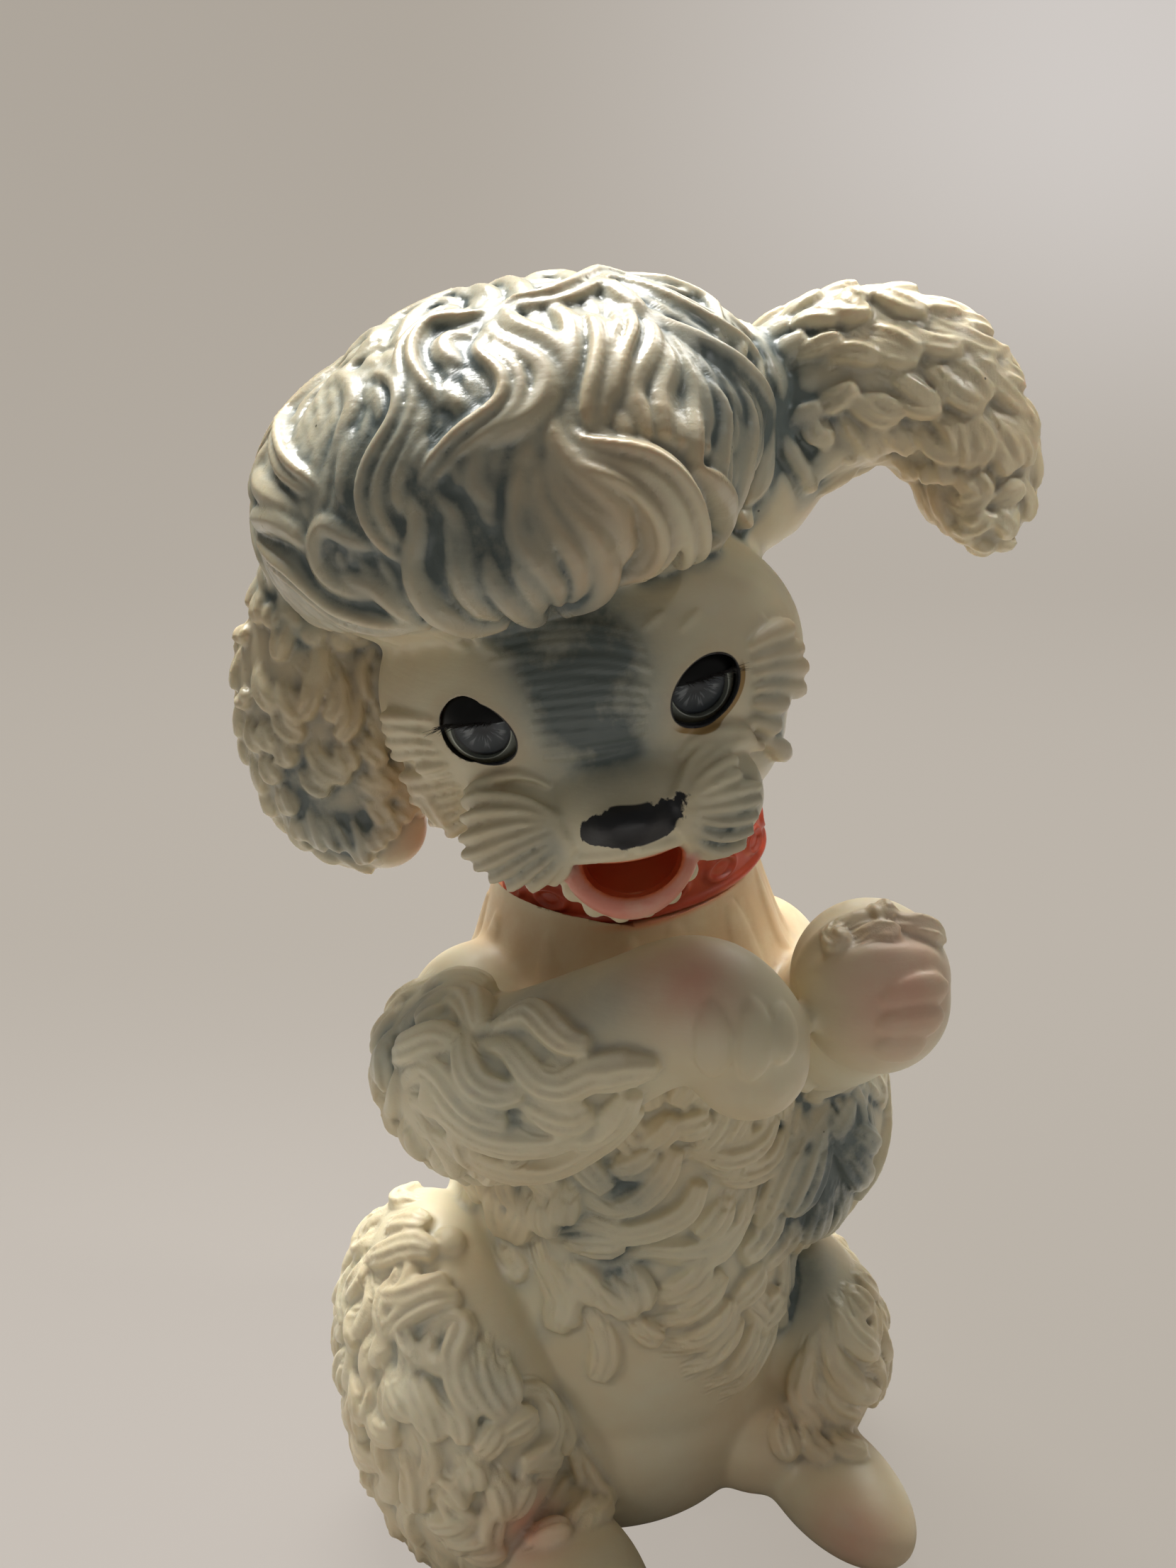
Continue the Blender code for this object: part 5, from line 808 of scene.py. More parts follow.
HEAD_DABS = {
    "blue": ((652, 550, 6, 0.9), (500, 660, 8, 0.8), (510, 710, 7, 0.8), (625, 690, 8, 0.7),
             (690, 740, 8, 0.5), (570, 600, 8, 0.6), (415, 560, 7, 0.5), (370, 690, 5, 0.7),
             (530, 480, 6, 0.7), (650, 440, 8, 0.5), (960, 450, 8, 0.7), (1010, 530, 8, 0.9),
             (1055, 600, 7, 0.9), (985, 590, 7, 0.6), (730, 800, 7, 0.6), (650, 800, 7, 0.6),
             (500, 800, 7, 0.4), (790, 900, 9, 0.5), (820, 940, 11, 0.5), (830, 990, 10, 0.6),
             (830, 1040, 9, 0.5), (750, 900, 8, 0.4), (870, 900, 8, 0.5), (800, 870, 8, 0.5),
             (870, 1060, 7, 0.4), (790, 1030, 7, 0.3), (890, 1010, 7, 0.3),
             (900, 960, 7, 0.3), (770, 960, 7, 0.3), (700, 885, 7, 0.3), (700, 1225, 6, 0.5),
             (750, 1205, 4.5, 0.6), (790, 1185, 3, 0.4), (710, 1245, 5, 0.5), (1000, 1170, 4, 0.6),
             (1040, 1160, 5, 0.7), (1060, 1130, 4, 0.5), (1020, 1195, 4, 0.5), (1090, 1000, 6, 0.7),
             (1100, 1040, 6, 0.8), (1090, 940, 6, 0.5), (1090, 560, 8, 0.8), (1095, 620, 8, 0.6),
             (1100, 480, 8, 0.5), (470, 1160, 8, 0.8), (430, 1100, 7, 0.4), (490, 1190, 6, 0.5)),
    "black": ((835, 1172, 2.1, 1.3), (852, 1160, 2.0, 0.6), (870, 1156, 2.2, 0.62), (868, 1178, 2.6, 1.0),
              (893, 1165, 2.6, 0.95), (895, 1184, 2.2, 1.0), (915, 1158, 2.4, 0.72), (918, 1178, 2.2, 1.0),
              (935, 1152, 2.4, 1.1), (938, 1168, 2.2, 0.9), (950, 1140, 2.4, 0.8),
              (962, 1130, 2.0, 0.5), (825, 1180, 1.6, 0.7), (850, 1186, 1.8, 0.5)),
    "pink": ((600, 1180, 8, 0.5), (560, 1230, 7, 0.4)),
    "tan_and_shade": ((1120, 940, 4, 0.5), (1125, 990, 4, 0.5), (1120, 1040, 4, 0.4), (560, 1120, 8, 0.4),
            (480, 1010, 9, 0.3), (1330, 700, 8, 0.4), (1360, 820, 8, 0.5)),
}
BODY_DABS = {
    "blue": ((887, 1672, 5, 0.9), (808, 1730, 5, 0.7), (880, 1788, 5, 0.8), (830, 1650, 4, 0.5),
             (1180, 1620, 10, 1.1), (1160, 1700, 10, 1.2), (1140, 1790, 9, 0.9), (1210, 1560, 8, 0.4),
             (1120, 1850, 6, 0.4), (560, 1480, 7, 0.8), (600, 1420, 6, 0.6), (760, 1400, 8, 0.6),
             (850, 1410, 7, 0.5), (700, 1560, 6, 0.4), (600, 1900, 8, 0.3), (700, 1960, 7, 0.3),
             (760, 2080, 6, 0.3)),
    "pink": ((965, 1380, 8, 0.40), (1000, 1395, 6, 0.2), (1283, 1370, 12, 0.42), (1260, 1440, 8, 0.2),
             (740, 2150, 7, 0.5), (1200, 2170, 8, 0.4)),
    "tan_and_shade": ((1100, 2000, 12, 0.3), (900, 1600, 10, 0.2)),
}


# The head's forms in its own frame: centre, half sizes, turn

HAIR_DOME = ((-8, -5, 79.5), (43, 42, 28), (0, -8, 0))
DOME_REACH = (46, 45, 31)
HEAD_FORMS = (
    ((0, -6, 44), (34, 36, 35), (0, 0, 0)),
    ((-1, -18, 46), (37, 30, 26), (0, 0, 0)),
    ((-19, -21, 36), (17, 17, 18), (0, 0, 0)),
    ((14, -22, 36), (17, 18, 18), (0, 0, 0)),
    ((0, -41, 31), (13, 17, 10), (0, 0, 0)),
    ((0, 0, 14), (25, 25, 16), (0, 0, 0)),
    HAIR_DOME,
    ((-6, -25, 74), (33, 25, 13), (0, -9, 0)),
    ((8, -35, 80), (15, 13, 13), (0, 0, 0)),
    ((-15, -42, 29), (11.5, 8.6, 9.6), (0, 20, 25)),
    ((13, -42, 29), (10.5, 8.6, 9.6), (0, -20, -25)),
    ((-1, -37, 18.5), (9.5, 13.5, 7), (0, 0, 0)),
    ((0, -55.5, 33), (6.0, 3.8, 3.4), (0, 0, 0)),
)

# Limbs in rows of (x, y, z, radius)

DROOPY_EAR = ((-36, 2, 72, 10), (-45, 0, 58, 14.5), (-49, -3, 42, 16.5), (-48, -6, 28, 14.5),
              (-44, -8, 20, 9.5))
RAISED_EAR = ((30, 4, 70, 17), (42, 4, 78, 15), (55, 3, 82, 15), (66, 1, 78, 13.5), (72, -1, 67, 11.5),
              (73, -2, 56, 8.5))


def dome_point(around, down):
    """A place just over the dome of hair from its two angles in degrees."""
    centre, _, turn = HAIR_DOME
    around, down = around * DEG, down * DEG
    place = Vector((DOME_REACH[0] * math.sin(around) * math.sin(down),
                    -DOME_REACH[1] * math.cos(around) * math.sin(down),
                    DOME_REACH[2] * math.cos(down)))
    place.rotate(Euler([angle * DEG for angle in turn]))
    return np.array(centre) + np.array(place)


def back_waves(count=19, first=82, last=268):
    """Waved paths down the back of the dome, between two angles in degrees."""
    paths = []
    for k in range(count):
        around = first + (last - first) * k / (count - 1)
        wave = [(around + 7 * math.sin(1.9 * step + 1.3 * k), 22 + 14 * step) for step in range(7)]
        paths.append(np.array([dome_point(*row) for row in smooth_path(wave, 5)]))
    return paths


def flow_fill(paths, seeds, clear, length=15.0, step=1.5):
    """Paths that start at the seeds between the given paths and follow their direction."""
    places = np.vstack(paths)
    ways = np.vstack([unit(np.gradient(path, axis=0)) for path in paths])
    out = []
    for seed in seeds:
        if np.linalg.norm(places - seed, axis=1).min() < clear:
            continue
        halves = []
        for sign in (-1, 1):
            spot, line = np.array(seed, float), []
            for _ in range(int(length / 2 / step)):
                away = ((places - spot) ** 2).sum(1)
                weight = 1 / (away + 3) ** 2
                way = unit((ways * weight[:, None]).sum(0))
                spot = spot + way * step * sign
                line.append(spot)
            halves.append(line)
        out.append(np.array(halves[0][::-1] + [seed] + halves[1]))
    return out


# Half width and rise of the locks down the back, and of the fine ones that fill the gaps

BACK_HALF, BACK_RISE = 4.6, 3.4
FILL_HALF, FILL_RISE, FILL_CLEAR = 2.3, 2.2, 2.9


def add_hair(clay, skin):
    """The waved locks of the crown and the fringe, and finer ones between them."""
    rows = [(BACK_HALF, BACK_RISE, 3, path) for path in back_waves()]
    for half, *stroke in CROWN_STROKES:
        path = drawn_path(skin, CROWN_SHEET, stroke, HEAD_FRAME, HAIR_DOME[0])
        if len(path) > 1:
            rows.append((half, half * 1.3, 2 if half > 3.1 else 1, smooth_path(path, 5)))
    for k, (half, rise, ridges, path) in enumerate(rows):
        lay_lock(clay, skin, path, half, rise, ridges, lean=0.3 if k % 2 else -0.3)
    seeds = []
    for down in np.arange(10, 106, 5.0):
        count = max(3, int(360 * math.sin(down * DEG) / 6))
        for k in range(count):
            seeds.append(dome_point(360 * (k + 0.5 * (int(down) % 2)) / count, down))
    for path in flow_fill([row[3] for row in rows], seeds, FILL_CLEAR):
        lean = rng.choice((-0.3, 0.3))
        lay_lock(clay, skin, path, FILL_HALF, FILL_RISE, 1, LEAF_TAPER, (-0.6, 0.3), lean=lean)


def add_leaves(clay, skin, stations, rings, leaf, flatness, kind, first=0.0):
    """Overlapping leaf-shaped lobes round a limb, pointing to its tip."""
    length, half, rise, per_turn = leaf
    path = smooth_path(stations, 10)
    last = len(path) - 1
    for ring in range(rings):
        at = first + (1 - first) * (ring + 0.2) / rings
        for k in range(per_turn):
            here = min(last, max(0, (at + rng.uniform(-0.3, 0.3) / rings) * last))
            row = path[int(here)]
            along = unit(path[min(int(here) + 2, last)][:3] - path[max(int(here) - 2, 0)][:3])
            side = unit(np.cross(along, (0, 1, 0)))
            angle = 2 * math.pi * (k + 0.5 * (ring % 2) + rng.uniform(-0.15, 0.15)) / per_turn
            out = side * math.cos(angle) + np.array((0, 1, 0)) * math.sin(angle) * flatness
            start = row[:3] + out * row[3]
            long = length * rng.uniform(0.75, 1.2)
            wide = half * rng.uniform(0.8, 1.15)
            bend = unit(np.cross(along, out)) * rng.uniform(-0.3, 0.3)
            t = np.linspace(-0.3, 0.7, 8)
            centres = start + along * (long * t)[:, None] + bend * (long * t * np.abs(t))[:, None]
            ridges = 1 + int(rng.uniform() < 0.6)
            if not near_locks((kind,), start, 2.6):
                lay_lock(clay, skin, centres, wide, rise, ridges, LEAF_TAPER, (-0.8, 0.5),
                         kind + "_fill", 1.3, rng.uniform(-0.3, 0.3))


def add_drawn(clay, skin, sheet, strokes, half, rise, kind, lift=(-0.7, 0.5), frame_here=Matrix()):
    """Locks along drawn strokes, with two or three ridges each."""
    for stroke in strokes:
        path = drawn_path(skin, sheet, stroke, frame_here)
        if len(path) > 1:
            wide = half * rng.uniform(0.85, 1.15)
            lay_lock(clay, skin, smooth_path(path, 5), wide, rise * rng.uniform(0.9, 1.1),
                     3 if wide > 3.3 else 2, LEAF_TAPER, lift, kind, 1.3, rng.uniform(-0.4, 0.4))


def add_ridges(clay, skin, sheet, strokes, half, rise, kind, frame_here, taper=FAN_TAPER, lift=(-0.3, 0.5)):
    """Single ridges along drawn strokes."""
    for stroke in strokes:
        path = drawn_path(skin, sheet, stroke, frame_here, wraps=True)
        if len(path) > 1:
            lay_lock(clay, skin, smooth_path(path, 5), half, rise, 1, taper, lift, kind, 1.1)


def prism(name, outline, low, high, place):
    """A straight prism along the place's Z axis with the given outline of (x, y) pairs."""
    bm = bmesh.new()
    base = [bm.verts.new(place @ Vector((x, y, low))) for x, y in outline]
    top = [bm.verts.new(place @ Vector((x, y, high))) for x, y in outline]
    bm.faces.new(base)
    bm.faces.new(top)
    for k in range(len(outline)):
        bm.faces.new((base[k - 1], base[k], top[k], top[k - 1]))
    return from_bmesh(bm, name)


def almond(count=72):
    """The outline of an eye opening as (x, y) pairs across its own tilted axes."""
    outline = []
    for k in range(count):
        angle = 2 * math.pi * k / count
        rise = math.copysign(abs(math.sin(angle)) ** 1.15, math.sin(angle))
        outline.append((OPENING_WIDTH / 2 * math.cos(angle), OPENING_HEIGHT / 2 * rise))
    return outline


def opening_frame(side):
    return eye_frame(side) @ Matrix.Rotation(-side * OPENING_TILT, 4, "Y") @ TO_FRONT


# How far in millimetres the masks of the rims and of the strands reach, and how far apart strands are

RIM_REACH = 8
STRAND_REACH = 10
STRAND_PITCH = 1.25

# The mouth in the head's frame

# Hollows by centre and half sizes
MOUTH_FORMS = (((-0.3, -48, 23.2), (8.2, 9.5, 5.4)), ((-0.3, -43, 21.5), (7.7, 9.5, 5.2)))
# Round curls under the jaw, and the half sizes of each
JAW_CURLS = ((-12, -44.5, 21.8), (-10.6, -45, 18.2), (-7.8, -46, 15.2), (-3.8, -47, 13.8), (0.4, -47, 13.9),
             (4.6, -45.8, 14.8), (8.0, -44.5, 17.6), (10.2, -43.5, 21.2))
JAW_CURL_SIZES = (2.1, 2.1, 2.3)
# Lips by radius and path
LIPS = {
    "lower": (2.3, ((-9.8, -45, 24.5), (-9, -49, 21), (-5.5, -52, 18.2), (-1, -53.2, 17.2), (3.6, -52, 18.2),
                    (7.6, -49, 21), (9.2, -45, 24.5))),
    "upper_right": (1.3, ((-9, -50.5, 26.3), (-5, -55, 28.0), (-0.8, -57, 28.9))),
    "upper_left": (1.3, ((9, -50.5, 26.3), (5, -55, 28.0), (0.8, -57, 28.9))),
}

# The cut under the head, the gap that is kept at seams, and where the cut of an eye's opening starts

HEAD_CUT_RADIUS, HEAD_CUT_DEPTH, SEAM_GAP = 26, 30, 0.3
OPENING_BACK = 1.5


def make_head_skin():
    skin = Skin("head_base", HEAD_FORMS, ((DROOPY_EAR, 0.75), (RAISED_EAR, 0.85)))
    clay = skin.clay()
    add_hair(clay, skin)
    add_drawn(clay, skin, DROOPY_SHEET, DROOPY_STROKES, 2.5, 1.8, "ear", frame_here=HEAD_FRAME)
    add_drawn(clay, skin, RAISED_SHEET, RAISED_STROKES, 2.4, 1.7, "ear", frame_here=HEAD_FRAME)
    add_leaves(clay, skin, DROOPY_EAR, 11, (9, 2.6, 1.5, 14), 0.75, "ear")
    add_leaves(clay, skin, RAISED_EAR, 13, (10, 2.7, 1.4, 12), 0.85, "ear", 0.14)
    add_ridges(clay, skin, FACE_SHEET, FLUFF_STROKES, 1.30, 2.3, "fluff", HEAD_FRAME)
    add_ridges(clay, skin, FACE_SHEET, CHEEK_STROKES, 2.2, 2.4, "cheek", HEAD_FRAME)
    add_ridges(clay, skin, FACE_SHEET, SERRATED_STROKES, 1.3, 1.7, "cheek", HEAD_FRAME)
    add_ridges(clay, skin, FACE_SHEET, BRUSHED_STROKES, 1.0, 0.45, "brushed", HEAD_FRAME, LOCK_TAPER, (0, 0))
    add_ridges(clay, skin, FACE_SHEET, JAW_STROKES, 1.6, 1.9, "jaw", HEAD_FRAME)
    for place in JAW_CURLS:
        clay.ball(place, JAW_CURL_SIZES)
    for radius, path in LIPS.values():
        path = smooth_path(path, 5)
        thick = np.full(len(path), radius)
        clay.tube(path, np.tile((0, 0, 1), (len(path), 1)), thick, thick, 10)
    obj = clay.object("head_skin")
    melt(obj, VOXEL, 2)

    seam = Matrix.Translation((0, 0, HEAD_DROP))
    cutter = cylinder("below", HEAD_CUT_RADIUS, -HEAD_CUT_DEPTH, SEAM_GAP, seam, 64)
    combine(obj, cutter, "DIFFERENCE")
    mouth = Clay()
    for centre, sizes in MOUTH_FORMS:
        mouth.ball(centre, sizes)
    mouth = mouth.object("mouth")
    melt(mouth, 0.5, 2)
    combine(obj, mouth, "DIFFERENCE")
    for side in (-1, 1):
        profile = [(SOCKET_RADIUS * math.sin(t) if 0 < t < math.pi else 0, SOCKET_RADIUS * math.cos(t))
                   for t in np.linspace(0, math.pi, 25)]
        combine(obj, turned("socket", profile, eye_frame(side) @ TO_FRONT, 48), "DIFFERENCE")
        opening = prism("almond", almond(), OPENING_BACK, 3 * SOCKET_RADIUS, opening_frame(side))
        combine(obj, opening, "DIFFERENCE")
    return obj, skin


# The body's forms in the world: centre, half sizes, turn

BODY_FORMS = (
    ((2, -4, 89), (38, 33, 42), (0, 0, 0)),
    ((27, -8, 79), (29, 28, 30), (0, 0, 0)),
    ((0, 0, 46), (36.5, 36, 54), (0, 0, 0)),
    ((0, -1, 20), (38, 33, 32), (0, 0, 0)),
    ((-40, -6, 34), (20, 28, 38), (-20, 0, 0)),
    ((37, -8, 24), (18, 30, 25), (-12, 0, 0)),
    ((0, 38, 36), (13, 12.5, 15), (0, 0, 0)),
    ((-29, -39, 8), (13, 24, 10), (0, 0, 0)),
    ((30, -40, 7), (12, 24, 10), (0, 0, 0)),
    ((22, -24, 13), (15, 15, 13), (0, 0, 0)),
)

# The flat pad round the squeaker, and the cut under the sole

BASE_PAD = ((0, 5, 2), (29, 30, 5.5))
SOLE_HEIGHT, SOLE_REACH, SOLE_DEPTH = 0.05, 150, 40

# The squeaker's seat: its place, and its rim and cup by radius and height

SQUEAKER_PLACE = (0, 17, 0)
SEAT_RIM, SEAT_CUP = (12.1, 3.1), (10.1, 20)

# In the neck's frame: the collar's seat, what lies above the neck, its bore and its folds

COLLAR_SEAT_RADIUS, COLLAR_ROOM = 22.5, 1.0
ABOVE_NECK = (60, -0.02, 30)
NECK_BORE = (15, -6, 10)
FOLDS, FOLD_TOP, FOLD_FOOT, FOLD_RADIUS = 14, -12, -32, 24

# The neck and the arms in the world, by rows of (x, y, z, radius)

NECK_CONE = ((2, -4, 104, 35), (1, -4, 120, 30.5), (0, -4, 136, 25.5))
ARM_RIGHT = ((-30, -4, 110, 15), (-37, -13, 105, 17), (-34, -28, 109, 16), (-22, -44, 123, 12.5),
             (-12, -52, 129, 12), (-6, -56, 124, 11.5), (-5, -57, 120, 10.5))
ARM_LEFT = ((28, -6, 110, 15), (29, -14, 105, 15), (29, -30, 108, 14), (26, -46, 120, 13.5),
            (21, -55, 129, 14), (20, -58, 126, 13))

# Rows of chest fur by their height and the angles in degrees where they start and end

CHEST_ROWS = ((118, -150, 190), (108, -160, 180), (98, -150, 190), (88, -160, 180), (78, -85, 95),
              (68, -60, 80), (58, -34, 62), (50, -16, 46), (43, -2, 28))
CHEST_LOCK_ANGLE = 12
CHEST_RADII = (40, 36)

# Where curls grow: centre, half sizes, the way they face, how many are tried, and a curl's sizes

CURLED_FORMS = (
    ((-42, -4, 34), (22, 28, 36), (-1, -0.1, 0.1), 200, (12, 3.1, 1.9)),
    ((39, -6, 28), (19, 30, 27), (1, 0.1, 0.1), 150, (12, 3.0, 1.8)),
    ((-36, -16, 102), (18, 21, 19), (-0.9, -0.1, -0.3), 100, (12, 3.1, 1.9)),
    ((29, -16, 101), (15, 18, 16), (0.8, -0.3, -0.4), 90, (12, 3.0, 1.8)),
    ((0, 38, 36), (13.5, 12.5, 15.5), (0, 1, 0), 90, (9, 2.6, 1.7)),
)


def add_curls(clay, skin, centre, sizes, facing, count, curl, kind="curl"):
    """Comma-shaped curls spread over the part of an ellipsoid that faces one way."""
    length, half, rise = curl
    centre, facing = np.array(centre, float), unit(np.array(facing, float))
    for k in range(count):
        high = 1 - 2 * (k + 0.5) / count
        angle = k * math.pi * (3 - math.sqrt(5))
        flat = math.sqrt(1 - high * high)
        way = np.array((flat * math.cos(angle), flat * math.sin(angle), high))
        start = centre + way * np.array(sizes)
        if way @ facing < 0.05 or near_locks((kind,), start, 2.8):
            continue
        down = unit(np.array((rng.uniform(-0.45, 0.45), rng.uniform(-0.35, 0.35), -1)))
        bend = unit(np.cross(way, down)) * rng.uniform(0.3, 0.9) * (1 if k % 2 else -1)
        long = length * rng.uniform(0.8, 1.25)
        t = np.linspace(-0.5, 0.5, 8)
        centres = start + down * (long * t)[:, None] + bend * (long * 1.6 * t ** 2)[:, None]
        wide = half * rng.uniform(0.75, 1.15)
        ridges = 1 + int(rng.uniform() < 0.65)
        lay_lock(clay, skin, centres, wide, rise * rng.uniform(0.8, 1.15), ridges, LEAF_TAPER, (-0.8, 0.4),
                 kind + "_fill", 1.3, rng.uniform(-0.4, 0.4))


def add_chest_fur(clay, skin):
    """Rows of flat overlapping locks round the sides and back of the chest."""
    for row, (height, first, last) in enumerate(CHEST_ROWS):
        count = round((last - first) / CHEST_LOCK_ANGLE)
        for k in range(count + 1):
            around = first + (last - first) * (k + 0.5 * (row % 2) + rng.uniform(-0.2, 0.2)) / (count + 1)
            sweep = (11 - around) * 0.12 + rng.uniform(-7, 7)
            wave = rng.uniform(2, 6)
            t = np.linspace(0, 1, 8)
            angle = (around + sweep * t + wave * np.sin(3.2 * t + k)) * DEG
            drop = height + rng.uniform(-2, 2) - 15 * t
            centres = np.column_stack((CHEST_RADII[0] * np.sin(angle), -CHEST_RADII[1] * np.cos(angle), drop))
            if near_locks(("chest",), skin.land(centres[3:4])[0][0], 3.0):
                continue
            half = rng.uniform(3.2, 4.4)
            lay_lock(clay, skin, centres, half, 1.7, 3, LEAF_TAPER, (-0.8, 0.3), "chest_fill", 1.4,
                     rng.uniform(-0.3, 0.3))


def add_folds(clay, skin):
    """Soft upright folds in the neck under the collar."""
    for k in range(FOLDS):
        angle = 2 * math.pi * (k + rng.uniform(-0.35, 0.35)) / FOLDS
        rows = []
        for low in np.linspace(FOLD_TOP, FOLD_FOOT - 8 * rng.uniform(), 7):
            out = FOLD_RADIUS - 0.35 * (low + 9)
            rows.append((NECK_FRAME @ Vector((out * math.cos(angle), out * math.sin(angle), low)))[:])
        lay_lock(clay, skin, rows, rng.uniform(2.2, 4.0), 0.9, 1, LOCK_TAPER, (0, -0.6), "fold", 2.0)


def make_body_skin():
    torso = Skin("torso_base", BODY_FORMS[:4], ((NECK_CONE, 1.0),))
    limbs = ((ARM_RIGHT, 1.0), (ARM_LEFT, 1.0), (NECK_CONE, 1.0))
    skin = Skin("body_base", BODY_FORMS, limbs)
    clay = skin.clay()
    add_folds(clay, torso)
    add_drawn(clay, torso, ARMS_SHEET, CHEST_STROKES, 3.9, 2.5, "chest")
    add_drawn(clay, torso, BELLY_SHEET, LOWER_STROKES, 3.5, 2.1, "chest")
    add_chest_fur(clay, torso)
    add_drawn(clay, skin, ARMS_SHEET, ARM_STROKES, 3.9, 3.0, "curl", (-0.5, 0.3))
    add_drawn(clay, skin, BELLY_SHEET, THIGH_STROKES, 3.5, 2.6, "curl")
    add_drawn(clay, skin, BELLY_SHEET, THIGH_LEFT_STROKES, 3.4, 2.5, "curl")
    add_drawn(clay, skin, ARMS_SHEET, PAW_STROKES, 2.6, 1.4, "curl")
    add_ridges(clay, skin, ARMS_SHEET, TOE_STROKES, 3.2, 1.4, "toe", Matrix(), LOCK_TAPER)
    for form in CURLED_FORMS:
        add_curls(clay, skin, *form)
    clay.ball(*BASE_PAD)
    bpy.data.objects.remove(torso.object)
    obj = clay.object("body_skin")
    melt(obj, VOXEL, 2)
    (rim, step), (cup, roof) = SEAT_RIM, SEAT_CUP
    squeaker_seat = ((0, -5), (rim, -5), (rim, step), (cup, step), (cup, roof), (0, roof))
    inner, clear, low = COLLAR_SEAT_RADIUS, COLLAR_OUTER + COLLAR_ROOM, COLLAR_BOTTOM - SEAM_GAP
    collar_seat = ((inner, low), (clear, low), (clear + 2, 30), (inner, 30))
    for cutter in (
        cylinder("floor_cut", SOLE_REACH, -SOLE_DEPTH, SOLE_HEIGHT, Matrix(), 32),
        turned("squeaker_seat", squeaker_seat, Matrix.Translation(SQUEAKER_PLACE), 64),
        turned("collar_seat", collar_seat, NECK_FRAME),
        cylinder("above", *ABOVE_NECK, NECK_FRAME, 64),
        cylinder("neck_bore", *NECK_BORE, NECK_FRAME),
    ):
        combine(obj, cutter, "DIFFERENCE")
    return obj, skin


# Paint masks, one value for each corner of the mesh, and soft spots of paint and of painted shade by centre
# and half sizes

# The pouf, which gets tan as painted shade and less blue
POUF = ((10, -46, 80), (15, 14, 15))
AROUND_POUF = ((6, -42, 84), (40, 30, 26))
MOUTH_PALE = ((-0.3, -43, 18), (6, 8, 5))
# The height, in the neck's frame, of the painted shade below the collar
NECK_SHADE_HEIGHT = -20


def mesh_arrays(obj):
    mesh = obj.data
    places = np.empty(len(mesh.vertices) * 3)
    mesh.vertices.foreach_get("co", places)
    normals = np.empty(len(mesh.vertices) * 3, np.float32)
    mesh.vertex_normals.foreach_get("vector", normals)
    edges = np.empty(len(mesh.edges) * 2, int)
    mesh.edges.foreach_get("vertices", edges)
    return places.reshape(-1, 3), normals.reshape(-1, 3), edges.reshape(-1, 2)


def mean_of_neighbours(values, edges, rounds):
    """The values with each one replaced by the mean of its neighbours', so many times."""
    count = len(values)
    degree = np.bincount(edges.ravel(), minlength=count)
    for _ in range(rounds):
        columns = []
        for column in values.T:
            total = np.bincount(edges[:, 0], column[edges[:, 1]], count)
            total += np.bincount(edges[:, 1], column[edges[:, 0]], count)
            columns.append(total / np.maximum(degree, 1))
        values = np.column_stack(columns)
    return values


def hollowness(places, normals, edges, rounds):
    """How far each place lies under the smoothed surface, in millimetres."""
    return ((mean_of_neighbours(places, edges, rounds) - places) * normals).sum(1)


def dab_masks(skin, dabs, frame_here, places):
    """The masks of the dabs of paint, where their lines of sight meet the skin."""
    masks = {}
    for name, rows in dabs.items():
        masks[name] = np.zeros(len(places))
        for *point, radius, strength in rows:
            eye, sight = sight_line(WHOLE_SHEET, point, frame_here)
            spot = skin.tree.ray_cast(eye, sight)[0]
            if spot is not None:
                masks[name] += strength * blob(places, spot, (radius,) * 3)
    return masks


def nearest(rows, places):
    """How far each place is from the nearest row, and the number of that row."""
    tree = KDTree(len(rows))
    for i, row in enumerate(rows):
        tree.insert(row, i)
    tree.balance()
    found = [tree.find(place) for place in places]
    return np.array([away for _, _, away in found]), np.array([index for _, index, _ in found])


def from_locks(kinds, places):
    """How far each place is from the nearest lock of these kinds, and 0 past a lock's ends."""
    paths = [even_path(path, 0.6) for kind in kinds for path in lock_places[kind]]
    inner = np.concatenate([[0] + [1] * (len(path) - 2) + [0] for path in paths])
    away, index = nearest(np.vstack(paths), places)
    return away, inner[index]


def set_masks(obj, masks):
    for name, values in masks.items():
        layer = obj.data.attributes.new(name, "FLOAT", "POINT")
        layer.data.foreach_set("value", np.clip(values, 0, 1).astype(np.float32))


def eye_edge(places, side):
    """How far the places are from an eye opening's outline, less than 0 inside it, and the places
    in the opening's frame."""
    back = np.array(opening_frame(side).inverted())
    local = places @ back[:3, :3].T + back[:3, 3]
    reach = np.hypot(local[:, 0] / (OPENING_WIDTH / 2), local[:, 1] / (OPENING_HEIGHT / 2))
    away = (reach - 1) * (OPENING_HEIGHT / 2)
    return np.where(local[:, 2] > 0, away, 99), local


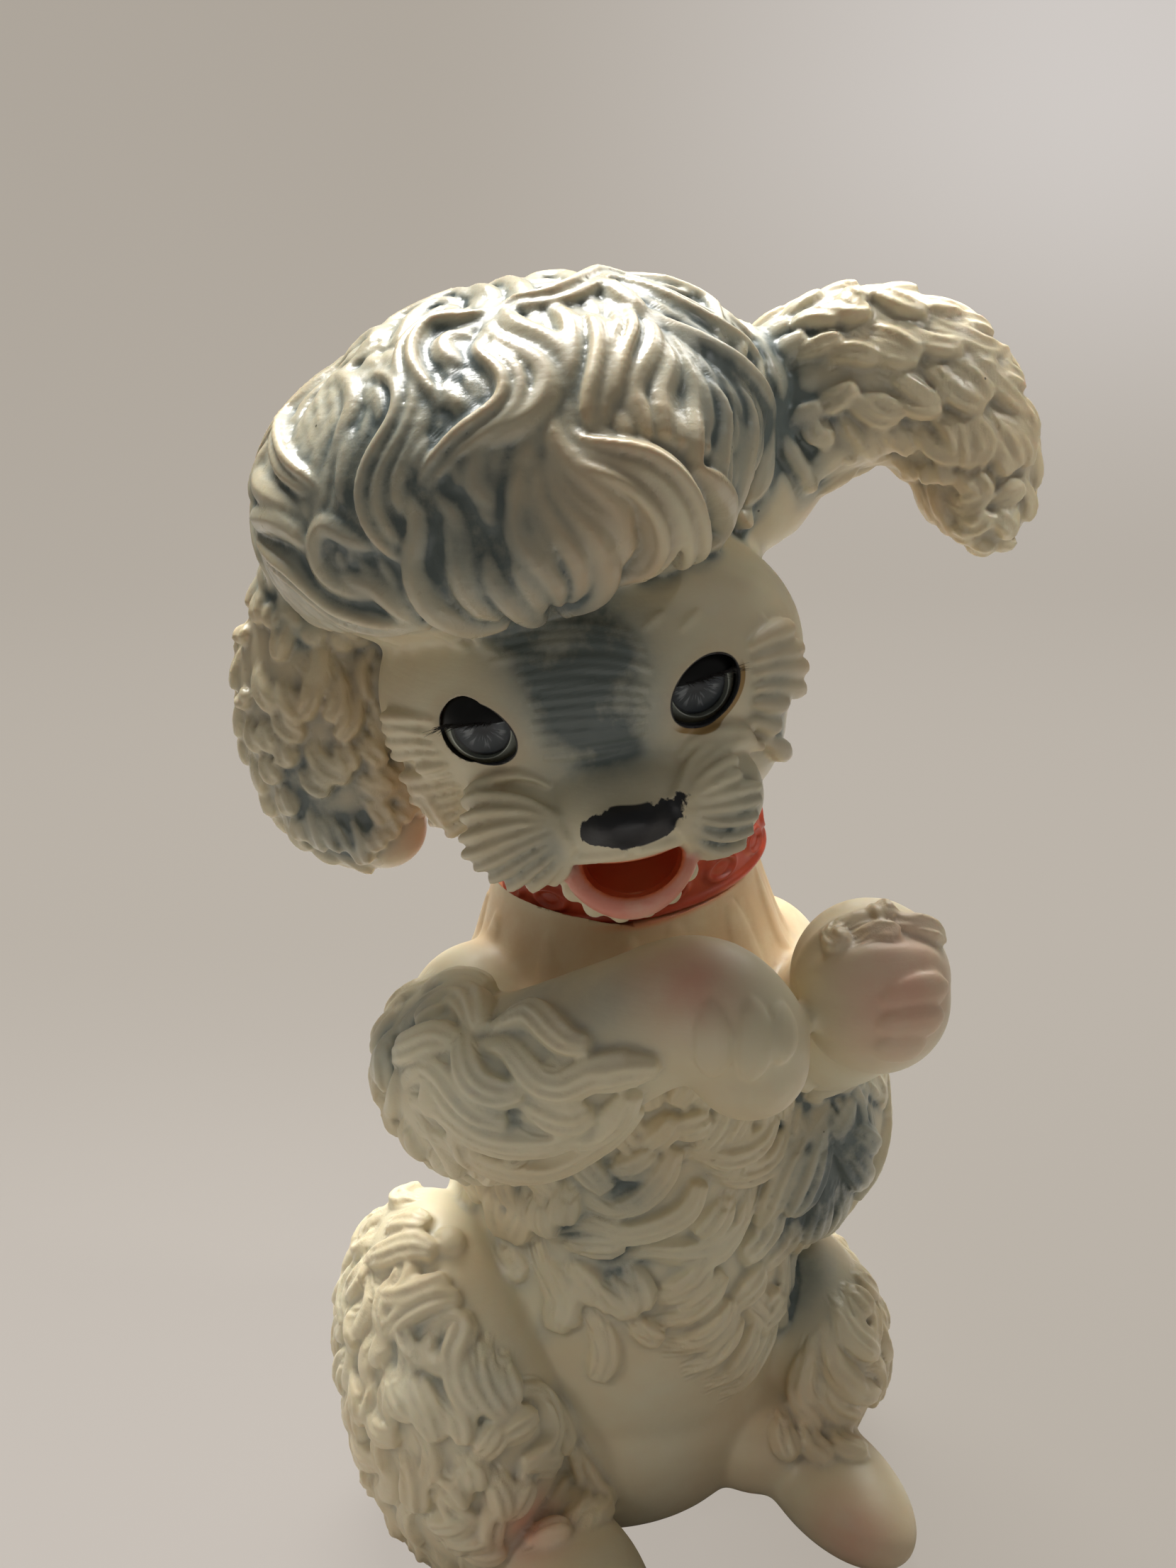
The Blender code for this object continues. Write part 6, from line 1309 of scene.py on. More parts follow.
def paint_head(obj, skin):
    places, normals, edges = mesh_arrays(obj)
    fine = hollowness(places, normals, edges, 8)
    wide = hollowness(places, normals, edges, 40)
    x, y, z = places.T
    dabs = dab_masks(skin, HEAD_DABS, HEAD_FRAME, places)
    from_hair, in_hair = from_locks(("hair",), places)
    from_ear, in_ear = from_locks(("ear", "ear_fill"), places)
    hair = 1 - fade(from_hair, 3.4, 5.2)
    ear = (1 - fade(from_ear, 2.5, 5.0)) * (1 - hair)
    fluff = 1 - fade(from_locks(("fluff",), places)[0], 2.0, 3.6)
    cheek = 1 - fade(from_locks(("cheek",), places)[0], 2.4, 4.5)
    brushed = 1 - fade(from_locks(("brushed",), places)[0], 0.1, 0.9)
    stranded = 1 - fade(np.minimum(from_hair * 0.7, from_ear), 1.9, 2.9)
    stranded *= np.where(from_hair * 0.6 < from_ear, in_hair, in_ear)
    pouf = blob(places, *POUF)

    recess = fade(fine, -0.06, 0.36) * 0.5 + fade(wide, -0.3, 1.2) * 0.8
    ridge = fade(-fine, 0.05, 0.35)
    sprayed = np.clip(0.35 + 0.9 * recess - 0.3 * ridge, 0, 1.2) * (1 - 0.65 * pouf)
    blue = hair * (0.90 * sprayed + dabs["blue"] * (0.42 + 0.5 * recess))
    blue += (1 - hair) * dabs["blue"] * (0.6 + 0.6 * recess)
    blue += fluff * recess * 0.4 * fade(-z, -36, -22)
    # The ears' blue and tan, stronger in their hollows, are partly paint and partly painted shade
    blue += ear * recess * 0.7
    tan_and_shade = hair * ridge * 0.7 * (0.4 + 0.6 * blob(places, *AROUND_POUF))
    # Painted shade: tan on the pouf, which lies in shade under the hair
    tan_and_shade += ear * (0.15 + 0.35 * recess) + cheek * ridge * 0.4 + dabs["tan_and_shade"] + 0.7 * pouf * hair
    # Painted shade: tan in the fine hollows outside the hair
    tan_and_shade += 0.35 * fade(fine, 0.1, 0.4) * (1 - hair)
    red = np.zeros(len(places))
    for centre, sizes in MOUTH_FORMS:
        reach = np.linalg.norm((places - np.array(centre)) / np.array(sizes), axis=1)
        red = np.maximum(red, 1 - fade(reach, 1.02, 1.10))
    lip = nearest(smooth_path(LIPS["lower"][1], 8), places)[0]
    pink = dabs["pink"] + 0.9 * (1 - fade(lip, 2.2, 3.8)) * fade(z, 14.0, 16.5)
    pale = blob(places, *MOUTH_PALE)
    rim, under = np.full(len(places), 9.0), np.zeros(len(places))
    for side in (-1, 1):
        away, local = eye_edge(places, side)
        rim = np.minimum(rim, away)
        # Painted shade: a soft tan ring round each eye opening's edge
        tan_and_shade += 0.35 * (1 - fade(away, 0.3, 2.6)) * (away > -1)
        if side > 0:
            under = fade(-local[:, 1], 0.5, 2.5) * (away < 3)
    blue = mean_of_neighbours(blue[:, None], edges, 3)[:, 0]
    set_masks(obj, {"blue": blue, "tan_and_shade": tan_and_shade, "pink": pink, "red": red, "black": dabs["black"], "pale": pale,
                    "rim": 0.5 + rim / RIM_REACH, "under": under, "hair": np.maximum(hair, ear * 0.8),
                    "brushed": brushed, "strand": np.minimum(from_hair * 0.6, from_ear) / STRAND_REACH,
                    "stranded": mean_of_neighbours(stranded[:, None], edges, 2)[:, 0]})


def paint_body(obj, skin):
    places, normals, edges = mesh_arrays(obj)
    fine = hollowness(places, normals, edges, 8)
    wide = hollowness(places, normals, edges, 40)
    dabs = dab_masks(skin, BODY_DABS, Matrix(), places)
    recess = fade(fine, -0.02, 0.30) * 0.6 + fade(wide, 0.0, 1.0) * 0.7
    from_curl, in_curl = from_locks(("curl", "curl_fill"), places)
    from_chest, in_chest = from_locks(("chest", "chest_fill"), places)
    stranded = 1 - fade(np.minimum(from_curl, from_chest), 1.9, 2.9)
    stranded *= np.where(from_curl < from_chest, in_curl, in_chest)
    curl, chest = 1 - fade(from_curl, 2.5, 4.5), 1 - fade(from_chest, 2.5, 5.0)
    blue = recess * (0.40 * chest + 0.35 * curl) + dabs["blue"] * (0.75 + 0.5 * recess)
    blue = mean_of_neighbours(blue[:, None], edges, 2)[:, 0]
    # Painted shade: tan in the fine hollows; also more tan towards the bottom, and tan dabs
    tan_and_shade = 0.25 * fade(fine, 0.05, 0.4) + 0.25 * fade(-places[:, 2], -60, 0) + dabs["tan_and_shade"]
    back = NECK_FRAME.inverted()
    local = places @ np.array(back)[:3, :3].T + np.array(back)[:3, 3]
    height, from_axis = local[:, 2], np.hypot(local[:, 0], local[:, 1])
    # Painted shade: tan round the neck below the collar, where the head and collar shade it
    tan_and_shade += 0.8 * (1 - fade(np.abs(height - NECK_SHADE_HEIGHT), 8, 20)) * (1 - fade(from_axis, 30, 40))
    red = 0.6 * (1 - fade(np.abs(height - COLLAR_BOTTOM), 0.2, 1.3)) * (1 - fade(from_axis, 26.5, 27.8))
    set_masks(obj, {"blue": blue, "tan_and_shade": tan_and_shade, "pink": dabs["pink"], "red": red, "rim": np.ones(len(places)),
                    "hair": np.maximum(curl, chest),
                    "strand": np.minimum(from_curl, from_chest) / STRAND_REACH,
                    "stranded": mean_of_neighbours(stranded[:, None], edges, 2)[:, 0]})


# Materials

CREAM = (0.73, 0.665, 0.47)
CREAM_WARM = (0.70, 0.59, 0.385)
BLUE = (0.205, 0.250, 0.245)
BLUE_DARK = (0.085, 0.120, 0.125)
# Brown for tan paint, also used as painted shade
TAN_AND_SHADE = (0.60, 0.40, 0.22)
PINK = (0.72, 0.25, 0.18)
RED_INSIDE = (0.72, 0.17, 0.06)
PALE_INSIDE = (0.82, 0.42, 0.20)
BLACK = (0.012, 0.012, 0.014)
RIM_TAN = (0.34, 0.21, 0.07)
SPECK = (0.03, 0.025, 0.02)
COLLAR_RED = (0.52, 0.068, 0.024)
IRIS_DARK = (0.03, 0.036, 0.042)
IRIS_BLUE = (0.10, 0.12, 0.135)
IRIS_RAY = (0.66, 0.70, 0.72)
IRIS_EDGE = (0.008, 0.009, 0.011)
LENS_CLEAN = (0.01, 0.012, 0.014)
LENS_MILKY = (0.06, 0.07, 0.075)


def node(tree, kind, inputs=(), **settings):
    """A new node with its settings, and its inputs as values or other nodes' outputs."""
    made = tree.nodes.new(kind)
    for name, value in settings.items():
        setattr(made, name, value)
    for key, value in dict(inputs).items():
        if isinstance(value, bpy.types.NodeSocket):
            tree.links.new(value, made.inputs[key])
        else:
            made.inputs[key].default_value = value
    return made


def math_node(tree, operation, a, b=0.0, clamp=False):
    return node(tree, "ShaderNodeMath", {0: a, 1: b}, operation=operation, use_clamp=clamp).outputs[0]


def times(tree, a, b, clamp=False):
    return math_node(tree, "MULTIPLY", a, b, clamp)


def mixed(tree, share, a, b):
    """The colour between a and b."""
    made = node(tree, "ShaderNodeMix", {0: share}, data_type="RGBA")
    for index, value in ((6, a), (7, b)):
        if isinstance(value, bpy.types.NodeSocket):
            tree.links.new(value, made.inputs[index])
        else:
            made.inputs[index].default_value = (*value, 1)
    return made.outputs[2]


def spread(tree, value, low, high, out_low=0.0, out_high=1.0):
    made = node(tree, "ShaderNodeMapRange", {0: value, 1: low, 2: high, 3: out_low, 4: out_high},
                interpolation_type="SMOOTHSTEP")
    return made.outputs[0]


def noise(tree, where, scale, detail=3.0, roughness=0.55):
    made = node(tree, "ShaderNodeTexNoise", {"Vector": where, "Scale": scale, "Detail": detail,
                                             "Roughness": roughness})
    return made.outputs["Fac"]


def mask(tree, name):
    return node(tree, "ShaderNodeAttribute", attribute_name=name).outputs["Fac"]


def new_material(name):
    material = bpy.data.materials.new(name)
    material.use_nodes = True
    tree = material.node_tree
    shader = tree.nodes["Principled BSDF"]
    return material, tree, shader


def painted_vinyl(name, roughness, strands_depth):
    """Soft cream vinyl with airbrushed blue, tan that is partly rubbed paint and partly painted shade,
    black painted shade on the walls of the eye openings, small specks of dirt, and fine grooves
    along its strands of so much depth."""
    material, tree, shader = new_material(name)
    where = node(tree, "ShaderNodeTexCoord").outputs["Object"]
    coarse = noise(tree, where, 38, 4)
    cloud = noise(tree, where, 110, 5, 0.6)
    grain = noise(tree, where, 900, 3, 0.6)

    colour = mixed(tree, spread(tree, coarse, 0.35, 0.7), CREAM, CREAM_WARM)
    # Tan, which is partly paint and partly painted shade
    tan_and_shade = times(tree, mask(tree, "tan_and_shade"), spread(tree, cloud, 0.3, 0.62, 0.55, 1.1))
    colour = mixed(tree, times(tree, tan_and_shade, 0.8, True), colour, TAN_AND_SHADE)
    pink = times(tree, mask(tree, "pink"), spread(tree, cloud, 0.3, 0.6, 0.7, 1.05), True)
    colour = mixed(tree, pink, colour, PINK)
    blue = times(tree, mask(tree, "blue"), spread(tree, cloud, 0.28, 0.62, 0.75, 1.12), True)
    blues = mixed(tree, spread(tree, blue, 0.55, 1.0), BLUE, BLUE_DARK)
    colour = mixed(tree, times(tree, blue, 0.92, True), colour, blues)
    inside = mixed(tree, times(tree, mask(tree, "pale"), 1.0, True), RED_INSIDE, PALE_INSIDE)
    colour = mixed(tree, mask(tree, "red"), colour, inside)
    chipped = math_node(tree, "SUBTRACT", mask(tree, "black"), spread(tree, cloud, 0.45, 0.62, 0.0, 0.55))
    colour = mixed(tree, spread(tree, chipped, 0.25, 0.42), colour, BLACK)
    rim = mask(tree, "rim")
    worn = spread(tree, rim, 0.5 + 1.05 / RIM_REACH, 0.5 + 0.8 / RIM_REACH)
    colour = mixed(tree, times(tree, worn, mask(tree, "under")), colour, RIM_TAN)
    # Painted shade: black on the walls of the eye openings and just past their edges, for the dark gap round
    # the eyeballs
    colour = mixed(tree, spread(tree, rim, 0.5 + 0.24 / RIM_REACH, 0.5 + 0.06 / RIM_REACH), colour, BLACK)
    cells = node(tree, "ShaderNodeTexVoronoi", {"Vector": where, "Scale": 150.0, "Randomness": 1.0})
    number = node(tree, "ShaderNodeSeparateColor", {0: cells.outputs["Color"]}).outputs[0]
    some = math_node(tree, "GREATER_THAN", number, 0.90)
    speck = times(tree, spread(tree, cells.outputs["Distance"], 0.05, 0.025), some)
    colour = mixed(tree, times(tree, speck, 0.85), colour, SPECK)
    tree.links.new(colour, shader.inputs["Base Color"])

    rough = math_node(tree, "ADD", roughness, spread(tree, cloud, 0.3, 0.7, -0.07, 0.10))
    rough = math_node(tree, "SUBTRACT", rough, times(tree, mask(tree, "hair"), 0.08))
    tree.links.new(rough, shader.inputs["Roughness"])
    shader.inputs["Subsurface Weight"].default_value = 0.22
    shader.inputs["Subsurface Radius"].default_value = (1.0, 0.6, 0.35)
    shader.inputs["Subsurface Scale"].default_value = 0.0025
    shader.inputs["Specular IOR Level"].default_value = 0.5

    strands = node(tree, "ShaderNodeMapping", {"Vector": where, "Scale": (60, 60, 700)})
    brushed = noise(tree, strands.outputs[0], 1.0, 3)
    wave = times(tree, mask(tree, "strand"), 2 * math.pi * STRAND_REACH / STRAND_PITCH)
    wave = math_node(tree, "ADD", math_node(tree, "COSINE", wave), spread(tree, cloud, 0.3, 0.7, -0.7, 0.7))
    wave = times(tree, wave, mask(tree, "stranded"))
    wave = math_node(tree, "ADD", wave, times(tree, mask(tree, "brushed"), 1.6))
    normal = {}
    for strength, distance, height in ((strands_depth, 0.00022, wave), (0.35, 0.00025, cloud),
                                       (0.25, 0.0001, grain), (0.18, 0.0003, brushed)):
        inputs = {"Strength": strength, "Distance": distance, "Height": height}
        normal = {"Normal": node(tree, "ShaderNodeBump", inputs | normal).outputs[0]}
    tree.links.new(normal["Normal"], shader.inputs["Normal"])
    return material


def plain(name, colour, roughness, metallic=0.0, grain_scale=700.0, bump_size=0.00008, mottle=0.15,
          **sockets):
    """A finish with a little mottling in its colour and roughness and a fine grain. Other sockets
    of its shader are given by their names, with underscores for spaces."""
    material, tree, shader = new_material(name)
    where = node(tree, "ShaderNodeTexCoord").outputs["Object"]
    cloud = noise(tree, where, grain_scale * 0.2, 4)
    darker = tuple(channel * (1 - mottle) for channel in colour)
    tree.links.new(mixed(tree, spread(tree, cloud, 0.3, 0.7), colour, darker), shader.inputs["Base Color"])
    rough = spread(tree, cloud, 0.3, 0.7, max(0.02, roughness - 0.05), roughness + 0.06)
    tree.links.new(rough, shader.inputs["Roughness"])
    shader.inputs["Metallic"].default_value = metallic
    for key, value in sockets.items():
        shader.inputs[key.replace("_", " ")].default_value = value
    bump = node(tree, "ShaderNodeBump", {"Strength": 0.3, "Distance": bump_size,
                                         "Height": noise(tree, where, grain_scale, 3)})
    tree.links.new(bump.outputs[0], shader.inputs["Normal"])
    return material


def coat(obj, material):
    """Give the object this finish alone."""
    obj.data.materials.clear()
    obj.data.materials.append(material)


# Eyes, in millimetres in the eye's frame, X along the pin and -Y out of the face

# The bowl in the ball, the dished disc of the iris in it, and the lens over them
BOWL_ROOM, BOWL_WALL, BOWL_FLOOR = 0.25, 0.15, 4.1
DISC_RADIUS, DISC_BACK, DISC_FRONT, DISC_DISH = 4.85, 4.2, 4.75, 0.25
LENS_BACK, LENS_SINK, LENS_ROOM = 5.07, 0.02, 0.1
# The lid's half width, the degrees from level to its edge, and those that it sweeps back from there
LID_HALF_WIDTH, LID_EDGE, LID_SWEEP = 6.6, 12, 100
# How many lashes there are, where across the eye they start and end, and how thick they are
LASHES, LASH_START, LASH_END, LASH_RADIUS = 70, 5.4, -2.8, 0.075


def arc(radius, start, end, count):
    """Profile pairs on an arc about the origin between two heights."""
    a, b = math.asin(start / radius), math.asin(end / radius)
    return [(max(0.0, radius * math.cos(a + (b - a) * k / count)), radius * math.sin(a + (b - a) * k / count))
            for k in range(count + 1)]


def make_ball():
    rim = IRIS_RADIUS + BOWL_ROOM
    bowl = rim - BOWL_WALL
    edge = math.sqrt(BALL_RADIUS ** 2 - rim ** 2)
    profile = [(0, -BALL_RADIUS)] + arc(BALL_RADIUS, -BALL_RADIUS * 0.99, edge, 24)
    return turned("ball", profile + [(bowl, edge), (bowl, BOWL_FLOOR), (0, BOWL_FLOOR)], TO_FRONT)


def make_iris():
    """A dished disc, with its own places kept for the pattern of its rays."""
    profile = [(0, DISC_BACK), (DISC_RADIUS, DISC_BACK), (DISC_RADIUS, DISC_FRONT)]
    for k in range(1, 8):
        profile.append((DISC_RADIUS * (1 - k / 8), DISC_FRONT - DISC_DISH * math.sin(k / 8 * math.pi / 2)))
    obj = turned("iris", profile + [(0, DISC_FRONT - DISC_DISH)], TO_FRONT)
    local = np.array([vert.co[:] for vert in obj.data.vertices])
    layer = obj.data.attributes.new("local", "FLOAT_VECTOR", "POINT")
    flat = np.column_stack((local[:, 0], local[:, 2], local[:, 1] * 0)) / IRIS_RADIUS
    layer.data.foreach_set("vector", flat.astype(np.float32).ravel())
    return obj


def make_lens():
    edge = math.sqrt(BALL_RADIUS ** 2 - IRIS_RADIUS ** 2)
    dome = arc(BALL_RADIUS - LENS_SINK, edge, BALL_RADIUS * 0.9999 - 0.03, 20)
    profile = [(0, LENS_BACK), (IRIS_RADIUS - LENS_ROOM, LENS_BACK)] + dome[:-1]
    return turned("lens", profile + [(0, BALL_RADIUS - LENS_SINK)], TO_FRONT)


def make_lid(columns=40, rows=22):
    """A thin hood over the top of the ball, of an inner and an outer skin joined at their edges."""
    bm = bmesh.new()
    widest = math.asin(LID_HALF_WIDTH / LID_OUTER)
    skins = []
    for radius in (LID_INNER + 0.02, LID_OUTER):
        grid = []
        for row in range(rows + 1):
            lift = (LID_EDGE + LID_SWEEP * row / rows) * DEG
            line = []
            for column in range(columns + 1):
                across = -widest + 2 * widest * column / columns
                reach = radius * math.cos(across)
                place = (radius * math.sin(across), -reach * math.cos(lift), reach * math.sin(lift))
                line.append(bm.verts.new(place))
            grid.append(line)
        skins.append(grid)
        for row in range(rows):
            for column in range(columns):
                bm.faces.new((grid[row][column], grid[row][column + 1],
                              grid[row + 1][column + 1], grid[row + 1][column]))
    edges = [[grid[0] for grid in skins], [grid[-1] for grid in skins],
             [[line[0] for line in grid] for grid in skins], [[line[-1] for line in grid] for grid in skins]]
    for near, far in edges:
        for k in range(len(near) - 1):
            bm.faces.new((near[k], near[k + 1], far[k + 1], far[k]))
    return from_bmesh(bm, "lid")


def make_lashes(side):
    """Fine tapered hairs along the lid's edge, thickest at its outer corner."""
    clay = Clay()
    for k in range(LASHES):
        share = min(1, max(0, (k + rng.uniform(-0.3, 0.3)) / (LASHES - 1)))
        across = side * (LASH_START + (LASH_END - LASH_START) * share ** 1.3)
        root = LID_OUTER - 0.05
        turn = math.asin(across / root)
        lift = (13 + rng.uniform(-1.5, 2.0)) * DEG
        out = np.array((math.sin(turn), -math.cos(turn) * math.cos(lift), math.cos(turn) * math.sin(lift)))
        sag = np.array((side * rng.uniform(0.5, 1.0) * (1.7 - share), 0, rng.uniform(-0.9, 0.1)))
        long = rng.uniform(1.4, 2.1) * (1.15 - 0.6 * share)
        t = np.linspace(0, 1, 6)[:, None]
        rows = out * root + out * (t * long * 0.75) + sag * (t ** 1.5 * long * 0.75)
        thick = LASH_RADIUS * (1 - 0.8 * t[:, 0])
        clay.tube(rows, np.tile((0, 0, 1), (6, 1)), thick, thick, 5)
    return clay.object("lashes")


# Collar, in the neck's frame: a bead at its foot, a flat face with oval studs and a soft top edge

COLLAR_BEAD = ((24.6, -9.5), (25.4, -9.25), (25.78, -8.8), (25.8, -8.3), (25.5, -7.85))
FACE_SINK, FACE_BOTTOM, FACE_TOP = 0.65, -7.5, -1.9
COLLAR_SHOULDER = ((0.2, -1.45), (0.65, -1.1))
STUDS, STUD_MIDDLE, STUD_HALF_LENGTH, STUD_HALF_HEIGHT = 14, -4.7, 4.1, 2.4
STUD_RIM_RISE, STUD_DOME_RISE = 0.80, 0.25


def stud_rise(reach):
    """How far a stud stands out: a raised oval rim round a low dome."""
    rim = math.exp(-((reach - 0.82) / 0.20) ** 2)
    return STUD_RIM_RISE * rim + STUD_DOME_RISE * (1 - float(fade(reach, 0.2, 0.55)))


def make_collar(columns=420):
    face = COLLAR_OUTER - FACE_SINK
    profile = [(COLLAR_INNER, COLLAR_BOTTOM), *COLLAR_BEAD]
    profile += [(face, height) for height in np.linspace(FACE_BOTTOM, FACE_TOP, 26)]
    profile += [(face - inset, height) for inset, height in COLLAR_SHOULDER]
    profile.append((COLLAR_INNER, COLLAR_TOP))
    pitch = 2 * math.pi / STUDS
    bm = bmesh.new()
    rings = []
    for k in range(columns):
        angle = 2 * math.pi * k / columns
        away = (angle - round(angle / pitch) * pitch) * face
        ring = []
        for radius, height in profile:
            if FACE_BOTTOM <= height <= FACE_TOP:
                reach = math.hypot(away / STUD_HALF_LENGTH, (height - STUD_MIDDLE) / STUD_HALF_HEIGHT)
                radius += stud_rise(reach)
            ring.append(bm.verts.new((radius * math.cos(angle), radius * math.sin(angle), height)))
        rings.append(ring)
    for near, far in zip(rings, rings[1:] + rings[:1]):
        for k in range(len(profile)):
            bm.faces.new((near[k - 1], far[k - 1], far[k], near[k]))
    return from_bmesh(bm, "collar_ring")


def iris_material():
    """Dark blue-grey with fine pale rays that run out from a darker middle."""
    material, tree, shader = new_material("iris_rays")
    local = node(tree, "ShaderNodeAttribute", attribute_name="local").outputs["Vector"]
    reach = node(tree, "ShaderNodeVectorMath", {0: local}, operation="LENGTH").outputs["Value"]
    way = node(tree, "ShaderNodeVectorMath", {0: local}, operation="NORMALIZE").outputs["Vector"]
    way = node(tree, "ShaderNodeVectorMath", {0: way, "Scale": 2.1}, operation="SCALE").outputs["Vector"]
    outward = node(tree, "ShaderNodeCombineXYZ", {2: times(tree, reach, 0.5)}).outputs[0]
    stretch = node(tree, "ShaderNodeVectorMath", {0: way, 1: outward}, operation="ADD").outputs["Vector"]
    streak = spread(tree, noise(tree, stretch, 2.4, 3, 0.6), 0.50, 0.60)
    zone = times(tree, spread(tree, reach, 0.26, 0.42), spread(tree, reach, 0.88, 0.62))
    ground = mixed(tree, spread(tree, reach, 0.20, 0.60), IRIS_DARK, IRIS_BLUE)
    colour = mixed(tree, times(tree, times(tree, streak, zone), 0.75), ground, IRIS_RAY)
    colour = mixed(tree, spread(tree, reach, 0.90, 0.98), colour, IRIS_EDGE)
    tree.links.new(colour, shader.inputs["Base Color"])
    shader.inputs["Roughness"].default_value = 0.35
    return material


def lens_material():
    """Clear plastic gone a little milky, seen through by its share of alpha."""
    material, tree, shader = new_material("lens_clear")
    where = node(tree, "ShaderNodeTexCoord").outputs["Object"]
    scratches = noise(tree, where, 2600, 2)
    tree.links.new(spread(tree, scratches, 0.45, 0.75, 0.05, 0.16), shader.inputs["Roughness"])
    cloud = noise(tree, where, 420, 3)
    milk = mixed(tree, spread(tree, cloud, 0.35, 0.7), LENS_CLEAN, LENS_MILKY)
    tree.links.new(milk, shader.inputs["Base Color"])
    shader.inputs["Alpha"].default_value = 0.14
    shader.inputs["Specular IOR Level"].default_value = 1.0
    bump = node(tree, "ShaderNodeBump", {"Strength": 0.05, "Distance": 0.00005, "Height": scratches})
    tree.links.new(bump.outputs[0], shader.inputs["Normal"])
    return material


# Build

def place_mesh(obj, frame_here):
    """Bring a mesh in millimetres to its place in the world, in metres."""
    obj.data.transform(TO_METRES @ frame_here)
    obj.data.shade_smooth()


def settle(obj, name, frame_here, material, body, stands_for, sharp=None):
    """Place the piece, give it its finish and have it ride with its body."""
    obj.name = name
    place_mesh(obj, frame_here)
    if sharp:
        obj.data.set_sharp_from_angle(angle=sharp * DEG)
    coat(obj, material)
    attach(obj, body)
    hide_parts(stands_for)


head_obj, head_base = make_head_skin()
paint_head(head_obj, head_base)
head_paint = painted_vinyl("head_vinyl_paint", 0.40, 0.30)
settle(head_obj, "head_skin", HEAD_FRAME, head_paint, "head", "head_shell")

body_obj, body_base = make_body_skin()
paint_body(body_obj, body_base)
body_paint = painted_vinyl("body_vinyl_paint", 0.50, 0.55)
settle(body_obj, "body_skin", Matrix(), body_paint, "body", "body_shell")

collar_red = plain("collar_red", COLLAR_RED, 0.40, 0.0, 500.0, 0.00012, 0.25, Subsurface_Weight=0.15,
                   Subsurface_Scale=0.002)
settle(make_collar(), "collar_ring", NECK_FRAME, collar_red, "body", "collar")

ball_finish = plain("eye_plastic_aged", (0.64, 0.68, 0.58), 0.28, 0.0, 900.0, 0.00003, 0.2)
lid_finish = plain("lid_black_gloss", (0.008, 0.008, 0.008), 0.35, 0.0, 1500.0, 0.00005, 0.3,
                   Specular_IOR_Level=0.25)
lash_finish = plain("lash_black_hair", (0.010, 0.008, 0.007), 0.6, 0.0, 1500.0, 0.00003, 0.3)
iris_finish = iris_material()
lens_finish = lens_material()
for side, word in ((-1, "right"), (1, "left")):
    here = HEAD_FRAME @ eye_frame(side)
    rider = f"eye_{word}"
    settle(make_ball(), f"ball_{word}", here, ball_finish, rider, f"eyeball_{word}", 40)
    settle(make_iris(), f"iris_disc_{word}", here, iris_finish, rider, f"iris_{word}", 40)
    settle(make_lens(), f"lens_dome_{word}", here, lens_finish, rider, f"lens_{word}", 40)
    settle(make_lid(), f"lid_{word}", here, lid_finish, rider, f"eyelid_{word}", 50)
    settle(make_lashes(side), f"lash_hairs_{word}", here, lash_finish, rider, f"lashes_{word}")

INNER = {
    "eye_cup": plain("cup_plastic_moulded", (0.40, 0.41, 0.36), 0.5, 0.0, 600.0, 0.00008, 0.2),
    "eye_pin": plain("pin_steel_drawn", (0.56, 0.56, 0.55), 0.32, 1.0, 900.0, 0.00002, 0.2),
    "counterweight": plain("weight_iron_cast", (0.22, 0.22, 0.23), 0.6, 1.0, 500.0, 0.0001, 0.3),
    "squeaker_body": plain("squeaker_pressed", (0.78, 0.78, 0.79), 0.36, 1.0, 700.0, 0.00004, 0.15),
    "squeaker_cap": plain("squeaker_cap_pressed", (0.74, 0.74, 0.75), 0.40, 1.0, 700.0, 0.00004, 0.15),
    "squeaker_reed": plain("reed_brass_rolled", (0.62, 0.44, 0.18), 0.3, 1.0, 900.0, 0.00002, 0.2),
}
for name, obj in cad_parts.items():
    stem = name.removesuffix("_left").removesuffix("_right")
    if stem in INNER:
        coat(obj, INNER[stem])


# Stage, in metres

# A sheet of paper that bends up behind the toy
FLOOR_FRONT, FLOOR_BACK, BEND_RADIUS, PAPER_TOP, PAPER_SIDE = -2.0, 0.9, 0.5, 3.0, 3.0
PAPER_CLOUD = ((0.42, 0.395, 0.37), (0.39, 0.365, 0.34))
# Tones of the paper's glow: painted light, brighter near the front on the left and up to the right
PAPER_FAR, PAPER_NEAR, PAPER_BRIGHT = (0.455, 0.41, 0.355), (0.56, 0.51, 0.46), (0.68, 0.64, 0.61)
ROOM_COLOUR, ROOM_LIGHT = (1.0, 0.97, 0.92), 0.115
WARM, PALE = (1.0, 0.98, 0.95), (1.0, 0.99, 0.97)
# Place, what the light shines at, size, power, colour and the width of its beam in degrees
LIGHTS = {
    "window": ((0.05, 0.45, 1.05), (0, 0, 0.17), (0.6, 0.45), 22, PALE, 180),
    "right": ((0.55, 0.35, 0.75), (0.05, 0, 0.17), (0.4, 0.4), 2.8, PALE, 180),
    "low": ((-0.15, -0.50, 0.03), (0, 0, 0.05), (0.5, 0.2), 0.26, WARM, 180),
    "over_ear": ((0.35, -0.30, 0.75), (0.072, 0, 0.215), (0.12, 0.12), 0.026, PALE, 9),
    "by_thigh": ((-0.45, -0.10, 0.40), (-0.05, 0, 0.045), (0.12, 0.12), 0.008, PALE, 13),
}


def area_light(name, place, target, size, power, colour, beam):
    """A soft light whose beam is so many degrees wide."""
    data = bpy.data.lights.new(name, "AREA")
    data.spread = math.radians(beam)
    data.shape = "RECTANGLE"
    data.size, data.size_y = size
    data.energy = power
    data.color = colour
    obj = bpy.data.objects.new(name, data)
    obj.location = place
    obj.rotation_euler = (Vector(target) - Vector(place)).to_track_quat("-Z", "Y").to_euler()
    bpy.context.scene.collection.objects.link(obj)


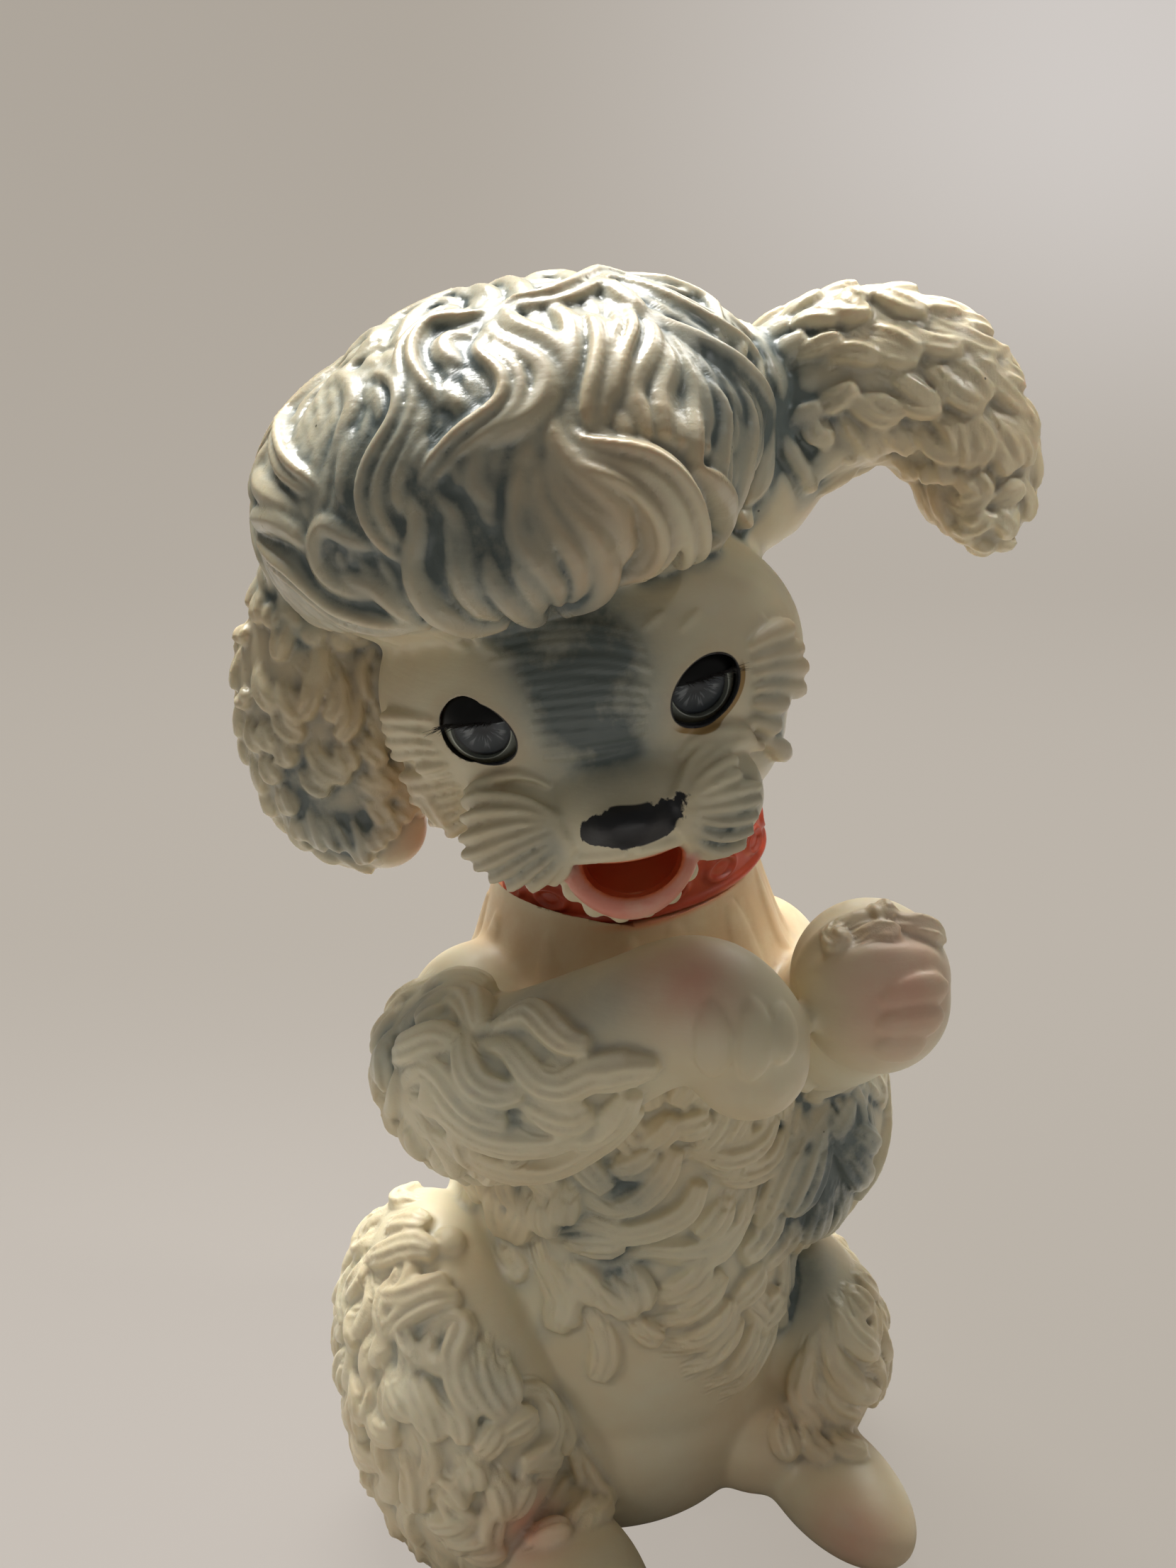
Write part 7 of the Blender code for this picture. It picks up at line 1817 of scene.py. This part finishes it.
def paper():
    """Pale paper, which the camera sees mostly by its own glow, with painted light: brighter near the front
    on the left and up to the right.
    """
    material, tree, shader = new_material("paper")
    where = node(tree, "ShaderNodeTexCoord").outputs["Object"]
    cloud = noise(tree, where, 3.0, 4)
    tree.links.new(mixed(tree, cloud, *PAPER_CLOUD), shader.inputs["Base Color"])
    shader.inputs["Roughness"].default_value = 0.9
    apart = node(tree, "ShaderNodeSeparateXYZ", {0: where})
    across, height = apart.outputs[0], apart.outputs[2]
    # Painted light: the glow is brighter up to the right and near the front on the left
    bright = times(tree, spread(tree, across, -0.2, 0.5), spread(tree, height, -0.1, 0.4))
    near = spread(tree, apart.outputs[1], 0.30, -0.05)
    near = times(tree, near, spread(tree, across, 0.10, -0.08))
    shade = mixed(tree, near, PAPER_FAR, PAPER_NEAR)
    shade = mixed(tree, bright, shade, PAPER_BRIGHT)
    glow = node(tree, "ShaderNodeEmission", {"Color": shade, "Strength": 1.0})
    seen = node(tree, "ShaderNodeLightPath").outputs["Is Camera Ray"]
    share = times(tree, seen, 0.9)
    both = node(tree, "ShaderNodeMixShader", {0: share, 1: shader.outputs[0], 2: glow.outputs[0]})
    tree.links.new(both.outputs[0], tree.nodes["Material Output"].inputs["Surface"])
    return material


def make_stage():
    rows = [(FLOOR_FRONT, 0.0), (FLOOR_BACK, 0.0)]
    rows += [(FLOOR_BACK + BEND_RADIUS * math.sin(t), BEND_RADIUS - BEND_RADIUS * math.cos(t))
             for t in np.linspace(0.1, math.pi / 2, 12)]
    rows.append((FLOOR_BACK + BEND_RADIUS, PAPER_TOP))
    bm = bmesh.new()
    lines = [[bm.verts.new((x, y, z)) for x in (-PAPER_SIDE, PAPER_SIDE)] for y, z in rows]
    for near, far in zip(lines, lines[1:]):
        bm.faces.new((near[0], near[1], far[1], far[0]))
    mesh = bpy.data.meshes.new("floor")
    bm.to_mesh(mesh)
    bm.free()
    floor = linked("floor", mesh)
    floor.data.shade_smooth()
    floor.rotation_euler.z = VIEW_AZIMUTH
    floor.data.materials.append(paper())
    world = bpy.data.worlds.new("room")
    bpy.context.scene.world = world
    world.use_nodes = True
    background = world.node_tree.nodes["Background"]
    background.inputs["Color"].default_value = (*ROOM_COLOUR, 1)
    background.inputs["Strength"].default_value = ROOM_LIGHT
    for name, settings in LIGHTS.items():
        area_light(name, *settings)


def make_camera():
    """The camera of the view that the strokes are drawn in."""
    back = view_back()
    data = bpy.data.cameras.new("camera")
    data.sensor_width = 36
    data.lens = data.sensor_width * VIEW_FOCAL / (2 * VIEW_MIDDLE[1])
    camera = bpy.data.objects.new("camera", data)
    camera.location = (VIEW_TARGET + back * VIEW_DISTANCE) * MM
    camera.rotation_euler = (-back).to_track_quat("-Z", "Y").to_euler()
    bpy.context.scene.collection.objects.link(camera)
    bpy.context.scene.camera = camera


make_stage()
make_camera()
bpy.context.scene.view_settings.view_transform = "Standard"
